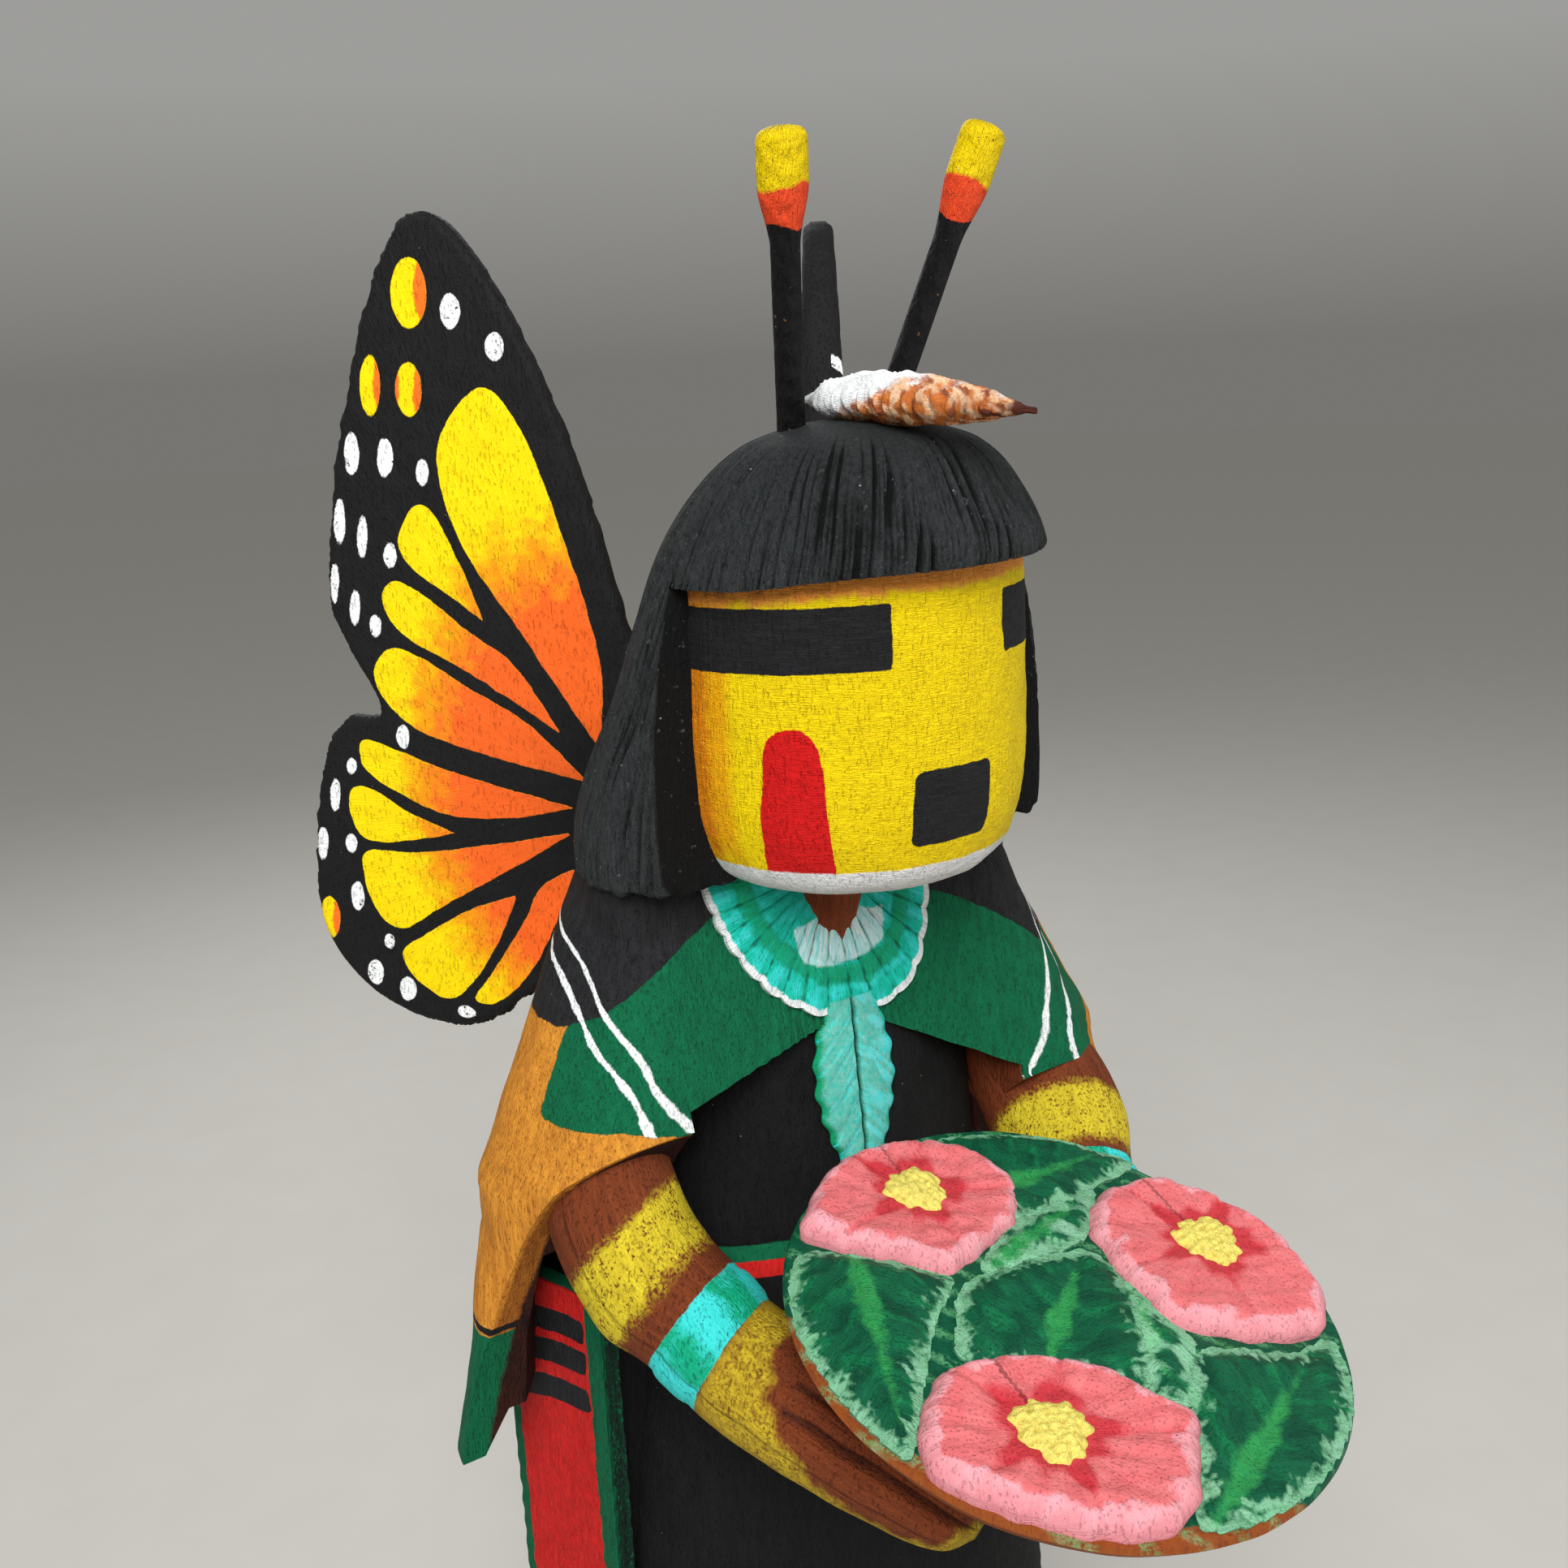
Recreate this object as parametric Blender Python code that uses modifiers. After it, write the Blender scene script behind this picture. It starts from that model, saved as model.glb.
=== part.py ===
"""Painted, carved kachina doll with butterfly wings, holding a plaque of flowers.

Run with: blender --background --python part.py
The figure faces -Y, its own left is +X, and the base stands on the floor at the origin.
"""

import math

import bmesh
import bpy
from mathutils import Matrix, Vector

# Sizes below are millimetres, and MM turns them into metres
MM = 0.001
GAP = 0.3

# Base under the feet
BASE_RADIUS = 39.0
BASE_HEIGHT = 12.0
BASE_BEVEL = 1.2
BASE_SIDES = 44

# Places of the main masses along Y: the head hangs forward of the body
HEAD_Y = -5.0
BODY_Y = 5.0
NECK_Y = 2.0
NECK_RADIUS = 6.0

# Mask, a barrel with a rounded chin
MASK_RADIUS = 19.7
MASK_TOP = 201.0
MASK_BOTTOM = 165.8
MASK_SIDES = 40
MASK_Y = HEAD_Y - 0.6
MASK_BACK_Y = -2.0

# Hair: height, centre along Y, half width, reach in front, reach behind
HAIR_ROWS = (
    (166.2, 1.5, 29.0, 15.5, 21.0),
    (172.0, 1.0, 28.8, 15.5, 22.0),
    (178.0, 0.0, 27.4, 16.0, 20.5),
    (185.0, -2.0, 25.4, 17.5, 17.5),
    (193.0, -4.0, 23.4, 20.5, 16.0),
    (201.0, -6.0, 21.0, 22.6, 15.0),
    (207.0, -7.0, 17.6, 19.4, 11.5),
    (211.5, -8.0, 12.6, 14.6, 8.0),
    (213.4, -8.5, 6.6, 8.0, 4.6),
    (213.9, -8.7, 2.2, 2.6, 1.6),
)
HAIR_SIDES = 42
HAIR_STEPS = 14
BANGS_Z = 200.2
HAIR_FRONT_Y = HEAD_Y - 1.5

# Torso and dress: height, half width, reach in front, reach behind
DRESS_ROWS = (
    (33.0, 34.0, 24.5, 23.5),
    (36.0, 34.4, 25.0, 24.0),
    (50.0, 33.2, 23.6, 22.6),
    (71.0, 31.2, 21.0, 20.0),
    (92.0, 28.2, 17.6, 17.2),
    (106.0, 25.2, 15.4, 15.2),
    (118.0, 24.0, 14.4, 14.2),
    (129.0, 23.2, 13.2, 13.4),
    (138.0, 22.4, 11.2, 12.6),
    (150.0, 20.4, 9.0, 11.4),
    (160.0, 15.0, 7.2, 9.6),
)
DRESS_SIDES = 36
DRESS_STEPS = 10

# Cape: height, centre along Y, half width, reach in front, reach behind
CAPE_ROWS = (
    (100.5, 4.6, 48.6, 8.0, 21.0),
    (113.0, 4.6, 45.8, 8.0, 20.0),
    (127.0, 4.8, 43.4, 8.0, 18.4),
    (135.0, 5.0, 39.6, 8.0, 17.4),
    (143.0, 5.8, 34.4, 9.0, 16.2),
    (151.0, 7.0, 30.4, 8.6, 15.0),
    (158.0, 7.2, 27.0, 7.8, 13.6),
    (165.0, 7.4, 23.4, 6.6, 12.0),
    (169.0, 7.4, 18.0, 5.2, 10.0),
)
CAPE_SIDES = 44
CAPE_STEPS = 13
TAUT_STEPS = 40
# What the cape is drawn over, as place and radius at two heights: the shoulder and
# elbow as seen from behind, then the front of each bent arm
SHOULDER_LINE = ((18.6, 8.0, 165.8, 8.0), (33.2, 4.2, 134.0, 9.8))
NEAR_ARM_LINE = ((22.0, 3.0, 160.0, 6.0), (30.0, -2.5, 136.0, 10.0))
FAR_ARM_LINE = ((22.0, 3.0, 160.0, 6.0), (30.5, -2.5, 128.0, 9.6))

# Front opening of the cape over the chest, seen from the front
ROOF_MIDDLE_Z = 146.4
ROOF_NEAR = (-24.8, 141.8)
ROOF_FAR = (22.4, 134.6)
ROOF_Y = 2.0
# Cape edge over each forearm, seen from the side, from the roof corner down to the hem
NEAR_EDGE = ((-12.0, 142.6), (-5.6, 136.0), (-0.6, 128.0), (2.6, 119.0), (4.6, 109.0), (5.2, 96.0))
FAR_EDGE = ((-12.0, 136.6), (-5.6, 130.0), (-0.6, 123.0), (2.6, 115.0), (4.6, 106.0), (5.2, 96.0))
# The hem hangs lowest at its two corners
HEM_Z = 105.5
HEM_CORNER_X = 42.5
HEM_TIP_X = 46.4
# Hollow inside each side of the cape, in plan, up to a height under each elbow
POCKET_PLAN = ((30.4, -30.0), (30.4, 7.2), (33.2, 11.6), (37.2, 11.6), (42.8, 3.8), (42.8, -30.0))
POCKET_TAPER = 0.9
POCKET_TOPS = {-1: 126.0, 1: 121.0}

# Arms: elbow and wrist centres with radii, near arm first
NEAR_ARM = ((-33.8, -3.8, 130.6, 8.2), (-25.4, -19.2, 118.2, 6.8))
FAR_ARM = ((32.2, -2.6, 127.0, 9.2), (25.2, -19.0, 116.6, 7.1))
FOREARM_WAIST = 0.93
# Hands reach from the wrist to their finger tips under the plaque
NEAR_TIPS = (-13.0, -44.0, 109.0)
FAR_TIPS = (13.0, -43.5, 107.6)
HAND_WIDTH = 7.4
HAND_DEPTH = 6.4
HAND_LIFT = 0.8
ARM_SIDES = 18

# Necklace, a bib ring on the chest, and its pendant
NECKLACE_CENTRE = (0.0, -0.4, 163.0)
NECKLACE_REACH = (15.8, 17.6)
NECKLACE_THICK = 3.2
NECKLACE_LEAN = 11.0
SCALLOPS = 26
PENDANT_TOP = (0.0, -4.2, 148.0)
PENDANT_BOTTOM = (-1.8, -9.6, 124.5)
PENDANT_HALF_WIDTH = 5.2
PENDANT_THICK = 2.6

# Belt and the sash that hangs from it on the figure's right hip
BELT_BOTTOM = 105.0
BELT_TOP = 121.5
BELT_PROUD = 0.9
SASH_FRONT_EDGE = (-33.2, -0.8)
SASH_TURN = 20.0
SASH_WIDTH = 15.6
SASH_THICK = 2.4
SASH_TOP = 118.5
SASH_BOTTOM = 50.0
SASH_PAD_SETBACK = 1.6
SASH_PAD_X = -18.0

# Legs and moccasins
LEG_X = 11.0
LEG_RADIUS = 8.2
ANKLE_RADIUS = 6.6
FOOT_LENGTH = 31.0
FOOT_WIDTH = 15.0
FOOT_HEIGHT = 11.0

# Wings: boards swept back and let into slots in the back
WING_SWEEP = 49.0
WING_THICK = 2.6
WING_ORIGIN_Y = 4.2
# Outline from the inner edge round the fore wing and the hind wing: distance out, height
WING_OUTLINE = (
    (16.0, 176.0), (19.8, 189.0), (25.4, 210.4), (32.0, 226.4), (38.4, 236.0),
    (43.0, 237.4), (47.0, 233.6), (52.2, 222.2), (56.6, 207.6), (58.9, 194.2),
    (57.2, 188.0), (53.5, 179.7), (58.9, 178.3), (63.0, 171.6), (65.6, 156.6),
    (64.3, 148.2), (58.4, 141.4), (49.4, 138.0), (42.0, 139.3), (36.0, 143.5),
    (24.0, 151.0), (15.0, 160.0),
)

# Antennae: paddles let into the crown
ANTENNA_ENDS = {
    -1: ((-6.2, -6.4, 207.5), (-11.4, -14.6, 240.8)),
    1: ((4.0, -4.8, 207.0), (12.6, -14.6, 241.2)),
}
ANTENNA_STEM = (1.6, 1.4)
ANTENNA_TIP = (2.75, 1.6)
ANTENNA_STEM_END = 0.7
ANTENNA_FLARE = 0.16
ANTENNA_SIDES = 12

# Feather on the crown
FEATHER_ROOT = (0.0, 1.0, 215.6)
FEATHER_TIP = (0.0, -36.6, 214.6)
FEATHER_HALF_WIDTH = 4.2
FEATHER_HALF_HEIGHT = 2.5
FEATHER_LIFT = 0.6
FEATHER_SIDES = 14

# Flower plaque held out in front
PLAQUE_CENTRE = (-0.2, -41.3, 126.6)
PLAQUE_RADIUS = 28.6
PLAQUE_DROP = 13.0
PLAQUE_ROLL = 2.8
PLAQUE_DOME = 1.8
PLAQUE_BOWL = 10.4
PLAQUE_SIDES = 44
# Flowers on it: place across, place back, radius, height of the rim
FLOWERS = (
    (-4.8, 18.4, 10.4, 2.7),
    (18.6, -1.2, 11.6, 2.8),
    (-13.4, -13.2, 12.6, 2.4),
)
PETALS = 5
PETAL_NOTCH = 0.08
# Leaves between them: base across and back, tip across and back, half width
LEAVES = (
    (-13.0, 16.0, -26.0, -9.0, 7.4),
    (0.0, 17.0, 22.0, 16.6, 7.6),
    (-12.0, -1.0, 9.0, 0.0, 6.6),
    (-6.0, -25.0, 21.0, -16.0, 7.6),
)
LEAF_RISE = 0.9
LEAF_OVERHANG = 0.02
LEAF_SIDES = 18

BLACK = (0.022, 0.022, 0.024)
PINK = (0.65, 0.14, 0.16)
WING_ORANGE = (0.85, 0.25, 0.03)
FEATHER_WHITE = (0.72, 0.74, 0.76)
WOOD = (0.42, 0.26, 0.13)


def clear_scene():
    """Remove whatever the file held before."""
    for thing in list(bpy.data.objects):
        bpy.data.objects.remove(thing, do_unlink=True)


def new_collection(name):
    """Make a collection linked to the scene."""
    made = bpy.data.collections.new(name)
    bpy.context.scene.collection.children.link(made)
    return made


def painted(name, colour, roughness):
    """Make a plain painted material."""
    made = bpy.data.materials.new(name)
    made.use_nodes = True
    shader = made.node_tree.nodes["Principled BSDF"]
    shader.inputs["Base Color"].default_value = (*colour, 1.0)
    shader.inputs["Roughness"].default_value = roughness
    shader.inputs["Metallic"].default_value = 0.0
    made.diffuse_color = (*colour, 1.0)
    return made


def add_object(name, data, collection, material=None):
    """Link a new object that carries the given data."""
    made = bpy.data.objects.new(name, data)
    collection.objects.link(made)
    if material:
        data.materials.append(material)
    return made


def move_to(thing, collection):
    """Leave one collection only holding an object."""
    for holder in list(thing.users_collection):
        holder.objects.unlink(thing)
    collection.objects.link(thing)


def as_cutter(thing):
    """Mark an object as one that only shapes another."""
    thing.hide_render = True
    thing.display_type = "WIRE"
    return thing


def smooth(mesh):
    """Shade a round mesh smooth."""
    for face in mesh.polygons:
        face.use_smooth = True


def eased(rows, z):
    """Read a table of rows at a height, with a smooth curve between rows."""
    if z <= rows[0][0]:
        return rows[0][1:]
    for i in range(len(rows) - 1):
        low, high = rows[i], rows[i + 1]
        if z <= high[0]:
            before = rows[max(i - 1, 0)]
            after = rows[min(i + 2, len(rows) - 1)]
            span = high[0] - low[0]
            t = (z - low[0]) / span
            values = []
            for k in range(1, len(low)):
                start = span * (high[k] - before[k]) / max(high[0] - before[0], span)
                end = span * (after[k] - low[k]) / max(after[0] - low[0], span)
                h1 = 2 * t ** 3 - 3 * t ** 2 + 1
                h2 = t ** 3 - 2 * t ** 2 + t
                h3 = t ** 3 - t ** 2
                values.append(h1 * low[k] + h2 * start + (1 - h1) * high[k] + h3 * end)
            return tuple(values)
    return rows[-1][1:]


def oval(angle, half_width, front, back):
    """Radius of an oval whose front and back reach differ, angle 0 being the front."""
    reach = front if math.cos(angle) > 0 else back
    return 1.0 / math.hypot(math.sin(angle) / half_width, math.cos(angle) / reach)


def loft(name, rings, collection, material=None):
    """Join rings of equal length into one closed solid, bottom ring first."""
    mesh = bpy.data.meshes.new(name)
    build = bmesh.new()
    rows = [[build.verts.new(Vector(p) * MM) for p in ring] for ring in rings]
    count = len(rows[0])
    for low, high in zip(rows, rows[1:]):
        for i in range(count):
            j = (i + 1) % count
            build.faces.new((low[i], low[j], high[j], high[i]))
    build.faces.new(list(reversed(rows[0])))
    build.faces.new(rows[-1])
    bmesh.ops.recalc_face_normals(build, faces=build.faces)
    build.to_mesh(mesh)
    build.free()
    smooth(mesh)
    return add_object(name, mesh, collection, material)


def spaced_heights(rows, steps):
    """Heights through a table, closer together where the rows are closer."""
    heights = []
    for i in range(steps + 1):
        place = i * (len(rows) - 1) / steps
        k = min(int(place), len(rows) - 2)
        heights.append(rows[k][0] + (rows[k + 1][0] - rows[k][0]) * (place - k))
    return heights


def oval_ring(z, centre_y, half_width, front, back, sides):
    """One level ring of an oval section."""
    ring = []
    for i in range(sides):
        angle = math.tau * i / sides
        r = oval(angle, half_width, front, back)
        ring.append((r * math.sin(angle), centre_y - r * math.cos(angle), z))
    return ring


def oval_support(angle, half_width, front, back):
    """How far an oval reaches square to a line that faces a direction."""
    reach = front if math.cos(angle) > 0 else back
    return math.hypot(half_width * math.sin(angle), reach * math.cos(angle))


def taut_reach(angle, section, arms):
    """Reach of a cloth drawn taut round an oval section and the round arms beside it."""
    reach = math.inf
    for i in range(-TAUT_STEPS, TAUT_STEPS + 1):
        off = i * math.radians(85) / TAUT_STEPS
        facing = angle + off
        supports = [x * math.sin(facing) - y * math.cos(facing) + r for x, y, r in arms]
        supports.append(oval_support(facing, *section))
        reach = min(reach, max(supports) / math.cos(off))
    return reach


def arm_section(line, side, z, centre_y):
    """Where a covered arm stands at a height, from the middle of the cape, and its radius."""
    high, low = line
    t = min(max((high[2] - z) / (high[2] - low[2]), 0.0), 1.0)
    x, y, _, radius = (a + (b - a) * t for a, b in zip(high, low))
    return side * x, y - centre_y, radius


def cape_ring(z):
    """One level ring of the cape, drawn over the body and both upper arms."""
    centre_y, *section = eased(CAPE_ROWS, z)
    arms = {
        side: [arm_section(line, side, z, centre_y) for line in (SHOULDER_LINE, front)]
        for side, front in ((-1, NEAR_ARM_LINE), (1, FAR_ARM_LINE))
    }
    ring = []
    for i in range(CAPE_SIDES):
        angle = math.tau * i / CAPE_SIDES
        r = taut_reach(angle, section, arms[1 if math.sin(angle) > 0 else -1])
        ring.append((r * math.sin(angle), centre_y - r * math.cos(angle), z))
    return ring


def block(name, low, high, collection):
    """A box between two corners."""
    bpy.ops.mesh.primitive_cube_add(size=1)
    made = bpy.context.object
    made.name = name
    made.data.name = name
    size = [(b - a) * MM for a, b in zip(low, high)]
    made.location = [(a + b) / 2 * MM for a, b in zip(low, high)]
    made.data.transform(Matrix.Diagonal((*size, 1.0)))
    move_to(made, collection)
    return made


def flat_shaded(thing):
    """Shade a flat sided solid flat."""
    for face in thing.data.polygons:
        face.use_smooth = False
    return thing


def prism(name, outline, axis, low, high, collection):
    """A prism along X or Y from an outline of pairs that end with a height."""
    rings = []
    for place in (low, high):
        if axis == "X":
            rings.append([(place, a, z) for a, z in outline])
        else:
            rings.append([(a, place, z) for a, z in outline])
    return flat_shaded(loft(name, rings, collection))


def combine(target, other, operation):
    """Add an exact Boolean to the target."""
    step = target.modifiers.new(f"{operation.lower()} {other.name}", "BOOLEAN")
    step.operation = operation
    step.solver = "EXACT"
    step.object = other
    return as_cutter(other)


def along(start, end, t):
    """A point between two points."""
    return Vector(start).lerp(Vector(end), t)


def across_frame(direction):
    """Two unit vectors square to a direction, the first of them level."""
    level = Vector((direction.y, -direction.x, 0)).normalized()
    return level, level.cross(direction).normalized()


def tube(name, stations, sides, collection, material=None):
    """A closed tube through stations: centre, half width, half height, direction."""
    rings = []
    for centre, wide, high, direction in stations:
        level, rise = across_frame(direction)
        rings.append([
            centre
            + level * wide * math.cos(math.tau * i / sides)
            + rise * high * math.sin(math.tau * i / sides)
            for i in range(sides)
        ])
    return loft(name, rings, collection, material)


def make_hair(collection, material):
    """The bob with bangs, open in front of the mask."""
    rings = [
        oval_ring(z, *eased(HAIR_ROWS, z), HAIR_SIDES)
        for z in spaced_heights(HAIR_ROWS, HAIR_STEPS)
    ]
    return loft("carved_figure", rings, collection, material)


def make_mask(collection, cutters):
    """The barrel of the mask, turned from its profile and cut off behind in the hair."""
    profile = (
        (0.0, MASK_TOP), (MASK_RADIUS - 0.3, MASK_TOP), (MASK_RADIUS - 0.1, 194.0),
        (MASK_RADIUS, 185.0), (MASK_RADIUS, 179.0), (MASK_RADIUS - 0.4, 174.0),
        (MASK_RADIUS - 1.3, 170.6), (MASK_RADIUS - 2.6, 168.0),
        (MASK_RADIUS - 4.4, 166.4), (MASK_RADIUS - 6.6, MASK_BOTTOM), (0.0, MASK_BOTTOM),
    )
    mesh = bpy.data.meshes.new("mask profile")
    points = [(r * MM, 0, z * MM) for r, z in profile]
    mesh.from_pydata(points, [(i, i + 1) for i in range(len(points) - 1)], [])
    made = add_object("mask", mesh, collection)
    made.location.y = MASK_Y * MM
    turn = made.modifiers.new("turn", "SCREW")
    turn.steps = MASK_SIDES
    turn.render_steps = MASK_SIDES
    turn.use_merge_vertices = True
    turn.merge_threshold = 0.00001
    turn.use_normal_calculate = True
    turn.use_smooth_shade = True
    behind = block("mask back", (-30, MASK_BACK_Y, 160), (30, 40, 210), cutters)
    combine(made, behind, "DIFFERENCE")
    return made


def make_dress(collection):
    """Torso and dress in one."""
    rings = [
        oval_ring(z, BODY_Y, *eased(DRESS_ROWS, z), DRESS_SIDES)
        for z in spaced_heights(DRESS_ROWS, DRESS_STEPS)
    ]
    return loft("dress", rings, collection)


def make_cape(collection, cutters):
    """The cape over shoulders and arms, open in front."""
    rings = [cape_ring(z) for z in spaced_heights(CAPE_ROWS, CAPE_STEPS)]
    cape = loft("cape", rings, collection)
    low = CAPE_ROWS[0][0] - 8
    roof = (
        (ROOF_NEAR[0], low), (ROOF_FAR[0], low), ROOF_FAR, (0.0, ROOF_MIDDLE_Z), ROOF_NEAR,
    )
    combine(cape, prism("front opening", roof, "Y", -60, ROOF_Y, cutters), "DIFFERENCE")
    for name, edge, near_x, far_x in (
        ("near arm opening", NEAR_EDGE, -60, ROOF_NEAR[0] + 4),
        ("far arm opening", FAR_EDGE, ROOF_FAR[0] - 4, 60),
    ):
        outline = ((-60, low), (edge[-1][0], low), *reversed(edge), (-60, edge[0][1]))
        combine(cape, prism(name, outline, "X", near_x, far_x, cutters), "DIFFERENCE")
    hem = (
        (-HEM_TIP_X, low), (HEM_TIP_X, low), (HEM_TIP_X, CAPE_ROWS[0][0] - 1),
        (HEM_CORNER_X, HEM_Z), (-HEM_CORNER_X, HEM_Z), (-HEM_TIP_X, CAPE_ROWS[0][0] - 1),
    )
    combine(cape, prism("under the hem", hem, "Y", -60, 60, cutters), "DIFFERENCE")
    for side, top in POCKET_TOPS.items():
        rings = [
            [(side * x * share, y, z) for x, y in POCKET_PLAN]
            for share, z in ((1.0, low), (POCKET_TAPER, top))
        ]
        combine(cape, flat_shaded(loft(f"pocket {side}", rings, cutters)), "DIFFERENCE")
    return cape


def make_arm(name, joints, tips, collection):
    """A forearm and its hand, palm up, in one."""
    elbow, wrist = Vector(joints[0][:3]), Vector(joints[1][:3])
    reach = (wrist - elbow).normalized()
    palm = (Vector(tips) - wrist).normalized()
    turn = (reach + palm).normalized()
    lift = Vector((0, 0, HAND_LIFT))
    start, end = joints[0][3], joints[1][3]
    stations = [
        (elbow - reach * start * 0.8, start * 0.6, start * 0.6, reach),
        (elbow - reach * start * 0.3, start * 0.95, start * 0.95, reach),
        (along(elbow, wrist, 0.35), start * FOREARM_WAIST, start * FOREARM_WAIST, reach),
        (along(elbow, wrist, 0.7), end, end, reach),
        (wrist, end, end, turn),
        (along(wrist, tips, 0.22) + lift * 0.4, HAND_WIDTH, HAND_DEPTH + 0.6, palm),
        (along(wrist, tips, 0.5) + lift, HAND_WIDTH + 0.4, HAND_DEPTH, palm),
        (along(wrist, tips, 0.78) + lift, HAND_WIDTH - 0.4, HAND_DEPTH - 1.0, palm),
        (along(wrist, tips, 0.93) + lift * 0.6, HAND_WIDTH - 1.8, HAND_DEPTH - 2.6, palm),
        (Vector(tips) + lift * 0.2, 2.6, 1.0, palm),
    ]
    return tube(name, stations, ARM_SIDES, collection)


def make_necklace(collection):
    """The bib ring with a scalloped edge."""
    sides = SCALLOPS * 2
    lean = math.radians(NECKLACE_LEAN)
    rings = []
    for depth, inset in ((0.0, 0.0), (0.75, 0.0), (1.0, 0.7)):
        ring = []
        for i in range(sides):
            angle = math.tau * i / sides
            inward = inset + (0.35 if i % 2 else 0.0)
            up = (NECKLACE_REACH[1] - inward) * math.cos(angle)
            out = (depth - 0.5) * NECKLACE_THICK
            ring.append((
                NECKLACE_CENTRE[0] + (NECKLACE_REACH[0] - inward) * math.sin(angle),
                NECKLACE_CENTRE[1] + up * math.sin(lean) - out * math.cos(lean),
                NECKLACE_CENTRE[2] + up * math.cos(lean) + out * math.sin(lean),
            ))
        rings.append(ring)
    return loft("necklace", rings, collection)


def make_pendant(collection):
    """The leaf that hangs from the necklace."""
    top, bottom = Vector(PENDANT_TOP), Vector(PENDANT_BOTTOM)
    down = (bottom - top).normalized()
    out = Vector((0, down.z, -down.y))
    if out.y > 0:
        out.negate()
    steps = 10
    rings = []
    for depth, share in ((-0.6, 1.0), (0.6, 1.0), (1.0, 0.8)):
        left, right = [], []
        for i in range(steps + 1):
            t = i / steps
            wide = PENDANT_HALF_WIDTH * share * (0.45 + 0.55 * math.sin(math.pi * min(t * 1.1 + 0.1, 1)))
            wide *= min(1.0, (1.02 - t) * 6)
            centre = top.lerp(bottom, t) + out * depth * PENDANT_THICK / 2
            left.append(centre + Vector((-wide, 0, 0)))
            right.append(centre + Vector((wide, 0, 0)))
        rings.append(left + right[::-1])
    return loft("pendant", rings, collection)


def make_belt(collection):
    """A band a little proud of the dress."""
    rings = []
    for z, proud in (
        (BELT_BOTTOM, 0.2), (BELT_BOTTOM + 0.7, BELT_PROUD),
        ((BELT_BOTTOM + BELT_TOP) / 2, BELT_PROUD),
        (BELT_TOP - 0.7, BELT_PROUD), (BELT_TOP, 0.2),
    ):
        wide, front, back = eased(DRESS_ROWS, z)
        rings.append(oval_ring(z, BODY_Y, wide + proud, front + proud, back + proud, DRESS_SIDES))
    return loft("belt", rings, collection)


def sash_corner(along_face, depth):
    """A corner of the sash in plan, from its front outer edge."""
    turn = math.radians(SASH_TURN)
    x = SASH_FRONT_EDGE[0] - along_face * math.sin(turn) + depth * math.cos(turn)
    y = SASH_FRONT_EDGE[1] + along_face * math.cos(turn) + depth * math.sin(turn)
    return x, y


def make_sash(collection):
    """The flat end of the sash, with the wood left between it and the dress."""
    plan = (
        sash_corner(0, 0), sash_corner(0, SASH_THICK), sash_corner(SASH_PAD_SETBACK, SASH_THICK),
        (SASH_PAD_X, BODY_Y - 1.0), (SASH_PAD_X, BODY_Y + 9.0),
        sash_corner(SASH_WIDTH - SASH_PAD_SETBACK, SASH_THICK),
        sash_corner(SASH_WIDTH, SASH_THICK), sash_corner(SASH_WIDTH, 0),
    )
    rings = [[(x, y, z) for x, y in plan] for z in (SASH_BOTTOM, SASH_TOP)]
    return flat_shaded(loft("sash", rings, collection))


def make_leg(side, collection):
    """A short leg from under the dress to the ankle."""
    floor = BASE_HEIGHT + GAP
    rings = []
    for z, radius in ((floor + 0.2, ANKLE_RADIUS), (24.0, ANKLE_RADIUS), (40.0, LEG_RADIUS)):
        rings.append([
            (side * LEG_X + radius * math.sin(a), BODY_Y + 1 - radius * math.cos(a), z)
            for a in (math.tau * i / 18 for i in range(18))
        ])
    return loft("leg right" if side < 0 else "leg left", rings, collection)


def make_foot(side, collection):
    """A plain moccasin, flat below."""
    floor = BASE_HEIGHT + GAP
    heel_y = BODY_Y + 9.0
    rings = []
    for rise, share in ((0.0, 0.94), (0.25, 1.0), (0.55, 0.92), (0.82, 0.66), (1.0, 0.3)):
        ring = []
        for i in range(20):
            angle = math.tau * i / 20
            long = FOOT_LENGTH / 2 * (share + 0.1 * (1 - share))
            x = side * LEG_X + FOOT_WIDTH / 2 * share * math.sin(angle)
            y = heel_y - FOOT_LENGTH / 2 - long * math.cos(angle) + 4.0 * rise
            ring.append((x, y, floor + FOOT_HEIGHT * rise))
        rings.append(ring)
    return loft("foot right" if side < 0 else "foot left", rings, collection)


def make_neck(collection):
    """The neck between chest and chin."""
    rings = []
    for z, y in ((148.0, NECK_Y + 1.5), (160.0, NECK_Y), (171.0, NECK_Y - 2.0)):
        rings.append([
            (NECK_RADIUS * math.sin(a), y - NECK_RADIUS * math.cos(a), z)
            for a in (math.tau * i / 20 for i in range(20))
        ])
    return loft("neck", rings, collection)


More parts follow.
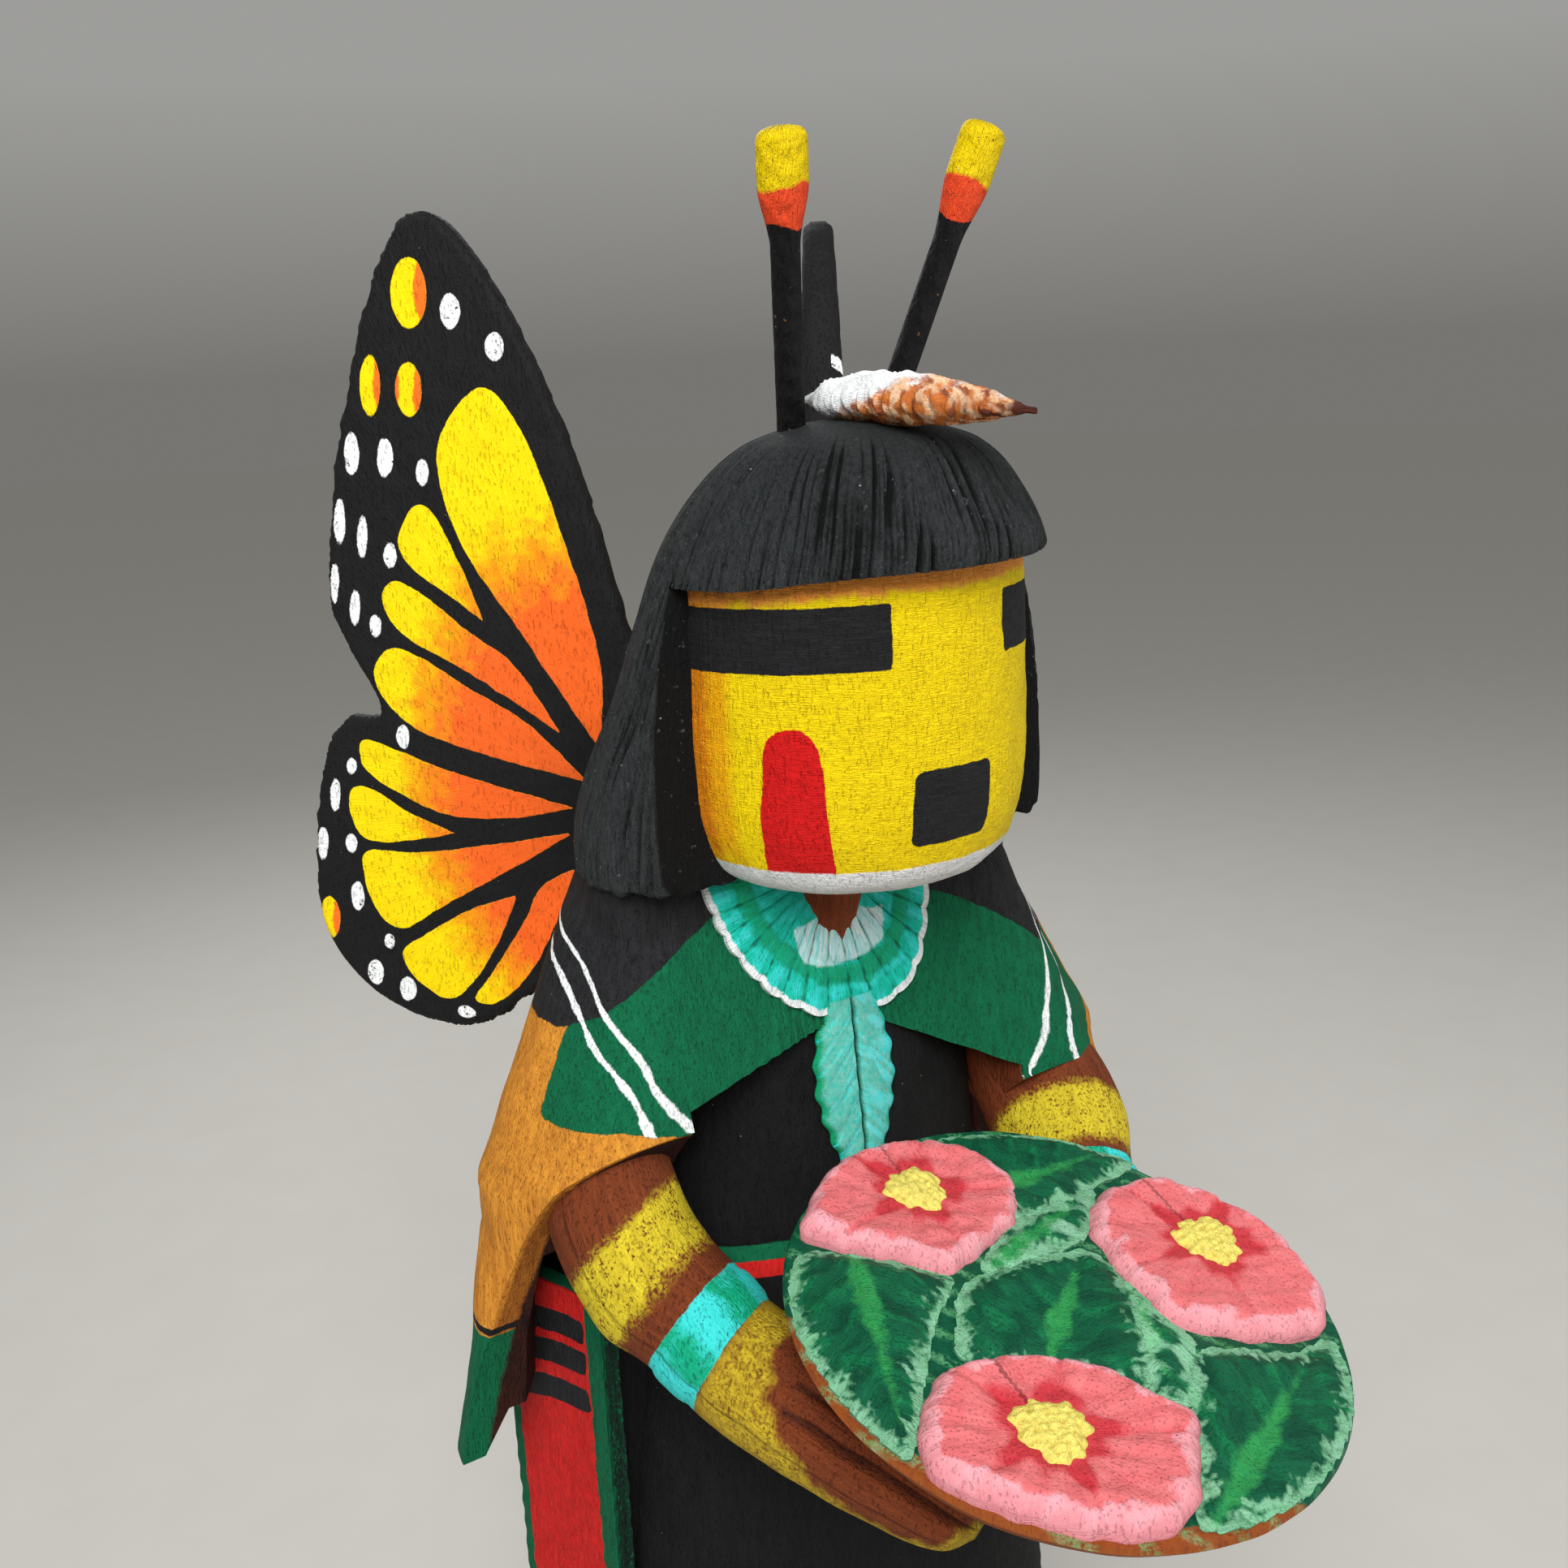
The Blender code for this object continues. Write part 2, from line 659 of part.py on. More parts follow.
def antenna_rings(side, grow, start, end):
    """Rings of one antenna between two shares of its length, grown by a clearance."""
    base, top = (Vector(end_point) for end_point in ANTENNA_ENDS[side])
    direction = (top - base).normalized()
    broad = (Vector((1, 0, 0)) - direction * direction.x).normalized()
    thin = direction.cross(broad)
    shares = [start, ANTENNA_STEM_END * 0.5, ANTENNA_STEM_END, 0.8, 0.88, 0.95, 0.985, 1.0]
    rings = []
    for t in [s for s in shares if start <= s <= end]:
        wide = tip_share(t)
        half = ANTENNA_STEM[0] + (ANTENNA_TIP[0] - ANTENNA_STEM[0]) * wide
        deep = ANTENNA_STEM[1] + (ANTENNA_TIP[1] - ANTENNA_STEM[1]) * wide
        closing = math.sqrt(max(0.06, 1 - max(0.0, (t - 0.93) / 0.07) ** 2))
        rings.append([
            base.lerp(top, t)
            + broad * (half * closing + grow) * math.cos(math.tau * i / ANTENNA_SIDES)
            + thin * (deep * closing + grow) * math.sin(math.tau * i / ANTENNA_SIDES)
            for i in range(ANTENNA_SIDES)
        ])
    return rings


def tip_share(t):
    """How far the antenna has widened from stem to paddle."""
    return min(max((t - ANTENNA_STEM_END) / ANTENNA_FLARE, 0.0), 1.0)


def make_figure(collection, cutters, material):
    """The carved root: head, body, cape, arms, dress, sash and feet."""
    figure = make_hair(collection, material)
    reach = 40
    face = block(
        "face opening", (-reach, HEAD_Y - 60, 150), (reach, HAIR_FRONT_Y, BANGS_Z), cutters
    )
    combine(figure, face, "DIFFERENCE")
    parts = [make_mask(cutters, cutters), make_neck(cutters), make_dress(cutters)]
    parts.append(make_cape(cutters, cutters))
    parts.append(make_arm("arm right", NEAR_ARM, NEAR_TIPS, cutters))
    parts.append(make_arm("arm left", FAR_ARM, FAR_TIPS, cutters))
    parts += [make_necklace(cutters), make_pendant(cutters), make_belt(cutters)]
    parts.append(make_sash(cutters))
    for side in (-1, 1):
        parts += [make_leg(side, cutters), make_foot(side, cutters)]
    for part in parts:
        combine(figure, part, "UNION")
    seats = [make_feather("feather seat", GAP, cutters), make_bowl("plaque seat", GAP, cutters)]
    for side in (-1, 1):
        rings = antenna_rings(side, GAP, 0.0, ANTENNA_STEM_END)
        direction = (rings[1][0] - rings[0][0]).normalized()
        rings[0] = [p - direction * GAP for p in rings[0]]
        seats.append(loft(f"antenna hole {side}", rings, cutters))
        seats.append(as_mesh(make_wing(f"wing slot {side}", side, GAP, cutters), cutters))
    for seat in seats:
        combine(figure, seat, "DIFFERENCE")
    return figure


def make_antenna(name, side, collection, material):
    """A paddle with a rounded tip."""
    return loft(name, antenna_rings(side, 0.0, 0.0, 1.0), collection, material)


def make_wing(name, side, grow, collection, material=None):
    """A flat board cut to the butterfly wing's outline, grown by a clearance."""
    outline = bpy.data.curves.new(name, "CURVE")
    outline.dimensions = "2D"
    outline.fill_mode = "BOTH"
    outline.extrude = (WING_THICK / 2 + grow) * MM
    outline.offset = grow * MM
    outline.resolution_u = 4
    line = outline.splines.new("BEZIER")
    line.bezier_points.add(len(WING_OUTLINE) - 1)
    for point, (out, z) in zip(line.bezier_points, WING_OUTLINE):
        point.co = (out * MM, z * MM, 0)
        point.handle_left_type = "AUTO"
        point.handle_right_type = "AUTO"
    line.use_cyclic_u = True
    wing = add_object(name, outline, collection, material)
    wing.location.y = WING_ORIGIN_Y * MM
    angle = WING_SWEEP if side > 0 else 180 - WING_SWEEP
    wing.rotation_euler = (math.radians(90), 0, math.radians(angle))
    return wing


def as_mesh(thing, collection):
    """Turn a curve object into a closed mesh object in the same place."""
    bpy.context.view_layer.update()
    graph = bpy.context.evaluated_depsgraph_get()
    mesh = bpy.data.meshes.new_from_object(thing.evaluated_get(graph))
    build = bmesh.new()
    build.from_mesh(mesh)
    bmesh.ops.remove_doubles(build, verts=build.verts, dist=0.00001)
    bmesh.ops.recalc_face_normals(build, faces=build.faces)
    build.to_mesh(mesh)
    build.free()
    made = add_object(thing.name + " board", mesh, collection)
    made.matrix_world = thing.matrix_world
    bpy.data.objects.remove(thing)
    return made


def make_feather(name, grow, collection, material=None):
    """The small feather lying forward on the crown, grown by a clearance."""
    root, tip = Vector(FEATHER_ROOT), Vector(FEATHER_TIP)
    direction = (tip - root).normalized()
    stations = []
    for t in (0.0, 0.08, 0.22, 0.4, 0.6, 0.8, 0.93, 1.0):
        swell = math.sin(math.pi * min(t * 0.9 + 0.12, 1.0)) ** 0.8
        centre = root.lerp(tip, t) + Vector((0, 0, FEATHER_LIFT * math.sin(math.pi * t)))
        stations.append((
            centre,
            max(FEATHER_HALF_WIDTH * swell, 0.4) + grow,
            max(FEATHER_HALF_HEIGHT * swell, 0.3) + grow,
            direction,
        ))
    return tube(name, stations, FEATHER_SIDES, collection, material)


def plaque_point(across, back, height):
    """A point on the plaque, which drops forward and to the figure's left."""
    drop, roll = math.radians(PLAQUE_DROP), math.radians(PLAQUE_ROLL)
    x = across * math.cos(roll) + height * math.sin(roll)
    up = height * math.cos(roll) - across * math.sin(roll)
    y = back * math.cos(drop) - up * math.sin(drop)
    z = back * math.sin(drop) + up * math.cos(drop)
    return (PLAQUE_CENTRE[0] + x, PLAQUE_CENTRE[1] + y, PLAQUE_CENTRE[2] + z)


def dome_height(across, back):
    """Height of the plaque's top over its rim."""
    share = min(math.hypot(across, back) / PLAQUE_RADIUS, 1.0)
    return PLAQUE_DOME * (1 - share ** 2)


def make_bowl(name, grow, collection, material=None):
    """The shallow bowl with its domed top, grown by a clearance."""
    rings = []
    profile = (
        (0.16, -1.0), (0.44, -0.93), (0.68, -0.74), (0.86, -0.46),
        (0.965, -0.18), (1.0, -0.05), (0.985, 0.02),
    )
    levels = [(share, PLAQUE_BOWL * depth) for share, depth in profile]
    levels += [(share, dome_height(PLAQUE_RADIUS * share, 0)) for share in (0.75, 0.4, 0.12)]
    for share, height in levels:
        r = PLAQUE_RADIUS * share + grow
        up = height + (grow if height > 0 else -grow)
        rings.append([
            plaque_point(r * math.sin(a), -r * math.cos(a), up)
            for a in (math.tau * i / PLAQUE_SIDES for i in range(PLAQUE_SIDES))
        ])
    return loft(name, rings, collection, material)


def make_leaf(number, base, tip, half_width, collection):
    """A low leaf, pointed at its tip, raised a little from the plaque."""
    length = math.dist(base, tip)
    run = ((tip[0] - base[0]) / length, (tip[1] - base[1]) / length)
    rings = []
    for share, height in ((1.0, -2.0), (1.0, LEAF_RISE * 0.4), (0.9, LEAF_RISE)):
        ring = []
        for i in range(LEAF_SIDES):
            angle = math.tau * i / LEAF_SIDES
            forward = length / 2 * (1 + share * math.cos(angle))
            wide = half_width * share * math.sin(angle) * (1 - 0.3 * math.cos(angle))
            x = base[0] + run[0] * forward - run[1] * wide
            y = base[1] + run[1] * forward + run[0] * wide
            limit = PLAQUE_RADIUS * (1.0 + LEAF_OVERHANG) * (0.04 * share + 0.96)
            squeeze = min(1.0, limit / math.hypot(x, y))
            x, y = x * squeeze, y * squeeze
            ring.append(plaque_point(x, y, height + dome_height(x, y)))
        rings.append(ring)
    return loft(f"leaf {number}", rings, collection)


def make_plaque(collection, cutters, material):
    """A shallow bowl of wood whose top carries raised leaves and three flowers."""
    plaque = make_bowl("flower_plaque", 0.0, collection, material)
    for number, (base_x, base_y, tip_x, tip_y, half_width) in enumerate(LEAVES):
        leaf = make_leaf(number, (base_x, base_y), (tip_x, tip_y), half_width, cutters)
        combine(plaque, leaf, "UNION")
    for number, (across, back, radius, rim) in enumerate(FLOWERS):
        combine(plaque, make_flower(number, across, back, radius, rim, cutters), "UNION")
    return plaque


def make_flower(number, across, back, radius, rim, collection):
    """A five-petalled flower with a dished top and a low button."""
    sides = PETALS * 6
    rings = []
    levels = ((0.94, -2.0), (1.0, 0.6), (0.9, rim), (0.34, rim - 0.6), (0.3, rim + 0.3))
    for share, height in levels:
        ring = []
        for i in range(sides):
            angle = math.tau * i / sides
            lobed = 1 - PETAL_NOTCH * (1 - abs(math.sin(angle * PETALS / 2 + number)))
            r = radius * share * (lobed if share > 0.5 else 1.0)
            x, y = across + r * math.sin(angle), back - r * math.cos(angle)
            ring.append(plaque_point(x, y, height + dome_height(across, back) * 0.8))
        rings.append(ring)
    return loft(f"flower {number}", rings, collection)


def make_base(collection, material):
    """The round slab under the feet."""
    bpy.ops.mesh.primitive_cylinder_add(
        vertices=BASE_SIDES, radius=BASE_RADIUS * MM, depth=BASE_HEIGHT * MM
    )
    base = bpy.context.object
    base.name = "base"
    base.data.name = "base"
    base.location.z = BASE_HEIGHT / 2 * MM
    base.data.materials.append(material)
    move_to(base, collection)
    rounding = base.modifiers.new("rounded rim", "BEVEL")
    rounding.width = BASE_BEVEL * MM
    rounding.segments = 2
    rounding.limit_method = "ANGLE"
    rounding.angle_limit = math.radians(40)
    return base


def main():
    """Build the doll, piece by piece."""
    clear_scene()
    doll = new_collection("kachina doll")
    cutters = new_collection("shaping solids")
    make_figure(doll, cutters, painted("painted root", BLACK, 0.8))
    wing_paint = painted("wing paint", WING_ORANGE, 0.7)
    antenna_paint = painted("antenna paint", BLACK, 0.8)
    for side, hand in ((-1, "right"), (1, "left")):
        make_wing(f"wing_{hand}", side, 0.0, doll, wing_paint)
        make_antenna(f"antenna_{hand}", side, doll, antenna_paint)
    make_feather("crown_feather", 0.0, doll, painted("feather paint", FEATHER_WHITE, 0.8))
    make_plaque(doll, cutters, painted("plaque paint", PINK, 0.7))
    make_base(doll, painted("base wood", WOOD, 0.7))


if __name__ == "__main__":
    main()
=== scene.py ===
"""Looks of a painted, carved kachina doll with butterfly wings and a plaque of flowers.

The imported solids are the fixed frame. Every piece here is a finer skin that stands for one
of them. Sizes are millimetres, and paint follows distance fields kept at the points of each
skin, negative inside the painted shape.
"""

import logging
import math
from collections.abc import Sequence
from dataclasses import dataclass, field, replace
from enum import Enum

import bmesh
import bpy
import numpy as np
from mathutils import Matrix, Vector
from mathutils.geometry import delaunay_2d_cdt


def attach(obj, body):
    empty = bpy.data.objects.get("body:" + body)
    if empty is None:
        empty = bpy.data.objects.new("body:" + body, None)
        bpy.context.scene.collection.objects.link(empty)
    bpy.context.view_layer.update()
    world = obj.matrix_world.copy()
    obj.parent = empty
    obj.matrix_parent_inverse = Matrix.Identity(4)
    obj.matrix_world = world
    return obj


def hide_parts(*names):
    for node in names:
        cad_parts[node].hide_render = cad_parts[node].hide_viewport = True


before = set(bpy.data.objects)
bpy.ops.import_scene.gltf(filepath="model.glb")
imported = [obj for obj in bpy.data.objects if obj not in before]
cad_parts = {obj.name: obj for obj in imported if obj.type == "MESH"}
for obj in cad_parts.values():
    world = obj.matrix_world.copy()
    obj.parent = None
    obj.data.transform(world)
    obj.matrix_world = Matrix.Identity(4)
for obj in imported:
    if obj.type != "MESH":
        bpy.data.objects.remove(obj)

LOG = logging.getLogger("kachina")
MM = 0.001
# A distance at which no paint shows, in millimetres
FAR = 9.0
Array = np.ndarray
Pair = tuple[float, float]
Triple = tuple[float, float, float]
Outline = tuple[Pair, ...]
Rows = tuple[tuple[float, ...], ...]
Faces = list[tuple[int, ...]]
Socket = bpy.types.NodeSocket


class Tint(Enum):
    """Paints and woods of the doll as daylight shows them, in sRGB steps of 255."""

    SOOT = (25, 25, 27)
    SOOT_WORN = (47, 48, 51)
    CHARCOAL = (44, 47, 48)
    ASH = (80, 84, 86)
    PITCH = (12, 12, 13)
    YELLOW = (252, 224, 0)
    YELLOW_DEEP = (238, 192, 0)
    AMBER = (246, 150, 14)
    PEACH = (248, 160, 74)
    EMBER = (252, 104, 38)
    CORAL = (250, 82, 46)
    EMBER_DEEP = (240, 76, 20)
    RED = (226, 24, 24)
    BRICK = (222, 38, 34)
    BRICK_DEEP = (172, 18, 20)
    RED_DEEP = (180, 10, 14)
    WHITE = (250, 252, 252)
    WHITE_DULL = (206, 214, 216)
    GREEN = (4, 104, 66)
    GREEN_DEEP = (2, 74, 50)
    GREEN_BRIGHT = (16, 146, 84)
    TURQUOISE = (26, 206, 190)
    TURQUOISE_DEEP = (6, 172, 136)
    SKY = (70, 220, 220)
    OCHRE = (220, 148, 50)
    OCHRE_DEEP = (152, 84, 26)
    SKIN = (126, 60, 28)
    SKIN_DEEP = (76, 30, 15)
    BURNT = (206, 98, 18)
    MUSTARD = (204, 176, 40)
    MUSTARD_DEEP = (138, 104, 26)
    POLLEN = (222, 202, 46)
    POLLEN_DEEP = (166, 136, 26)
    PETAL = (222, 120, 122)
    PETAL_DEEP = (204, 78, 86)
    PETAL_PALE = (228, 166, 176)
    ROSE = (184, 28, 42)
    PISTIL = (246, 234, 122)
    PISTIL_DEEP = (216, 190, 80)
    LEAF = (8, 96, 62)
    LEAF_DEEP = (2, 66, 46)
    LEAF_BRIGHT = (58, 158, 78)
    MINT = (150, 206, 172)
    RUST = (206, 108, 56)
    RUST_DEEP = (104, 52, 38)
    CREAM = (240, 206, 172)
    COTTONWOOD = (196, 156, 104)
    COTTONWOOD_DEEP = (150, 108, 64)
    FLOOR = (184, 182, 176)
    FLOOR_WORN = (190, 188, 183)

    @property
    def linear(self) -> tuple[float, float, float, float]:
        """The colour as linear light, with full cover."""
        parts = [c / 255 for c in self.value]
        return (*[p / 12.92 if p < 0.04 else ((p + 0.055) / 1.055) ** 2.4 for p in parts], 1.0)


# Curves, distances and the gentle unevenness of carved wood


def curve_through(points: Sequence[Sequence[float]], steps: int, closed: bool = False) -> Array:
    """Draw a smooth curve through points.

    Args:
        points: places in two or three dimensions.
        steps: pieces between two neighbouring points.
        closed: whether the curve runs back to its first point.

    Returns:
        The points along the curve, one row each.
    """
    p = np.array(points, float)
    if closed:
        chain = np.vstack([p[-1:], p, p[:2]])
    else:
        chain = np.vstack([2 * p[:1] - p[1:2], p, 2 * p[-1:] - p[-2:-1]])
    t = (np.arange(steps) / steps)[:, None]
    runs = [
        0.5 * (2 * b + (c - a) * t + (2 * a - 5 * b + 4 * c - d) * t**2 + (3 * b - 3 * c + d - a) * t**3)
        for a, b, c, d in zip(chain, chain[1:], chain[2:], chain[3:])
    ]
    return np.vstack(runs if closed else [*runs, p[-1:]])


def side_distance(at: Array, path: Array) -> Array:
    """Measure how far places lie from a line of points, with a sign for the side.

    Args:
        at: places in the plane, one row each.
        path: the points of the line.

    Returns:
        One distance for each place, positive to the left of the line.
    """
    best = np.full(len(at), np.inf)
    signed = np.zeros(len(at))
    for a, b in zip(path, path[1:]):
        run, off = b - a, at - a
        t = np.clip(off @ run / max(run @ run, 1e-12), 0, 1)
        away = np.linalg.norm(off - t[:, None] * run, axis=1)
        nearer = away < best
        side = np.where(run[0] * off[:, 1] > run[1] * off[:, 0], 1.0, -1.0)
        signed = np.where(nearer, away * side, signed)
        best = np.minimum(best, away)
    return signed


def outline_distance(at: Array, outline: Array) -> Array:
    """Measure the distance to a closed outline.

    Args:
        at: places in the plane, one row each.
        outline: the corners in order.

    Returns:
        One distance for each place, negative inside.
    """
    loop = np.vstack([outline, outline[:1]])
    inside = np.zeros(len(at), bool)
    for a, b in zip(loop, loop[1:]):
        crosses = (a[1] > at[:, 1]) != (b[1] > at[:, 1])
        x = a[0] + (at[:, 1] - a[1]) * (b[0] - a[0]) / (b[1] - a[1] + 1e-12)
        inside ^= crosses & (at[:, 0] < x)
    away = np.abs(side_distance(at, loop))
    return np.where(inside, -away, away)


def corner_distance(a: Array, b: Array, corner: float) -> Array:
    """Join the distances to two edges, negative inside both, into one with a round corner."""
    a, b = a + corner, b + corner
    return np.hypot(np.maximum(a, 0), np.maximum(b, 0)) + np.minimum(np.maximum(a, b), 0) - corner


def span_distance(s: Array, low: float, high: float) -> Array:
    """Give the distance to the stretch from low to high, negative in it."""
    return np.abs(s - (low + high) / 2) - (high - low) / 2


def box_distance(x: Array, y: Array, half: Pair, corner: float = 0.0) -> Array:
    """Measure the distance to a level box round the origin, negative inside, from places across and up."""
    return corner_distance(np.abs(x) - half[0], np.abs(y) - half[1], corner)


def spot_distance(at: Array, centre: Pair, size: Pair, tilt: float = 0.0) -> Array:
    """Measure the distance to a small oval spot, in a form that stays smooth at its middle.

    Args:
        at: places in the plane.
        centre: middle of the spot.
        size: its width and height.
        tilt: turn in degrees.

    Returns:
        One distance for each place, negative inside.
    """
    turn = math.radians(tilt)
    dx, dy = at[:, 0] - centre[0], at[:, 1] - centre[1]
    a, b = size[0] / 2, size[1] / 2
    u = dx * math.cos(turn) + dy * math.sin(turn)
    v = dy * math.cos(turn) - dx * math.sin(turn)
    return ((u / a) ** 2 + (v / b) ** 2 - 1) * min(a, b) / 2


def ease(x: Array | float, low: float, high: float) -> Array:
    """Rise smoothly from 0 at low to 1 at high."""
    t = np.clip((x - low) / (high - low), 0, 1)
    return t * t * (3 - 2 * t)


def stacked(*columns: Array | float) -> Array:
    """Set columns side by side, with plain numbers stretched to their length."""
    return np.stack(np.broadcast_arrays(*columns), -1)


def waves(points: Array, size: float, seed: int) -> Array:
    """Make a smooth unevenness over places.

    Args:
        points: places, with their axes last.
        size: usual distance between two swells.
        seed: picks the pattern.

    Returns:
        One value for each place, mostly from -1 to 1.
    """
    rng = np.random.default_rng(seed)
    turns = rng.normal(size=(7, points.shape[-1]))
    turns *= (rng.uniform(0.6, 1.7, 7) * math.tau / size / np.linalg.norm(turns, axis=1))[:, None]
    return np.sin(points @ turns.T + rng.uniform(0, math.tau, 7)).sum(-1) * 0.27


def read_table(table: Array, row: Array, column: Array) -> Array:
    """Read a table between its entries.

    Args:
        table: values by row and column.
        row: where to read along the rows.
        column: where to read along the columns.

    Returns:
        One value for each place.
    """
    i = np.clip(row.astype(int), 0, table.shape[0] - 2)
    j = np.clip(column.astype(int), 0, table.shape[1] - 2)
    u, v = row - i, column - j
    low = table[i, j] * (1 - v) + table[i, j + 1] * v
    high = table[i + 1, j] * (1 - v) + table[i + 1, j + 1] * v
    return low * (1 - u) + high * u


def eased(rows: Sequence[Sequence[float]], z: float) -> tuple[float, ...]:
    """Read a table of rows at a height, with a smooth curve between rows, as the solids do.

    Args:
        rows: height first, then the values there.
        z: the height.

    Returns:
        The values at that height.
    """
    if z <= rows[0][0]:
        return tuple(rows[0][1:])
    for i in range(len(rows) - 1):
        low, high = rows[i], rows[i + 1]
        if z <= high[0]:
            before, after = rows[max(i - 1, 0)], rows[min(i + 2, len(rows) - 1)]
            span = high[0] - low[0]
            t = (z - low[0]) / span
            values = []
            for k in range(1, len(low)):
                start = span * (high[k] - before[k]) / max(high[0] - before[0], span)
                end = span * (after[k] - low[k]) / max(after[0] - low[0], span)
                h1 = 2 * t**3 - 3 * t**2 + 1
                h2 = t**3 - 2 * t**2 + t
                h3 = t**3 - t**2
                values.append(h1 * low[k] + h2 * start + (1 - h1) * high[k] + h3 * end)
            return tuple(values)
    return tuple(rows[-1][1:])


def spaced(rows: Sequence[Sequence[float]], steps: int) -> list[float]:
    """Space heights through a table, lowest first, closer together where its rows are closer."""
    places = np.linspace(0, len(rows) - 1, steps + 1)
    return list(np.interp(places, range(len(rows)), [row[0] for row in rows]))


def oval(angle: Array, half_width: float, front: float, back: float) -> Array:
    """Give the radius of an oval whose front and back reach differ, angle 0 being the front."""
    reach = np.where(np.cos(angle) > 0, front, back)
    return 1.0 / np.hypot(np.sin(angle) / half_width, np.cos(angle) / reach)


def around(sides: int) -> Array:
    """Angles evenly round a turn."""
    return np.arange(sides) * math.tau / sides


def level_ring(z: float, centre_y: float, radii: Array) -> Array:
    """Lay a level ring of points round the middle, from its reach at each angle, the front first."""
    angle = around(len(radii))
    return stacked(radii * np.sin(angle), centre_y - radii * np.cos(angle), z)


def put(name: str, data: bpy.types.ID) -> bpy.types.Object:
    """Put an object with that data into the scene.

    Args:
        name: the object's name.
        data: its mesh, camera or light.

    Returns:
        The object.
    """
    made = bpy.data.objects.new(name, data)
    bpy.context.scene.collection.objects.link(made)
    return made


@dataclass
class Skin:
    """A closed skin in millimetres, and the fields that its paint reads."""

    points: Array
    faces: Faces
    fields: dict[str, Array] = field(default_factory=dict)
    lay: Array | None = None
    net: tuple[int, int] = (0, 0)

    @classmethod
    def from_rings(cls, rings: Array) -> "Skin":
        """Join rings of equal length, and close both ends.

        Args:
            rings: points by ring, place in the ring, and axis.

        Returns:
            The skin, whose first points are the rings in order.
        """
        rows, sides, _ = rings.shape
        first = np.arange(rows - 1)[:, None] * sides
        here = np.arange(sides)[None, :]
        after = (here + 1) % sides
        quads = np.stack([first + here, first + after, first + sides + after, first + sides + here], -1)
        faces = [tuple(q) for q in quads.reshape(-1, 4).tolist()]
        low, high = rows * sides, rows * sides + 1
        last = (rows - 1) * sides
        faces += [(low, (i + 1) % sides, i) for i in range(sides)]
        faces += [(high, last + i, last + (i + 1) % sides) for i in range(sides)]
        ends = np.stack([rings[0].mean(0), rings[-1].mean(0)])
        return cls(np.vstack([rings.reshape(-1, 3), ends]), faces, net=(rows, sides)).outward()

    def outward(self) -> "Skin":
        """Turn the faces to face out of the volume that they close.

        Returns:
            The skin itself.
        """
        volume = 0.0
        for count in {len(face) for face in self.faces}:
            loops = self.points[np.array([face for face in self.faces if len(face) == count])]
            for i in range(1, count - 1):
                volume += float((loops[:, 0] * np.cross(loops[:, i], loops[:, i + 1])).sum())
        if volume < 0:
            self.faces = [tuple(reversed(face)) for face in self.faces]
        return self

    def spread(self, **fields: Array) -> None:
        """Keep the paint's fields on a skin made from rings.

        Args:
            fields: by name, their values by ring and place, or what stretches to that.
        """
        for name, values in fields.items():
            net = np.broadcast_to(values, self.net)
            self.fields[name] = np.append(net.ravel(), [net[0].mean(), net[-1].mean()])

    def lay_along(self, *ways: Array | float) -> None:
        """Set how the brush runs, from lengths along the stroke, across it and through the skin."""
        lay = stacked(*ways).reshape(-1, 3)
        self.lay = np.vstack([lay, np.zeros((len(self.points) - len(lay), 3))])

    def to_mesh(self, name: str) -> bpy.types.Mesh:
        """Write the skin as a Blender mesh in metres.

        Args:
            name: the mesh's name.

        Returns:
            The mesh, smooth shaded, with its fields as attributes.
        """
        mesh = bpy.data.meshes.new(name)
        mesh.from_pydata((self.points * MM).tolist(), [], self.faces)
        for key, values in self.fields.items():
            kept = mesh.attributes.new(key, "FLOAT", "POINT")
            kept.data.foreach_set("value", np.ascontiguousarray(values, np.float32))
        lay = self.points[:, [2, 0, 1]] if self.lay is None else self.lay
        kept = mesh.attributes.new("lay", "FLOAT_VECTOR", "POINT")
        kept.data.foreach_set("vector", np.ascontiguousarray(lay, np.float32).ravel())
        mesh.shade_smooth()
        return mesh

    def carved(self, cutters: Sequence["Skin"], longest: float) -> "Skin":
        """Cut other skins away, and divide the long edges that the cuts leave.

        Args:
            cutters: what is taken away.
            longest: edges longer than this are halved.

        Returns:
            The skin that is left.
        """
        whole = put("whole", self.to_mesh("whole"))
        tools = []
        for cutter in cutters:
            tool = put("tool", cutter.to_mesh("tool"))
            cut = whole.modifiers.new("cut", "BOOLEAN")
            cut.operation, cut.solver, cut.object = "DIFFERENCE", "EXACT", tool
            tools.append(tool)
        graph = bpy.context.evaluated_depsgraph_get()
        build = bmesh.new()
        build.from_mesh(whole.evaluated_get(graph).to_mesh())
        for thing in [whole, *tools]:
            bpy.data.objects.remove(thing)
        for _ in range(8):
            bmesh.ops.triangulate(build, faces=[f for f in build.faces if len(f.verts) > 4])
            long = [e for e in build.edges if e.calc_length() > longest * MM]
            if not long:
                break
            bmesh.ops.subdivide_edges(build, edges=long, cuts=1)
        bmesh.ops.triangulate(build, faces=[f for f in build.faces if len(f.verts) > 4])
        points = np.array([v.co for v in build.verts]) / MM
        build.verts.index_update()
        faces = [tuple(v.index for v in f.verts) for f in build.faces]
        build.free()
        return Skin(points, faces)


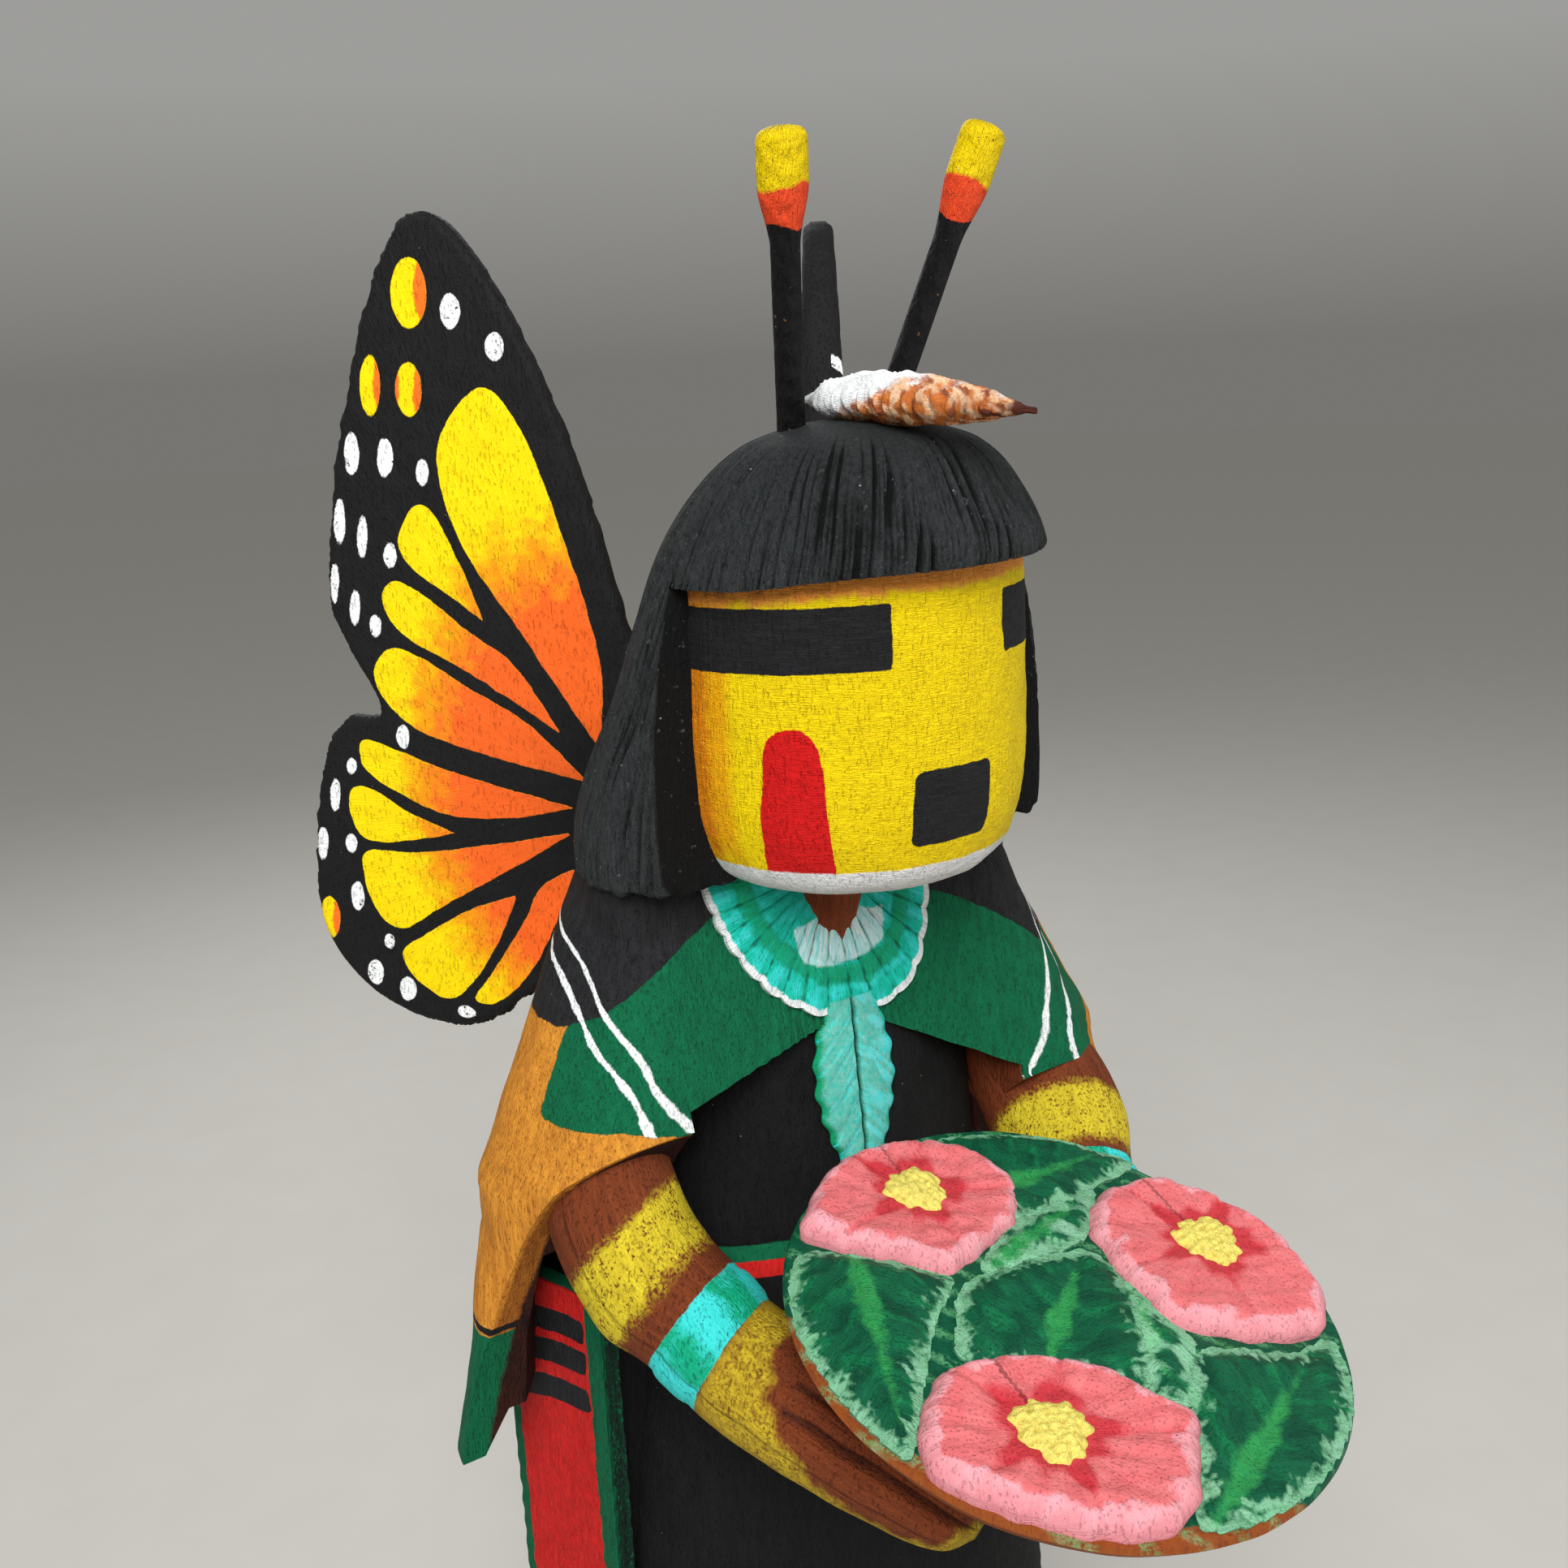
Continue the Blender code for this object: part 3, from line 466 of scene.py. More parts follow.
def filled_outline(outline: Array, spacing: float) -> tuple[Array, Faces]:
    """Fill a closed outline with an even net of triangles.

    Args:
        outline: its corners in order.
        spacing: distance between points inside.

    Returns:
        The places, the outline first, and the triangles.
    """
    low, high = outline.min(0), outline.max(0)
    rows = np.arange(low[1], high[1], spacing * 0.866)
    cols = np.arange(low[0], high[0], spacing)
    grid = np.array([(x + spacing / 2 * (k % 2), y) for k, y in enumerate(rows) for x in cols])
    grid = grid[outline_distance(grid, outline) < -0.55 * spacing]
    places = [Vector(p) for p in np.vstack([outline, grid])]
    count = len(outline)
    rim = [(i, (i + 1) % count) for i in range(count)]
    made = delaunay_2d_cdt(places, rim, [], 1, 1e-6)
    return np.array(made[0]), [tuple(f) for f in made[2]]


# Finishes: shader groups that several paints share, and the paint itself


class NodeSheet:
    """Adds nodes to one tree and links them."""

    def __init__(self, tree: bpy.types.NodeTree) -> None:
        """Start on a tree."""
        self.tree = tree

    def feed(self, socket: Socket, value: object) -> None:
        """Link a socket's value, or set it.

        Args:
            socket: the input.
            value: another node's output, a number or a colour.
        """
        if isinstance(value, Socket):
            self.tree.links.new(value, socket)
        else:
            socket.default_value = value

    def add(self, kind: str, inputs: dict[str | int, object], **settings: object) -> bpy.types.Node:
        """Add a node.

        Args:
            kind: its type after the word ShaderNode.
            inputs: values or outputs for its inputs.
            settings: its own properties.

        Returns:
            The node.
        """
        node = self.tree.nodes.new("ShaderNode" + kind)
        for key, value in settings.items():
            setattr(node, key, value)
        for key, value in inputs.items():
            self.feed(node.inputs[key], value)
        return node

    def math(self, operation: str, a: object, b: object = 0.0) -> Socket:
        """Work out a number with the named operation."""
        return self.add("Math", {0: a, 1: b}, operation=operation).outputs[0]

    def plus(self, a: object, b: object) -> Socket:
        """Add two numbers."""
        return self.math("ADD", a, b)

    def minus(self, a: object, b: object) -> Socket:
        """Take the second number from the first."""
        return self.math("SUBTRACT", a, b)

    def times(self, a: object, b: object) -> Socket:
        """Multiply two numbers."""
        return self.math("MULTIPLY", a, b)

    def blend(self, share: object, first: object, second: object) -> Socket:
        """Mix two colours.

        Args:
            share: how much of the second.
            first: colour at 0.
            second: colour at 1.

        Returns:
            The mixed colour.
        """
        node = self.add("Mix", {}, data_type="RGBA")
        for socket, value in zip([node.inputs[0], node.inputs[6], node.inputs[7]], (share, first, second)):
            self.feed(socket, value)
        return node.outputs[2]

    def between(self, value: object, low: object, high: object) -> Socket:
        """Turn a value into 0 at low and 1 at high, held there beyond them."""
        return self.add("MapRange", {"Value": value, "From Min": low, "From Max": high}).outputs[0]

    def noise(self, place: object, scale: float, detail: float = 2.0) -> Socket:
        """Make a soft random value from 0 to 1, with so many swells for each unit."""
        return self.add("TexNoise", {"Vector": place, "Scale": scale, "Detail": detail}).outputs[0]

    def stretched(self, place: object, scale: Triple) -> Socket:
        """Scale a place along its axes."""
        return self.add("VectorMath", {0: place, 1: scale}, operation="MULTIPLY").outputs[0]

    def reading(self, name: str, output: str = "Fac") -> Socket:
        """Read a field kept at the points of the skin."""
        return self.add("Attribute", {}, attribute_name=name).outputs[output]

    def place(self) -> Socket:
        """Where on the piece, in millimetres."""
        return self.stretched(self.add("TexCoord", {}).outputs["Object"], (1 / MM,) * 3)

    def bump(self, shader: bpy.types.Node, height: Socket) -> None:
        """Raise a shader's surface by a height in millimetres."""
        made = self.add("Bump", {"Strength": 1.0, "Distance": MM, "Height": height})
        self.feed(shader.inputs["Normal"], made.outputs[0])

    def effect(self, effect: "Effect", inputs: dict[str, object]) -> bpy.types.Node:
        """Place a shared group.

        Args:
            effect: which group.
            inputs: its values.

        Returns:
            The group's node.
        """
        node = self.tree.nodes.new("ShaderNodeGroup")
        node.node_tree = effect.group()
        for key, value in inputs.items():
            self.feed(node.inputs[key], value)
        return node


def new_finish(name: str) -> tuple[bpy.types.Material, NodeSheet, bpy.types.Node]:
    """Start a material.

    Args:
        name: its name.

    Returns:
        The material, its sheet of nodes and its shader.
    """
    made = bpy.data.materials.new(name)
    made.use_nodes = True
    return made, NodeSheet(made.node_tree), made.node_tree.nodes["Principled BSDF"]


class Effect(Enum):
    """Shader groups that the finishes share."""

    PAINT_EDGE = "paint edge"
    BRUSH = "brush strokes"
    FIBRE = "wood fibre"
    POWDER = "powdery cover"
    NICKS = "nicks and dust"

    def group(self) -> bpy.types.NodeTree:
        """Build the group the first time that it is asked for, and return it."""
        kept = bpy.data.node_groups.get(self.value)
        return kept if kept else getattr(EffectBuilder(self.value), self.name.lower())()


class EffectBuilder:
    """Builds one shared shader group."""

    def __init__(self, name: str) -> None:
        """Start an empty group.

        Args:
            name: the group's name.
        """
        self.tree = bpy.data.node_groups.new(name, "ShaderNodeTree")
        self.sheet = NodeSheet(self.tree)
        self.source = self.tree.nodes.new("NodeGroupInput")
        self.sink = self.tree.nodes.new("NodeGroupOutput")

    def sockets(self, inputs: Sequence[str], outputs: Sequence[str]) -> dict[str, Socket]:
        """Name the group's sockets.

        Args:
            inputs: names, where Place is a vector and the rest are numbers.
            outputs: names of the numbers that it puts out.

        Returns:
            The inputs as the nodes inside read them.
        """
        for name in inputs:
            kind = "NodeSocketVector" if name == "Place" else "NodeSocketFloat"
            self.tree.interface.new_socket(name=name, in_out="INPUT", socket_type=kind)
        for name in outputs:
            self.tree.interface.new_socket(name=name, in_out="OUTPUT", socket_type="NodeSocketFloat")
        return {name: self.source.outputs[name] for name in inputs}

    def close(self, **results: Socket) -> bpy.types.NodeTree:
        """Link the results.

        Args:
            results: what the group puts out, by name.

        Returns:
            The finished group.
        """
        for name, socket in results.items():
            self.tree.links.new(socket, self.sink.inputs[name])
        return self.tree

    def paint_edge(self) -> bpy.types.NodeTree:
        """Mask of a painted shape, from its distance, with a hand's wobble at the edge.

        Returns:
            The group.
        """
        s, n = self.sockets(("Distance", "Place", "Wobble", "Soft"), ("Mask",)), self.sheet
        slow = n.minus(n.noise(s["Place"], 0.55, 1.0), 0.5)
        quick = n.minus(n.noise(s["Place"], 3.1, 2.0), 0.5)
        shift = n.times(n.plus(n.times(slow, 2.4), quick), s["Wobble"])
        bare = n.plus(s["Distance"], shift)
        return self.close(Mask=n.between(bare, s["Soft"], n.times(s["Soft"], -1.0)))

    def brush(self) -> bpy.types.NodeTree:
        """Streaks that a brush leaves along the first axis of the place.

        Returns:
            The group.
        """
        s, n = self.sockets(("Place", "Width"), ("Streak", "Height")), self.sheet
        rate = n.math("DIVIDE", 1.0, s["Width"])
        scaled = n.add("VectorMath", {0: s["Place"], "Scale": rate}, operation="SCALE").outputs[0]
        broad = n.noise(n.stretched(scaled, (0.12, 1.0, 1.0)), 0.8, 3.0)
        fine = n.noise(n.stretched(scaled, (0.16, 2.6, 2.6)), 1.5, 2.0)
        both = n.plus(n.times(broad, 0.65), n.times(fine, 0.35))
        return self.close(Streak=n.between(both, 0.34, 0.66), Height=fine)

    def fibre(self) -> bpy.types.NodeTree:
        """Upright fibre of the root wood, with a fine tooth over it.

        Returns:
            The group.
        """
        s, n = self.sockets(("Place",), ("Height", "Tone", "Pits")), self.sheet
        fibre = n.noise(n.stretched(s["Place"], (2.4, 2.4, 0.16)), 1.0, 3.0)
        tooth = n.noise(s["Place"], 5.5, 3.0)
        pores = n.between(n.noise(n.stretched(s["Place"], (1.7, 1.7, 0.5)), 2.0, 1.0), 0.3, 0.4)
        height = n.plus(n.times(fibre, 0.6), n.times(tooth, 0.4))
        height = n.plus(height, n.times(pores, 0.35))
        return self.close(Height=height, Tone=tooth, Pits=n.minus(1.0, pores))

    def powder(self) -> bpy.types.NodeTree:
        """Break a mask into grains, as of dry colour rubbed over wood.

        Returns:
            The group.
        """
        s, n = self.sockets(("Place", "Mask", "Amount"), ("Mask",)), self.sheet
        grains = n.noise(s["Place"], 2.6, 3.0)
        clumps = n.noise(s["Place"], 0.7, 1.0)
        level = n.plus(n.times(grains, 0.7), n.times(clumps, 0.3))
        need = n.plus(n.times(s["Amount"], 0.4), 0.3)
        shown = n.between(level, n.minus(need, 0.05), n.plus(need, 0.05))
        return self.close(Mask=n.times(s["Mask"], shown))

    def nicks(self) -> bpy.types.NodeTree:
        """Small bare nicks, and specks of dust.

        Returns:
            The group.
        """
        s, n = self.sockets(("Place", "Share"), ("Nicks", "Dust")), self.sheet
        level = n.minus(0.84, n.times(s["Share"], 0.16))
        nicks = n.between(n.noise(s["Place"], 1.5, 3.0), level, n.plus(level, 0.02))
        cells = n.add("TexVoronoi", {"Vector": s["Place"], "Scale": 0.42}).outputs[0]
        size = n.times(s["Share"], 0.055)
        dust = n.between(cells, size, n.times(size, 0.6))
        return self.close(Nicks=nicks, Dust=dust)


@dataclass(frozen=True)
class Coat:
    """One painted shape, laid over what is below it.

    A coat with a half width is a line along the middle of its shape's field. A limit is a
    second field that the coat stays inside, and within is an earlier coat that it lies on.
    """

    shape: str
    colour: Tint
    streak: Tint | None = None
    wobble: float = 0.2
    soft: float = 0.05
    cover: float = 1.0
    powder: float = 0.0
    half: float = 0.0
    limit: str = ""
    within: str = ""


@dataclass(frozen=True)
class Paint:
    """Painted wood: a ground colour, the coats on it, and how its surface is worked."""

    name: str
    ground: Tint
    streak: Tint
    coats: tuple[Coat, ...] = ()
    stroke: float = 0.5
    roughness: float = 0.72
    relief: float = 0.05
    fibre: float = 0.12
    coat_height: float = 0.5
    worn: float = 0.25
    nick: Tint = Tint.COTTONWOOD_DEEP
    streak_share: float = 0.6
    pits: float = 0.25

    def material(self) -> bpy.types.Material:
        """Build the material the first time that it is asked for.

        Returns:
            The material.
        """
        kept = bpy.data.materials.get(self.name)
        if kept:
            return kept
        made, n, shader = new_finish(self.name)
        place = n.place()
        brush = n.effect(Effect.BRUSH, {"Place": n.reading("lay", "Vector"), "Width": self.stroke})
        fibre = n.effect(Effect.FIBRE, {"Place": place})
        nicks = n.effect(Effect.NICKS, {"Place": place, "Share": self.worn})
        streak = n.times(brush.outputs["Streak"], self.streak_share)
        colour = n.blend(streak, self.ground.linear, self.streak.linear)
        height = n.times(brush.outputs["Height"], self.relief)
        height = n.plus(height, n.times(fibre.outputs["Height"], self.fibre))
        masks: dict[str, Socket] = {}
        for coat in self.coats:
            mask = self.mask(n, coat, place, masks)
            second = (coat.streak or coat.colour).linear
            own = n.blend(streak, coat.colour.linear, second) if coat.streak else coat.colour.linear
            colour = n.blend(mask, colour, own)
            height = n.plus(height, n.times(mask, self.coat_height * 0.1))
        pits = n.times(fibre.outputs["Pits"], self.pits)
        colour = n.blend(pits, colour, n.blend(0.75, colour, Tint.PITCH.linear))
        colour = n.blend(nicks.outputs["Nicks"], colour, self.nick.linear)
        colour = n.blend(n.times(nicks.outputs["Dust"], 0.6), colour, Tint.WHITE_DULL.linear)
        n.feed(shader.inputs["Base Color"], colour)
        rough = n.plus(n.times(fibre.outputs["Tone"], 0.2), self.roughness - 0.1)
        n.feed(shader.inputs["Roughness"], rough)
        shader.inputs["Specular IOR Level"].default_value = 0.16
        n.bump(shader, height)
        made.diffuse_color = self.ground.linear
        return made

    def mask(
        self,
        n: NodeSheet,
        coat: Coat,
        place: Socket,
        masks: dict[str, Socket],
    ) -> Socket:
        """Work out where a coat shows.

        Args:
            n: the sheet.
            coat: the coat.
            place: where on the piece, in millimetres.
            masks: masks of the coats before it, by shape, which this one joins.

        Returns:
            The mask, from 0 to 1.
        """
        if coat.shape in masks:
            mask = masks[coat.shape]
        else:
            away = n.reading(coat.shape)
            if coat.half:
                away = n.minus(n.math("ABSOLUTE", away), coat.half)
            if coat.limit:
                away = n.math("MAXIMUM", away, n.reading(coat.limit))
            values = {"Distance": away, "Place": place, "Wobble": coat.wobble, "Soft": coat.soft}
            mask = n.effect(Effect.PAINT_EDGE, values).outputs[0]
        if coat.within:
            mask = n.times(mask, masks[coat.within])
        masks[coat.shape] = mask
        if coat.powder:
            values = {"Place": place, "Mask": mask, "Amount": coat.powder}
            mask = n.effect(Effect.POWDER, values).outputs[0]
        return n.times(mask, coat.cover) if coat.cover < 1 else mask


# The finishes, each with its coats in the order that they go on

HAIR_PAINT = Paint("hair paint", Tint.CHARCOAL, Tint.ASH, (
    # Painted shade: near-black in the deep grooves and on the cut front faces of the hair
    Coat("groove", Tint.PITCH, soft=0.2, cover=0.92),
), stroke=0.3, roughness=0.82, relief=0.6, fibre=0.8, worn=1.0, nick=Tint.ASH, coat_height=0.0)

MASK_PAINT = Paint("mask paint", Tint.YELLOW, Tint.YELLOW_DEEP, (
    Coat("temple", Tint.AMBER, Tint.YELLOW_DEEP, wobble=0.5, soft=0.9, cover=0.8),
    # Painted shade: deep orange-brown on the mask's sides beside the hair, where its shadow falls
    Coat("rub", Tint.BURNT, Tint.AMBER, wobble=0.8, soft=0.7, cover=0.75, powder=0.2),
    Coat("brow", Tint.PEACH, Tint.AMBER, wobble=0.8, soft=0.4),
    # Painted shade: brown right under the bangs' edge towards the sides of the mask
    Coat("brow_top", Tint.SKIN, Tint.PEACH, wobble=0.9, soft=0.4, cover=0.8, powder=0.3),
    Coat("eyes", Tint.SOOT, Tint.SOOT_WORN, wobble=0.12),
    Coat("mouth", Tint.SOOT, Tint.SOOT_WORN, wobble=0.14),
    Coat("cheeks", Tint.RED, Tint.RED_DEEP, wobble=0.22),
    Coat("chin", Tint.WHITE, Tint.WHITE_DULL, wobble=0.14, soft=0.12),
), stroke=0.36, roughness=0.6, relief=0.36, fibre=0.5, worn=0.1, streak_share=0.5, pits=0.06)

BIB_PAINT = Paint("bib paint", Tint.TURQUOISE, Tint.TURQUOISE_DEEP, (
    Coat("outer", Tint.TURQUOISE, Tint.TURQUOISE_DEEP, wobble=0.5, soft=0.3),
    # Painted highlight: lighter sky blue on the swelling middles of the scallops
    Coat("gloss", Tint.SKY, Tint.TURQUOISE, wobble=0.9, soft=0.4, cover=0.85, powder=0.2),
    Coat("band", Tint.TURQUOISE_DEEP, Tint.GREEN_BRIGHT, wobble=0.8, soft=0.25, cover=0.9),
    Coat("shell", Tint.WHITE, Tint.SKY, wobble=0.35, soft=0.2),
    # Painted shade: dark green in the creases between the scallops
    Coat("crease", Tint.GREEN_DEEP, soft=0.18, cover=0.75),
    Coat("rim", Tint.WHITE, Tint.WHITE_DULL, wobble=0.35, soft=0.1, powder=0.1),
), stroke=0.5, roughness=0.7, relief=0.3, fibre=0.2, worn=0.1, streak_share=0.95)

PENDANT_PAINT = Paint("pendant paint", Tint.TURQUOISE, Tint.TURQUOISE_DEEP, (
    Coat("patches", Tint.GREEN_BRIGHT, Tint.TURQUOISE_DEEP, wobble=0.7, soft=0.3),
    # Painted highlight: lighter sky-blue patches, more of them on the figure's left half
    Coat("light", Tint.SKY, Tint.TURQUOISE, wobble=0.7, soft=0.35, cover=0.9),
    Coat("edge", Tint.SKY, Tint.WHITE_DULL, wobble=0.3, soft=0.3, cover=0.5),
    # Painted shade: a dark green line down the carved middle groove
    Coat("groove", Tint.GREEN_DEEP, wobble=0.12, soft=0.16, half=0.22),
    Coat("tip", Tint.WHITE, Tint.WHITE_DULL, wobble=0.5, soft=0.3),
), stroke=0.45, roughness=0.68, relief=0.2, fibre=0.1, worn=0.1)

CAPE_PAINT = Paint("cape paint", Tint.OCHRE, Tint.OCHRE_DEEP, (
    Coat("panel", Tint.GREEN, Tint.GREEN_DEEP),
    Coat("yoke", Tint.SOOT, Tint.SOOT_WORN),
    Coat("line_in", Tint.WHITE, Tint.WHITE_DULL, wobble=0.14, soft=0.06, half=0.23, limit="cloth"),
    Coat("line_out", Tint.WHITE, Tint.WHITE_DULL, wobble=0.26, soft=0.06, half=0.31, limit="cloth"),
    Coat("shade", Tint.OCHRE_DEEP, Tint.SKIN_DEEP, soft=0.25, cover=0.75),
    Coat("hem", Tint.GREEN, Tint.GREEN_DEEP),
    Coat("hem_line", Tint.SOOT, half=0.42),
    # Painted shade: near-black on the inner faces that the cuts open
    Coat("hollow", Tint.PITCH, Tint.SKIN_DEEP, wobble=0.3, soft=0.3),
    Coat("elbow", Tint.SKIN, Tint.SKIN_DEEP, wobble=0.4, soft=0.4),
), stroke=0.7, roughness=0.76, relief=0.2, fibre=0.36, worn=0.4, streak_share=0.65)

DRESS_PAINT = Paint("dress paint", Tint.PITCH, Tint.SOOT, (
    Coat("hem_green", Tint.GREEN, Tint.GREEN_DEEP, half=1.1),
    Coat("hem_red", Tint.BRICK, Tint.BRICK_DEEP, half=0.8),
), stroke=0.6, roughness=0.74, relief=0.1, fibre=0.34, worn=0.55, nick=Tint.SOOT_WORN)

SASH_PAINT = Paint("sash paint", Tint.GREEN, Tint.GREEN_DEEP, (
    Coat("red", Tint.BRICK, Tint.BRICK_DEEP, wobble=0.12),
    Coat("bars", Tint.SOOT, Tint.SOOT_WORN),
    Coat("edge", Tint.SOOT, Tint.GREEN_DEEP, wobble=0.35, soft=0.15, powder=0.3),
    Coat("fringe", Tint.WHITE_DULL, Tint.TURQUOISE_DEEP, cover=0.9),
), stroke=0.42, roughness=0.66, relief=0.4, fibre=0.2, worn=0.15)

ARM_PAINT = Paint("arm paint", Tint.SKIN, Tint.SKIN_DEEP, (
    Coat("band_haze", Tint.POLLEN_DEEP, Tint.POLLEN, wobble=0.9, soft=0.5, powder=0.5, cover=0.7),
    Coat("band", Tint.POLLEN, Tint.POLLEN_DEEP, wobble=0.7, soft=0.4, powder=0.26),
    Coat("hand", Tint.MUSTARD_DEEP, Tint.MUSTARD, wobble=0.3, soft=0.2, cover=0.9, powder=0.1),
    Coat("knuckles", Tint.MUSTARD, Tint.MUSTARD_DEEP, wobble=0.6, soft=0.5, powder=0.42, within="hand"),
    Coat("palm", Tint.SKIN, Tint.SKIN_DEEP, wobble=1.1, soft=0.7),
    # Painted shade: dark lines in the grooves between the fingers
    Coat("creases", Tint.PITCH, Tint.SKIN_DEEP, soft=0.3, cover=0.75),
    Coat("bracelet", Tint.SKY, Tint.TURQUOISE, wobble=0.25, soft=0.08),
    Coat("stones", Tint.TURQUOISE_DEEP, Tint.GREEN_BRIGHT, wobble=0.8, soft=0.4, within="bracelet"),
), stroke=0.6, roughness=0.7, relief=0.2, fibre=0.36, worn=0.35, nick=Tint.SKIN_DEEP, pits=0.4)

MOCCASIN_PAINT = Paint("moccasin paint", Tint.SKIN, Tint.OCHRE_DEEP, (
    Coat("sole", Tint.WHITE_DULL, Tint.CREAM),
    Coat("cuff", Tint.TURQUOISE_DEEP, Tint.GREEN),
), fibre=0.2)

WING_PAINT = Paint("wing paint", Tint.SOOT, Tint.PITCH, (
    Coat("cells", Tint.YELLOW, Tint.YELLOW_DEEP, wobble=0.14, soft=0.04),
    Coat("blush", Tint.AMBER, Tint.YELLOW_DEEP, wobble=3.0, soft=1.8, within="cells"),
    Coat("ember", Tint.EMBER, Tint.EMBER_DEEP, wobble=2.8, soft=2.4, within="cells", cover=0.94),
    Coat("gold", Tint.YELLOW, Tint.YELLOW_DEEP, wobble=0.1, soft=0.04),
    Coat("gold_blush", Tint.EMBER, Tint.AMBER, wobble=0.3, soft=0.12, within="gold"),
    Coat("white", Tint.WHITE, Tint.WHITE_DULL, wobble=0.16, soft=0.05, powder=0.2),
), stroke=0.5, roughness=0.66, relief=0.14, fibre=0.26, worn=0.4, nick=Tint.SOOT_WORN, streak_share=0.4)

FEATHER_PAINT = Paint("feather paint", Tint.WHITE, Tint.WHITE_DULL, (
    Coat("rust", Tint.RUST, Tint.OCHRE, wobble=0.9, soft=0.35),
    Coat("cream", Tint.CREAM, Tint.PEACH, wobble=1.2, soft=0.4, powder=0.2, within="rust"),
    Coat("bars", Tint.RUST_DEEP, Tint.RUST, wobble=0.7, soft=0.3, cover=0.85, within="rust"),
    Coat("tip", Tint.RUST_DEEP, wobble=0.6, soft=0.4),
), stroke=0.35, roughness=0.72, relief=0.3, fibre=0.16, worn=0.3, nick=Tint.WHITE_DULL, streak_share=0.5)

BOWL_PAINT = Paint("bowl paint", Tint.SKIN, Tint.OCHRE_DEEP, (
    # Painted shade: darker brown towards the bottom of the bowl's underside
    Coat("under", Tint.SKIN_DEEP, Tint.SKIN, wobble=1.2, soft=2.4, cover=0.7),
    Coat("top", Tint.LEAF_DEEP, Tint.LEAF, wobble=0.25, soft=0.12),
    Coat("vein", Tint.LEAF_BRIGHT, Tint.MINT, wobble=0.5, soft=0.3, cover=0.5, powder=0.4),
), stroke=0.9, roughness=0.5, relief=0.08, fibre=0.12, worn=0.2)

LEAF_PAINT = Paint("leaf paint", Tint.LEAF, Tint.LEAF_DEEP, (
    Coat("patch", Tint.GREEN_BRIGHT, Tint.LEAF, wobble=0.9, soft=0.6, cover=0.4, powder=0.3),
    Coat("veins", Tint.LEAF_DEEP, wobble=0.9, soft=0.5, cover=0.75),
    Coat("rib", Tint.LEAF_BRIGHT, Tint.GREEN_BRIGHT, wobble=0.7, soft=0.35, cover=0.75),
    Coat("edge", Tint.MINT, Tint.LEAF_BRIGHT, wobble=0.9, soft=0.4, cover=0.8, powder=0.1),
), stroke=0.75, roughness=0.6, relief=0.24, fibre=0.22, worn=0.12, nick=Tint.MINT)

PALE_LEAF_PAINT = replace(LEAF_PAINT, name="pale leaf paint", coats=(
    LEAF_PAINT.coats[0], replace(LEAF_PAINT.coats[1], colour=Tint.MINT), *LEAF_PAINT.coats[2:],
))

PETAL_PAINT = Paint("petal paint", Tint.PETAL, Tint.PETAL_DEEP, (
    Coat("blotch", Tint.PETAL_DEEP, Tint.PETAL, wobble=0.9, soft=0.7, cover=0.4),
    # Painted shade: darker rose in the creases between the petals
    Coat("creases", Tint.ROSE, Tint.PETAL_DEEP, wobble=0.3, soft=0.3, cover=0.6),
    Coat("star", Tint.ROSE, Tint.PETAL_DEEP, wobble=0.8, soft=0.6, cover=0.9),
    Coat("rim", Tint.PETAL_PALE, Tint.PETAL, wobble=1.1, soft=0.3, cover=0.85),
    Coat("foot", Tint.PETAL_DEEP, Tint.PETAL_PALE, wobble=1.2, soft=0.6, cover=0.4),
), stroke=1.1, roughness=0.6, relief=0.16, fibre=0.2, worn=0.15, nick=Tint.ROSE, streak_share=0.45)

FLOWER_EYE_PAINT = Paint("flower eye paint", Tint.PISTIL, Tint.PISTIL_DEEP, (
    Coat("hollows", Tint.PISTIL_DEEP, Tint.POLLEN_DEEP, wobble=0.3, soft=0.4, cover=0.8),
), stroke=0.4, roughness=0.66, relief=0.2, fibre=0.12, worn=0.4, nick=Tint.RUST)

ANTENNA_PAINT = Paint("antenna paint", Tint.SOOT, Tint.PITCH, (
    Coat("red", Tint.CORAL, Tint.EMBER_DEEP, wobble=0.25),
    Coat("yellow", Tint.YELLOW, Tint.YELLOW_DEEP, wobble=0.3, soft=0.2),
), stroke=0.34, roughness=0.62, relief=0.42, fibre=0.4, worn=0.9, pits=0.05)

SKIN_PAINT = Paint("bare wood stain", Tint.SKIN, Tint.SKIN_DEEP, stroke=0.6, relief=0.12, fibre=0.2, worn=0.3)

SOOT_PAINT = Paint("black root", Tint.PITCH, Tint.SOOT, stroke=0.6, relief=0.12, fibre=0.3, worn=0.3)


# The carved pieces


@dataclass
class Carving:
    """A sub-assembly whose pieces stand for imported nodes."""

    node: str = "carved_figure"
    slot: str = "figure_paint"

    def show(self, name: str, skin: Skin, paint: Paint, sharp: float = 50.0) -> None:
        """Make a piece of a skin, dress it, and let it ride.

        Args:
            name: the piece's name.
            skin: its shape.
            paint: its finish.
            sharp: faces that meet at more than this angle keep a crisp edge.
        """
        mesh = skin.to_mesh(name)
        mesh.set_sharp_from_angle(angle=math.radians(sharp))
        mesh.materials.append(paint.material())
        piece = put(name, mesh)
        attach(piece, "root")
        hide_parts(self.node)
        LOG.info("%s: %d points, %d faces", name, len(mesh.vertices), len(mesh.polygons))


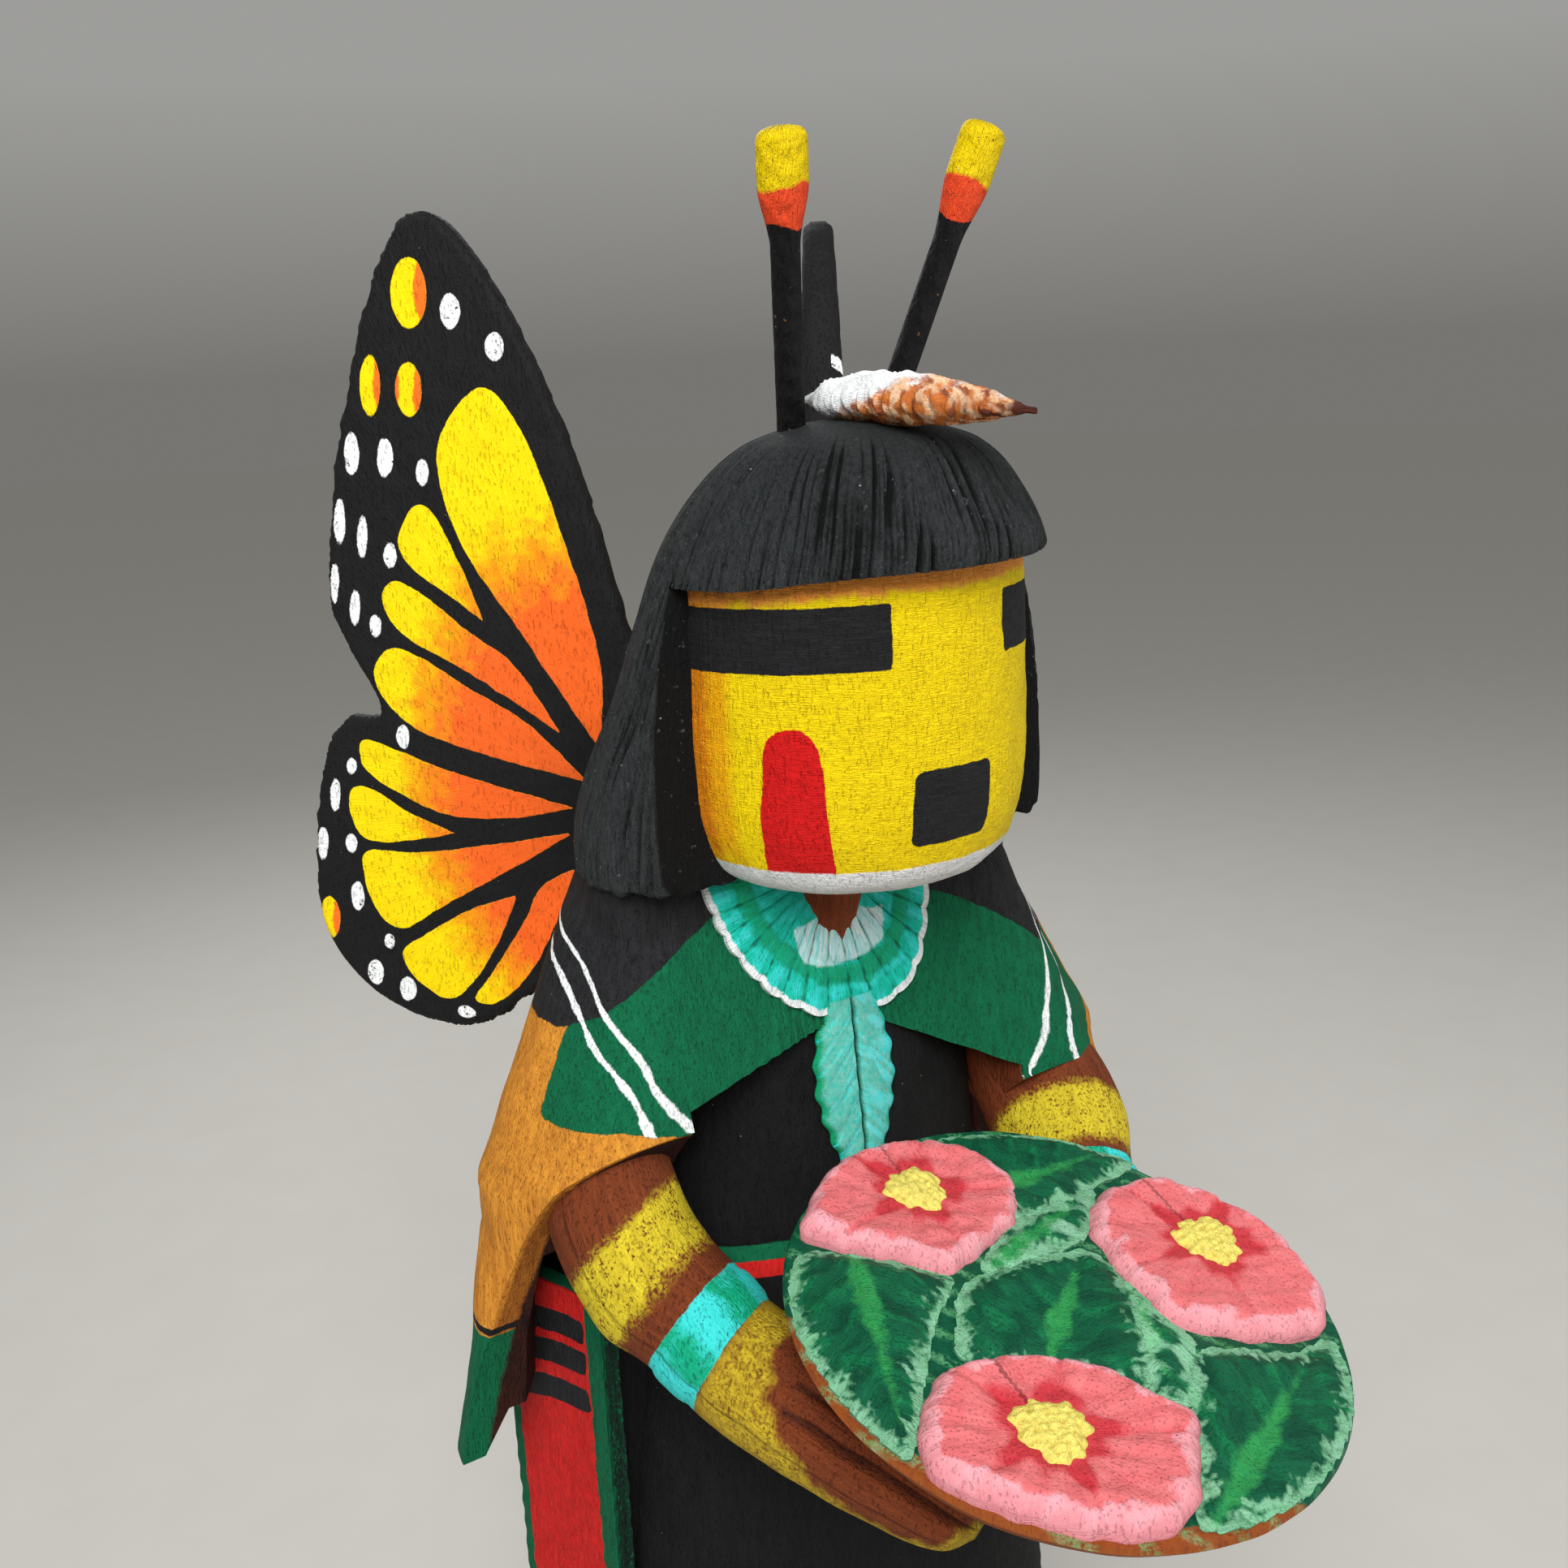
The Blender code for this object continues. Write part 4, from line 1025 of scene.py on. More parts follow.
@dataclass
class Hair(Carving):
    """The bob with carved strands, cut open in front of the mask."""

    rows: Rows = (
        (166.2, 1.5, 28.4, 15, 20.4),
        (166.9, 1.5, 29, 15.5, 21),
        (172, 1, 28.8, 15.5, 22),
        (178, 0, 27.4, 16, 20.5),
        (185, -2, 25.4, 17.5, 17.5),
        (193, -4, 23.4, 20.5, 16),
        (201, -6, 21, 22.6, 15),
        (207, -7, 17.6, 19.4, 11.5),
        (211.5, -8, 12.6, 14.6, 8),
        (213.4, -8.5, 6.6, 8, 4.6),
        (213.9, -8.7, 2.2, 2.6, 1.6),
    )
    sides: int = 940
    steps: int = 60
    strand: float = 1.3
    depth: float = 0.6
    bangs: Outline = (
        (40, 200.4), (14, 200.4), (0, 200.2), (-9, 200), (-15, 199.5), (-19.5, 198.6), (-40, 197),
    )
    front_y: float = -6.5
    crown: float = 213.0
    far_lock: float = 2.6
    far_reach: tuple[Pair, Pair, Pair] = ((12, 22), (-14, 2), (-204, -192))

    def build(self) -> None:
        """Make the hair."""
        angle = around(self.sides)
        widest = oval(angle, *self.rows[4][2:])
        ring = level_ring(0, 0, widest)
        walk = np.cumsum(np.linalg.norm(np.roll(ring, -1, 0) - ring, axis=1))
        rings = []
        for z in spaced(self.rows, self.steps):
            centre, *section = eased(self.rows, z)
            radii = oval(angle, *section)
            ring = level_ring(z, centre, radii + self.carve(walk, z, angle))
            ring[:, 0] += self.far_push(ring)
            rings.append(ring)
        skin = Skin.from_rings(np.array(rings))
        face = prism_skin([(-40, 150), (40, 150), *self.bangs], "Y", -70, self.front_y)
        skin = skin.carved([face], 2.4)
        low = ease(-skin.points[:, 2], -168.4, -166.4)
        skin.points[:, 2] += 0.3 * waves(skin.points[:, :2], 2.6, 8) * low
        # The painted shade in the grooves and on the cut faces follows this field
        skin.fields["groove"] = self.depth_below(skin.points)
        self.show("hair", skin, HAIR_PAINT, 70)

    def carve(self, walk: Array, z: float, angle: Array) -> Array:
        """Depth of the strands at a height.

        Args:
            walk: way round the widest part of the hair.
            z: the height.
            angle: directions from the middle, 0 being the front.

        Returns:
            What is added to the radius in each direction.
        """
        at = stacked(walk, z * 0.22)
        fade = ease(self.rows[-2][0] - z, 0.0, 3.0)
        total = 0.2 * waves(at, 13.0, 6) * min(1.0, (214 - z) / 8)
        for strand, width, depth, seed in ((self.strand, 0.18, self.depth, 3), (0.5, 0.11, 0.26, 14)):
            phase = walk / strand + 0.42 * waves(at, 8.0, seed) + 0.2 * waves(at, 2.8, seed + 1)
            off = np.abs(phase - np.round(phase)) * strand
            strength = np.clip(0.5 + 0.75 * waves(at, 4.2, seed + 2), 0.0, 1.35)
            bangs = 0.75 + 0.5 * ease(np.cos(angle), 0.2, 0.9)
            total = total - depth * strength * bangs * fade * np.exp(-((off / width) ** 2))
        return total

    def depth_below(self, points: Array) -> Array:
        """How far each point stands over the bottoms of the deepest grooves near it.

        Args:
            points: the finished skin.

        Returns:
            A field for the painted shade, negative deep in a groove and on the cut faces.
        """
        heights = [row[0] for row in self.rows]
        sections = np.array([eased(self.rows, z) for z in np.linspace(heights[0], heights[-1], 200)])
        places = np.interp(points[:, 2], (heights[0], heights[-1]), (0, 199))
        columns = [np.full(len(points), float(k)) for k in range(4)]
        centre, wide, front, back = (read_table(sections, places, column) for column in columns)
        angle = np.arctan2(points[:, 0], centre - points[:, 1])
        smooth = oval(angle, wide, front, back)
        away = smooth - np.hypot(points[:, 0], points[:, 1] - centre)
        return np.where(points[:, 2] < self.crown, 0.34 - away - self.far_push(points), 0.3)

    def far_push(self, points: Array) -> Array:
        """Work out how far the lock on the far side is pushed out.

        Args:
            points: places on the hair.

        Returns:
            One distance for each point.
        """
        across, back, up = self.far_reach
        x, y, z = points.T
        return self.far_lock * ease(x, *across) * ease(-y, *back) * ease(-z, *up)


def prism_skin(outline: Sequence[Pair], axis: str, low: float, high: float, taper: float = 1.0) -> Skin:
    """A prism used to cut with.

    Args:
        outline: its corners, whose last part is the height unless it stands on Z.
        axis: X, Y or Z, the way that it runs.
        low: where it starts.
        high: where it ends.
        taper: share of the first part of each corner that is left at the end.

    Returns:
        The closed skin.
    """
    order = {"X": (2, 0, 1), "Y": (0, 2, 1), "Z": (0, 1, 2)}[axis]
    rings = np.array([[(a * k, b, c) for a, b in outline] for c, k in ((low, 1.0), (high, taper))])
    count = len(outline)
    sides = [(i, (i + 1) % count, count + (i + 1) % count, count + i) for i in range(count)]
    faces = [*sides, tuple(reversed(range(count))), tuple(range(count, 2 * count))]
    return Skin(rings.reshape(-1, 3)[:, order], faces).outward()


@dataclass
class Mask(Carving):
    """The barrel of the mask, with its painted face."""

    radius: float = 19.7
    centre_y: float = -5.6
    back_y: float = -2.0
    sides: int = 300
    steps: int = 120
    profile: Outline = (
        (0.3, 201), (19.4, 201), (19.6, 194), (19.7, 185), (19.7, 179), (19.3, 174), (18.4, 170.6),
        (17.1, 168), (15.3, 166.4), (13.1, 165.8), (0.3, 165.6),
    )
    eye: tuple[float, float, float, float] = (20.75, 100.0, 190.5, 197.0)
    eye_tilt: float = 0.009
    mouth: tuple[float, float, float, float] = (14.3, -1.6, 172.0, 180.0)
    chin_z: float = 169.2
    cheeks: tuple[float, ...] = (-51.0, 64.5)
    cheek_top: float = 184.8
    cheek_half: float = 3.0
    cheek_flare: float = 0.085
    mouth_lean: float = 0.05
    temple: Pair = (72.0, 170.5)
    # Painted shade beside the hair: from this angle out, and above this height
    rub: Pair = (80.5, 169.5)

    def build(self) -> None:
        """Make the mask."""
        line = curve_through(list(reversed(self.profile))[1:-1], 16)
        line = np.vstack([[0.3, 165.7], line, [0.3, 201.0]])
        angle = around(self.sides) - math.pi
        rings = []
        for r, z in line:
            at = stacked(self.radius * np.sin(angle), self.radius * np.cos(angle), z)
            radii = r + (0.11 * waves(at, 7.0, 11) + 0.04 * waves(at, 1.5, 12)) * min(1.0, r / 10)
            y = np.minimum(self.centre_y - radii * np.cos(angle), self.back_y)
            rings.append(stacked(radii * np.sin(angle), y, z))
        rings = np.array(rings)
        skin = Skin.from_rings(rings)
        degrees, z = np.degrees(angle), rings[:, :, 2]
        aside = np.abs(degrees)
        arc = math.radians(1) * self.radius
        inner, outer, low, high = self.eye
        tilted = z + self.eye_tilt * (aside - inner)
        half = ((outer - inner) / 2 * arc, (high - low) / 2)
        eyes = box_distance((aside - (inner + outer) / 2) * arc, tilted - (low + high) / 2, half, 0.25)
        reach, shift, low, high = self.mouth
        across = (degrees - shift) * arc - self.mouth_lean * (z - low)
        mouth = box_distance(across, z - (low + high) / 2, (reach * arc, (high - low) / 2), 1.0)
        above = np.maximum(z - self.cheek_top + self.cheek_half, 0)
        wide = self.cheek_half + self.cheek_flare * np.clip(182 - z, 0, 14)
        bars = [np.hypot((degrees - middle) * arc, above) - wide for middle in self.cheeks]
        bangs = np.interp(rings[:, :, 0], *zip(*reversed(Hair().bangs)))
        # The temple band is orange paint; the band further out is painted shade beside the hair
        side_edges = (self.temple, self.rub)
        side_bands = [np.maximum((edge - aside) * arc, (foot - z) * 0.5) for edge, foot in side_edges]
        skin.spread(
            eyes=eyes,
            mouth=mouth,
            cheeks=np.minimum(*bars),
            chin=z - self.chin_z - 0.25 * np.cos(angle),
            brow=bangs - 2.1 - z,
            # Painted shade under the bangs at the sides
            brow_top=np.maximum(bangs - 1.0 - z, (62 - aside) * 0.06),
            temple=side_bands[0],
            rub=side_bands[1],
        )
        skin.lay_along(degrees * arc, z, 0.0)
        skin.lay[-2:] = skin.points[-2:, [0, 2, 1]]
        self.show("mask", skin, MASK_PAINT)


@dataclass
class Neck(Carving):
    """The red-brown neck between chest and chin."""

    radius: float = 6.0
    rows: Outline = ((148.0, 3.5), (160.0, 2.0), (171.0, 0.0))

    def build(self) -> None:
        """Make the neck."""
        line = curve_through(self.rows, 10)
        rings = np.array([level_ring(z, y, np.full(64, self.radius)) for z, y in line])
        skin = Skin.from_rings(rings)
        skin.points += 0.12 * waves(skin.points, 3.0, 15)[:, None] * np.array([1, 1, 0])
        self.show("neck", skin, SKIN_PAINT)


@dataclass
class Necklace(Carving):
    """The bib of shell and stone, with its pendant leaf."""

    centre: Triple = (0.0, -0.4, 163.0)
    outline: Outline = (
        (-20.8, 7.4), (-19.4, 4.4), (-17.6, 0.8), (-15.9, -4.1), (-13.6, -8.6), (-9.6, -13.2),
        (-3.8, -16.7), (2.4, -17.8), (7.2, -16.6), (10.8, -12.9), (12.9, -6), (14.2, 0), (15, 5), (10, 12),
        (0, 14), (-10, 13.4), (-18.6, 10),
    )
    thick: float = 3.2
    clearance: float = 0.9
    lean: float = 11.0
    scallops: int = 30
    rings: Pair = (0.645, 0.785)
    usual_reach: float = 17.0
    pendant_top: Triple = (0.0, -4.2, 148.0)
    pendant_bottom: Triple = (-1.8, -9.6, 124.5)
    pendant_half: float = 5.5
    pendant_thick: float = 2.6
    rib_step: float = 3.1

    def build(self) -> None:
        """Make the bib and the pendant."""
        self.build_bib()
        self.build_pendant()

    def build_bib(self) -> None:
        """Make the bib from rings that run from the middle, over the rim, to the back."""
        sides = self.scallops * 18
        angle = around(sides)
        lean = math.radians(self.lean)
        drawn = curve_through(self.outline, 12, closed=True)
        turn = np.arctan2(drawn[:, 0], drawn[:, 1])
        order = np.argsort(turn)
        reach = np.interp(angle, turn[order], np.hypot(*drawn.T)[order], period=math.tau)
        rim = stacked(reach * np.sin(angle), reach * np.cos(angle))
        walk = np.cumsum(np.linalg.norm(np.roll(rim, -1, 0) - rim, axis=1))
        phase = walk / walk[-1] * self.scallops + 0.16 * waves(rim, 8.0, 21)
        fold = np.abs(np.sin(math.pi * phase))
        steps = [(s, 0.5) for s in np.linspace(0.03, 0.985, 46)]
        steps += [(1.0, 0.34), (1.0, 0.1), (1.0, -0.3), (0.98, -0.5), (0.5, -0.5), (0.03, -0.5)]
        rows = []
        for share, depth in steps:
            scallop = 0.42 * (1 - fold**0.7) * ease(share, 0.8, 1.0)
            distance = share * reach - scallop
            out = depth * self.thick + np.zeros(sides)
            if depth == 0.5:
                crease = (1 - fold**0.5) * (0.4 + 0.2 * waves(rim * share, 4.0, 22))
                out = out - crease * ease(distance, 5.5, 8.0)
                for ring, cut in zip(self.rings, (0.35, 0.3)):
                    out = out - cut * np.exp(-(((share - ring) / 0.02) ** 2))
                out = out - 0.5 * ease(share, 0.9, 0.985)
            up = distance * np.cos(angle)
            row = stacked(
                self.centre[0] + distance * np.sin(angle),
                self.centre[1] + up * math.sin(lean) - out * math.cos(lean),
                self.centre[2] + up * math.cos(lean) + out * math.sin(lean),
            )
            if depth > 0:
                over = Cape().front(row[:, 0], row[:, 2]) - self.clearance + 0.5 * (self.thick / 2 - out)
                row[:, 1] = np.minimum(row[:, 1], over)
            rows.append(row)
        skin = Skin.from_rings(np.array(rows))
        share = np.array(steps)[:, :1]
        radius = share * reach
        turn = np.degrees(np.arctan2(np.sin(angle), -np.cos(angle)))
        skin.spread(
            rim=(1 - share) * reach - 0.75,
            band=span_distance(share, *self.rings) * self.usual_reach,
            outer=(self.rings[1] - share) * self.usual_reach,
            shell=np.maximum(np.abs(turn) - 29, 0) * 0.15 + np.maximum(radius - 11.4, 6.0 - radius),
            # Painted highlight on the middles of the scallops
            gloss=0.86 - fold + 0.6 * waves(rim * share[..., None], 3.4, 23),
            # Painted shade in the creases between the scallops
            crease=fold * 1.2 - 0.14 + ease(6.5 - radius, 0, 2) + 0.25 * waves(radius[..., None], 3.0, 24),
        )
        skin.lay_along(radius, turn * 0.25, 0.0)
        self.show("necklace", skin, BIB_PAINT)

    def build_pendant(self) -> None:
        """Make the leaf from cross sections, with a groove down its middle and slanting ribs."""
        top, bottom = np.array(self.pendant_top), np.array(self.pendant_bottom)
        down = (bottom - top) / np.linalg.norm(bottom - top)
        out = np.array([0, down[2], -down[1]])
        out = -out if out[1] > 0 else out
        length = float(np.linalg.norm(bottom - top))
        turn = around(72)
        rows, sides, places = [], [], []
        for t in np.linspace(0.0, 1.0, 130):
            wide = self.pendant_half * (0.45 + 0.55 * math.sin(math.pi * min(t * 1.1 + 0.1, 1)))
            wide *= min(1.0, math.sqrt(max(0.02, (1.02 - t) * 6)))
            ribs = math.sin(math.tau * t * length / self.rib_step + 0.7 * math.sin(t * 9))
            wide *= 1 + 0.05 * ribs * min(1, t * 5)
            s = np.cos(turn)
            bulge = np.sin(turn) * self.pendant_thick / 2
            front = np.sin(turn) > 0
            rib = 0.08 * np.sin(math.tau * (t * length - np.abs(s) * wide) / self.rib_step + 0.8 * s)
            bulge = bulge + np.where(front, rib * ease(np.sin(turn), 0.1, 0.6), 0)
            bulge = bulge - np.where(front, 0.75 * np.exp(-((s * wide / 0.28) ** 2)), 0)
            spine = top + down * t * length
            rows.append(spine + s[:, None] * wide * np.array([1, 0, 0]) + bulge[:, None] * out)
            sides.append(s * wide)
            places.append(np.full(len(turn), t * length))
        skin = Skin.from_rings(np.array(rows))
        side, place = np.array(sides), np.array(places)
        slant = stacked(place - np.abs(side), side * 0.35)
        skin.spread(
            # Painted shade along the middle groove
            groove=side,
            patches=1.5 * waves(slant, 2.6, 27) - 0.6 + 0.12 * side,
            # Painted highlight patches, more of them on the figure's left half
            light=1.5 * waves(slant, 2.2, 29) + 0.8 - 0.15 * side,
            tip=length - 2.6 + 0.4 * np.abs(side) - place,
            edge=0.55 - (np.abs(side[:, :1]) - np.abs(side)),
        )
        skin.lay_along(np.abs(side) + place * 0.4, place, side)
        self.show("pendant", skin, PENDANT_PAINT)


@dataclass
class Cape(Carving):
    """The cape over shoulders and arms, open in front, with its painted panels."""

    rows: Rows = (
        (100.5, 4.6, 48.6, 8, 21),
        (113, 4.6, 45.8, 8, 20),
        (127, 4.8, 43.4, 8, 18.4),
        (135, 5, 39.6, 8, 17.4),
        (143, 5.8, 34.4, 9, 16.2),
        (151, 7, 30.4, 8.6, 15),
        (158, 7.2, 27, 7.8, 13.6),
        (165, 7.4, 23.4, 6.6, 12),
        (169, 7.4, 18, 5.2, 10),
    )
    shoulder: Rows = ((18.6, 8.0, 165.8, 8.0), (33.2, 4.2, 134.0, 9.8))
    near_arm: Rows = ((22.0, 3.0, 160.0, 6.0), (30.0, -2.5, 136.0, 10.0))
    far_arm: Rows = ((22.0, 3.0, 160.0, 6.0), (30.5, -2.5, 128.0, 9.6))
    sides: int = 264
    steps: int = 88
    roof_middle: float = 146.4
    roof_near: Pair = (-24.4, 142.8)
    roof_far: Pair = (22.4, 134.6)
    roof_y: float = 2.0
    near_edge: Outline = (
        (-12, 142.6), (-5.6, 136), (-0.6, 128), (2.6, 119), (4.6, 109), (5.2, 96),
    )
    far_edge: Outline = (
        (-12, 135), (-5.6, 129), (-0.6, 122.6), (2.6, 115), (4.6, 106), (5.2, 96),
    )
    hem: Outline = ((42.5, 105.5), (46.4, 99.5))
    pocket: Outline = ((30.4, -30), (30.4, 7.2), (33.2, 11.6), (37.2, 11.6), (42.8, 3.8), (42.8, -30))
    pocket_taper: float = 0.9
    pocket_tops: tuple[tuple[int, float], ...] = ((-1, 126.0), (1, 121.0))
    near_lines: tuple[Outline, ...] = (
        (
            (-102, 161.6), (-87.3, 158.9), (-78.1, 155.8), (-70.1, 152.1), (-64.4, 149.1), (-60.1, 145.3),
            (-55, 140.8),
        ),
        (
            (-102, 159), (-88.7, 156.4), (-79.9, 153.1), (-70.5, 149.1), (-64.1, 145.9), (-60.4, 142.2),
            (-58, 139),
        ),
    )
    far_lines: tuple[Outline, ...] = (
        (
            (96, 161), (80, 156.4), (71, 152.2), (68.5, 148.4), (63.9, 145), (60.5, 140.5), (58.2, 137.4),
            (54.8, 134),
        ),
        (
            (96, 158), (82, 153.6), (74, 149.6), (71.9, 146.6), (70.2, 143.6), (65.7, 139.8),
            (61.4, 136.6), (60, 131),
        ),
    )
    # Yoke: height in the middle, fall, least height, for the near and the far side
    yoke: Rows = ((164.3, 0.012, 151.2), (160.5, 0.0145, 148.4))
    panel_edge: Pair = (80.4, 78.0)
    panel_corner: float = 1.3
    # Side flaps: how far out they start, and below which height
    flap: Pair = (27.0, 137.0)
    hem_top: float = 116.4
    elbow_z: float = 127.0
    near_edge_z: Outline = ((54, 139.5), (58, 141.5), (64, 142.6), (80, 142.3))
    far_edge_z: Outline = ((52, 129.0), (60, 132.2), (70, 134.1), (80, 136.6))

    def hull_row(self, z: float, angle: Array) -> tuple[float, Array]:
        """Reach of the cape at a height, as a cloth drawn taut over body and arms.

        Args:
            z: the height.
            angle: directions from the middle, 0 being the front.

        Returns:
            The centre along Y, and the reach in each direction.
        """
        centre, *section = eased(self.rows, z)
        off = np.radians(85) * np.linspace(-1, 1, 81)
        facing = angle[:, None] + off[None, :]
        reach = np.where(np.cos(facing) > 0, section[1], section[2])
        support = np.hypot(section[0] * np.sin(facing), reach * np.cos(facing))
        side = np.where(np.sin(angle) > 0, 1.0, -1.0)[:, None]
        for near, far in ((self.shoulder, self.shoulder), (self.near_arm, self.far_arm)):
            spots = []
            for line in (near, far):
                t = min(max((line[0][2] - z) / (line[0][2] - line[1][2]), 0.0), 1.0)
                spots.append([a + (b - a) * t for a, b in zip(*line)])
            pick = [np.where(side > 0, spots[1][k], spots[0][k]) for k in (0, 1, 3)]
            support = np.maximum(
                support, side * pick[0] * np.sin(facing) - (pick[1] - centre) * np.cos(facing) + pick[2]
            )
        return centre, (support / np.cos(off)[None, :]).min(1)

    def front(self, x: Array, z: Array) -> Array:
        """Find the front of the cape, before it is cut open.

        Args:
            x: places across.
            z: their heights.

        Returns:
            The place along Y of its front at each of them.
        """
        heights = np.arange(143.0, 170.0, 1.5)
        turns = np.radians(np.arange(-86.0, 87.0, 2.0))
        across = np.arange(-24.0, 24.5, 0.5)
        table = []
        for height in heights:
            centre, reach = self.hull_row(height, turns)
            table.append(np.interp(across, reach * np.sin(turns), centre - reach * np.cos(turns)))
        up = np.interp(z, heights, np.arange(len(heights)))
        return read_table(np.array(table), up, np.interp(x, across, np.arange(len(across))))

    def cutters(self) -> list[Skin]:
        """Make what is taken from the solid cape.

        Returns:
            The openings, the hem and the hollow sides.
        """
        low = self.rows[0][0] - 8
        roof = [
            (self.roof_near[0], low), (self.roof_far[0], low), self.roof_far,
            (0.0, self.roof_middle), self.roof_near,
        ]
        tools = [prism_skin(roof, "Y", -60, self.roof_y)]
        for edge, near_x, far_x in (
            (self.near_edge, -60, self.roof_near[0] + 4),
            (self.far_edge, self.roof_far[0] - 4, 60),
        ):
            curve = [tuple(p) for p in curve_through(edge, 5)]
            outline = [(-60, low), (edge[-1][0], low), *reversed(curve), (-60, edge[0][1])]
            tools.append(prism_skin(outline, "X", near_x, far_x))
        (corner, high), (tip, drop) = self.hem
        hem = [(-tip, low), (tip, low), (tip, drop), (corner, high), (-corner, high), (-tip, drop)]
        tools.append(prism_skin(hem, "Y", -60, 60))
        for side, top in self.pocket_tops:
            plan = [(side * x, y) for x, y in self.pocket]
            tools.append(prism_skin(plan, "Z", low, top, self.pocket_taper))
        return tools

    def build(self) -> None:
        """Make the cape."""
        angle = around(self.sides)
        heights = spaced(self.rows, self.steps)
        rows = [self.hull_row(z, angle) for z in heights]
        reach = np.array([r for _, r in rows])
        rings = np.array([level_ring(z, c, r) for z, (c, r) in zip(heights, rows)])
        skin = Skin.from_rings(rings).carved(self.cutters(), 1.3)
        p = skin.points
        centre = np.interp(p[:, 2], heights, [c for c, _ in rows])
        turn = np.mod(np.arctan2(p[:, 0], centre - p[:, 1]), math.tau)
        across = turn / math.tau * self.sides
        up = np.interp(p[:, 2], heights, np.arange(len(heights)))
        outer = read_table(np.hstack([reach, reach[:, :1]]), up, across)
        depth = outer - np.hypot(p[:, 0], p[:, 1] - centre)
        skin.fields = self.paint_fields(p, depth)
        swell = 0.16 * waves(p, 9.0, 31) + 0.07 * waves(p, 3.2, 32)
        away = stacked(p[:, 0], p[:, 1] - centre)
        away /= np.linalg.norm(away, axis=1)[:, None]
        p[:, :2] += away * (swell * ease(-depth, -0.6, 0.0))[:, None]
        self.show("cape", skin, CAPE_PAINT, 40)

    def paint_fields(self, p: Array, depth: Array) -> dict[str, Array]:
        """Distances to the painted shapes of the cape.

        Args:
            p: points of the skin.
            depth: how far each lies in from the outside.

        Returns:
            The fields by name.
        """
        x, z = p[:, 0], p[:, 2]
        phi = np.degrees(np.arctan2(x, 7 - p[:, 1]))
        near = x < 0
        arc = math.radians(1) * 32
        yokes = [np.maximum(top - fall * x**2, least) for top, fall, least in self.yoke]
        yoke = yokes[0] + (yokes[1] - yokes[0]) * ease(x, -14, 14)
        edges = [np.interp(np.abs(phi), *zip(*edge)) for edge in (self.near_edge_z, self.far_edge_z)]
        low = np.where(near, *edges)
        outside = (np.abs(phi) - np.where(near, *self.panel_edge)) * arc
        unrolled = stacked(phi * arc, z)
        drawn = [
            side_distance(unrolled, curve_through([(a * arc, b) for a, b in path], 6))
            for path in (*self.near_lines, *self.far_lines)
        ]
        flap = (np.abs(x) > self.flap[0]) & (z < self.flap[1])
        # Painted shade on the cut inner faces: deeper than 1.1 mm from the outside, or 3.2 mm on the side
        # flaps
        hollow = np.where(flap, 3.2, 1.1) - depth
        return {
            "panel": corner_distance(outside, low - z, self.panel_corner),
            "yoke": yoke - z,
            "line_in": np.where(near, drawn[0], drawn[2]),
            "line_out": np.where(near, drawn[1], drawn[3]),
            "cloth": low - z,
            "hem": z - self.hem_top,
            "hem_line": z - self.hem_top - 0.7,
            "hollow": hollow,
            "elbow": np.where(x > 0, np.maximum(hollow, self.elbow_z - z), FAR),
            "shade": np.where(flap, 0.7 - depth, FAR),
        }


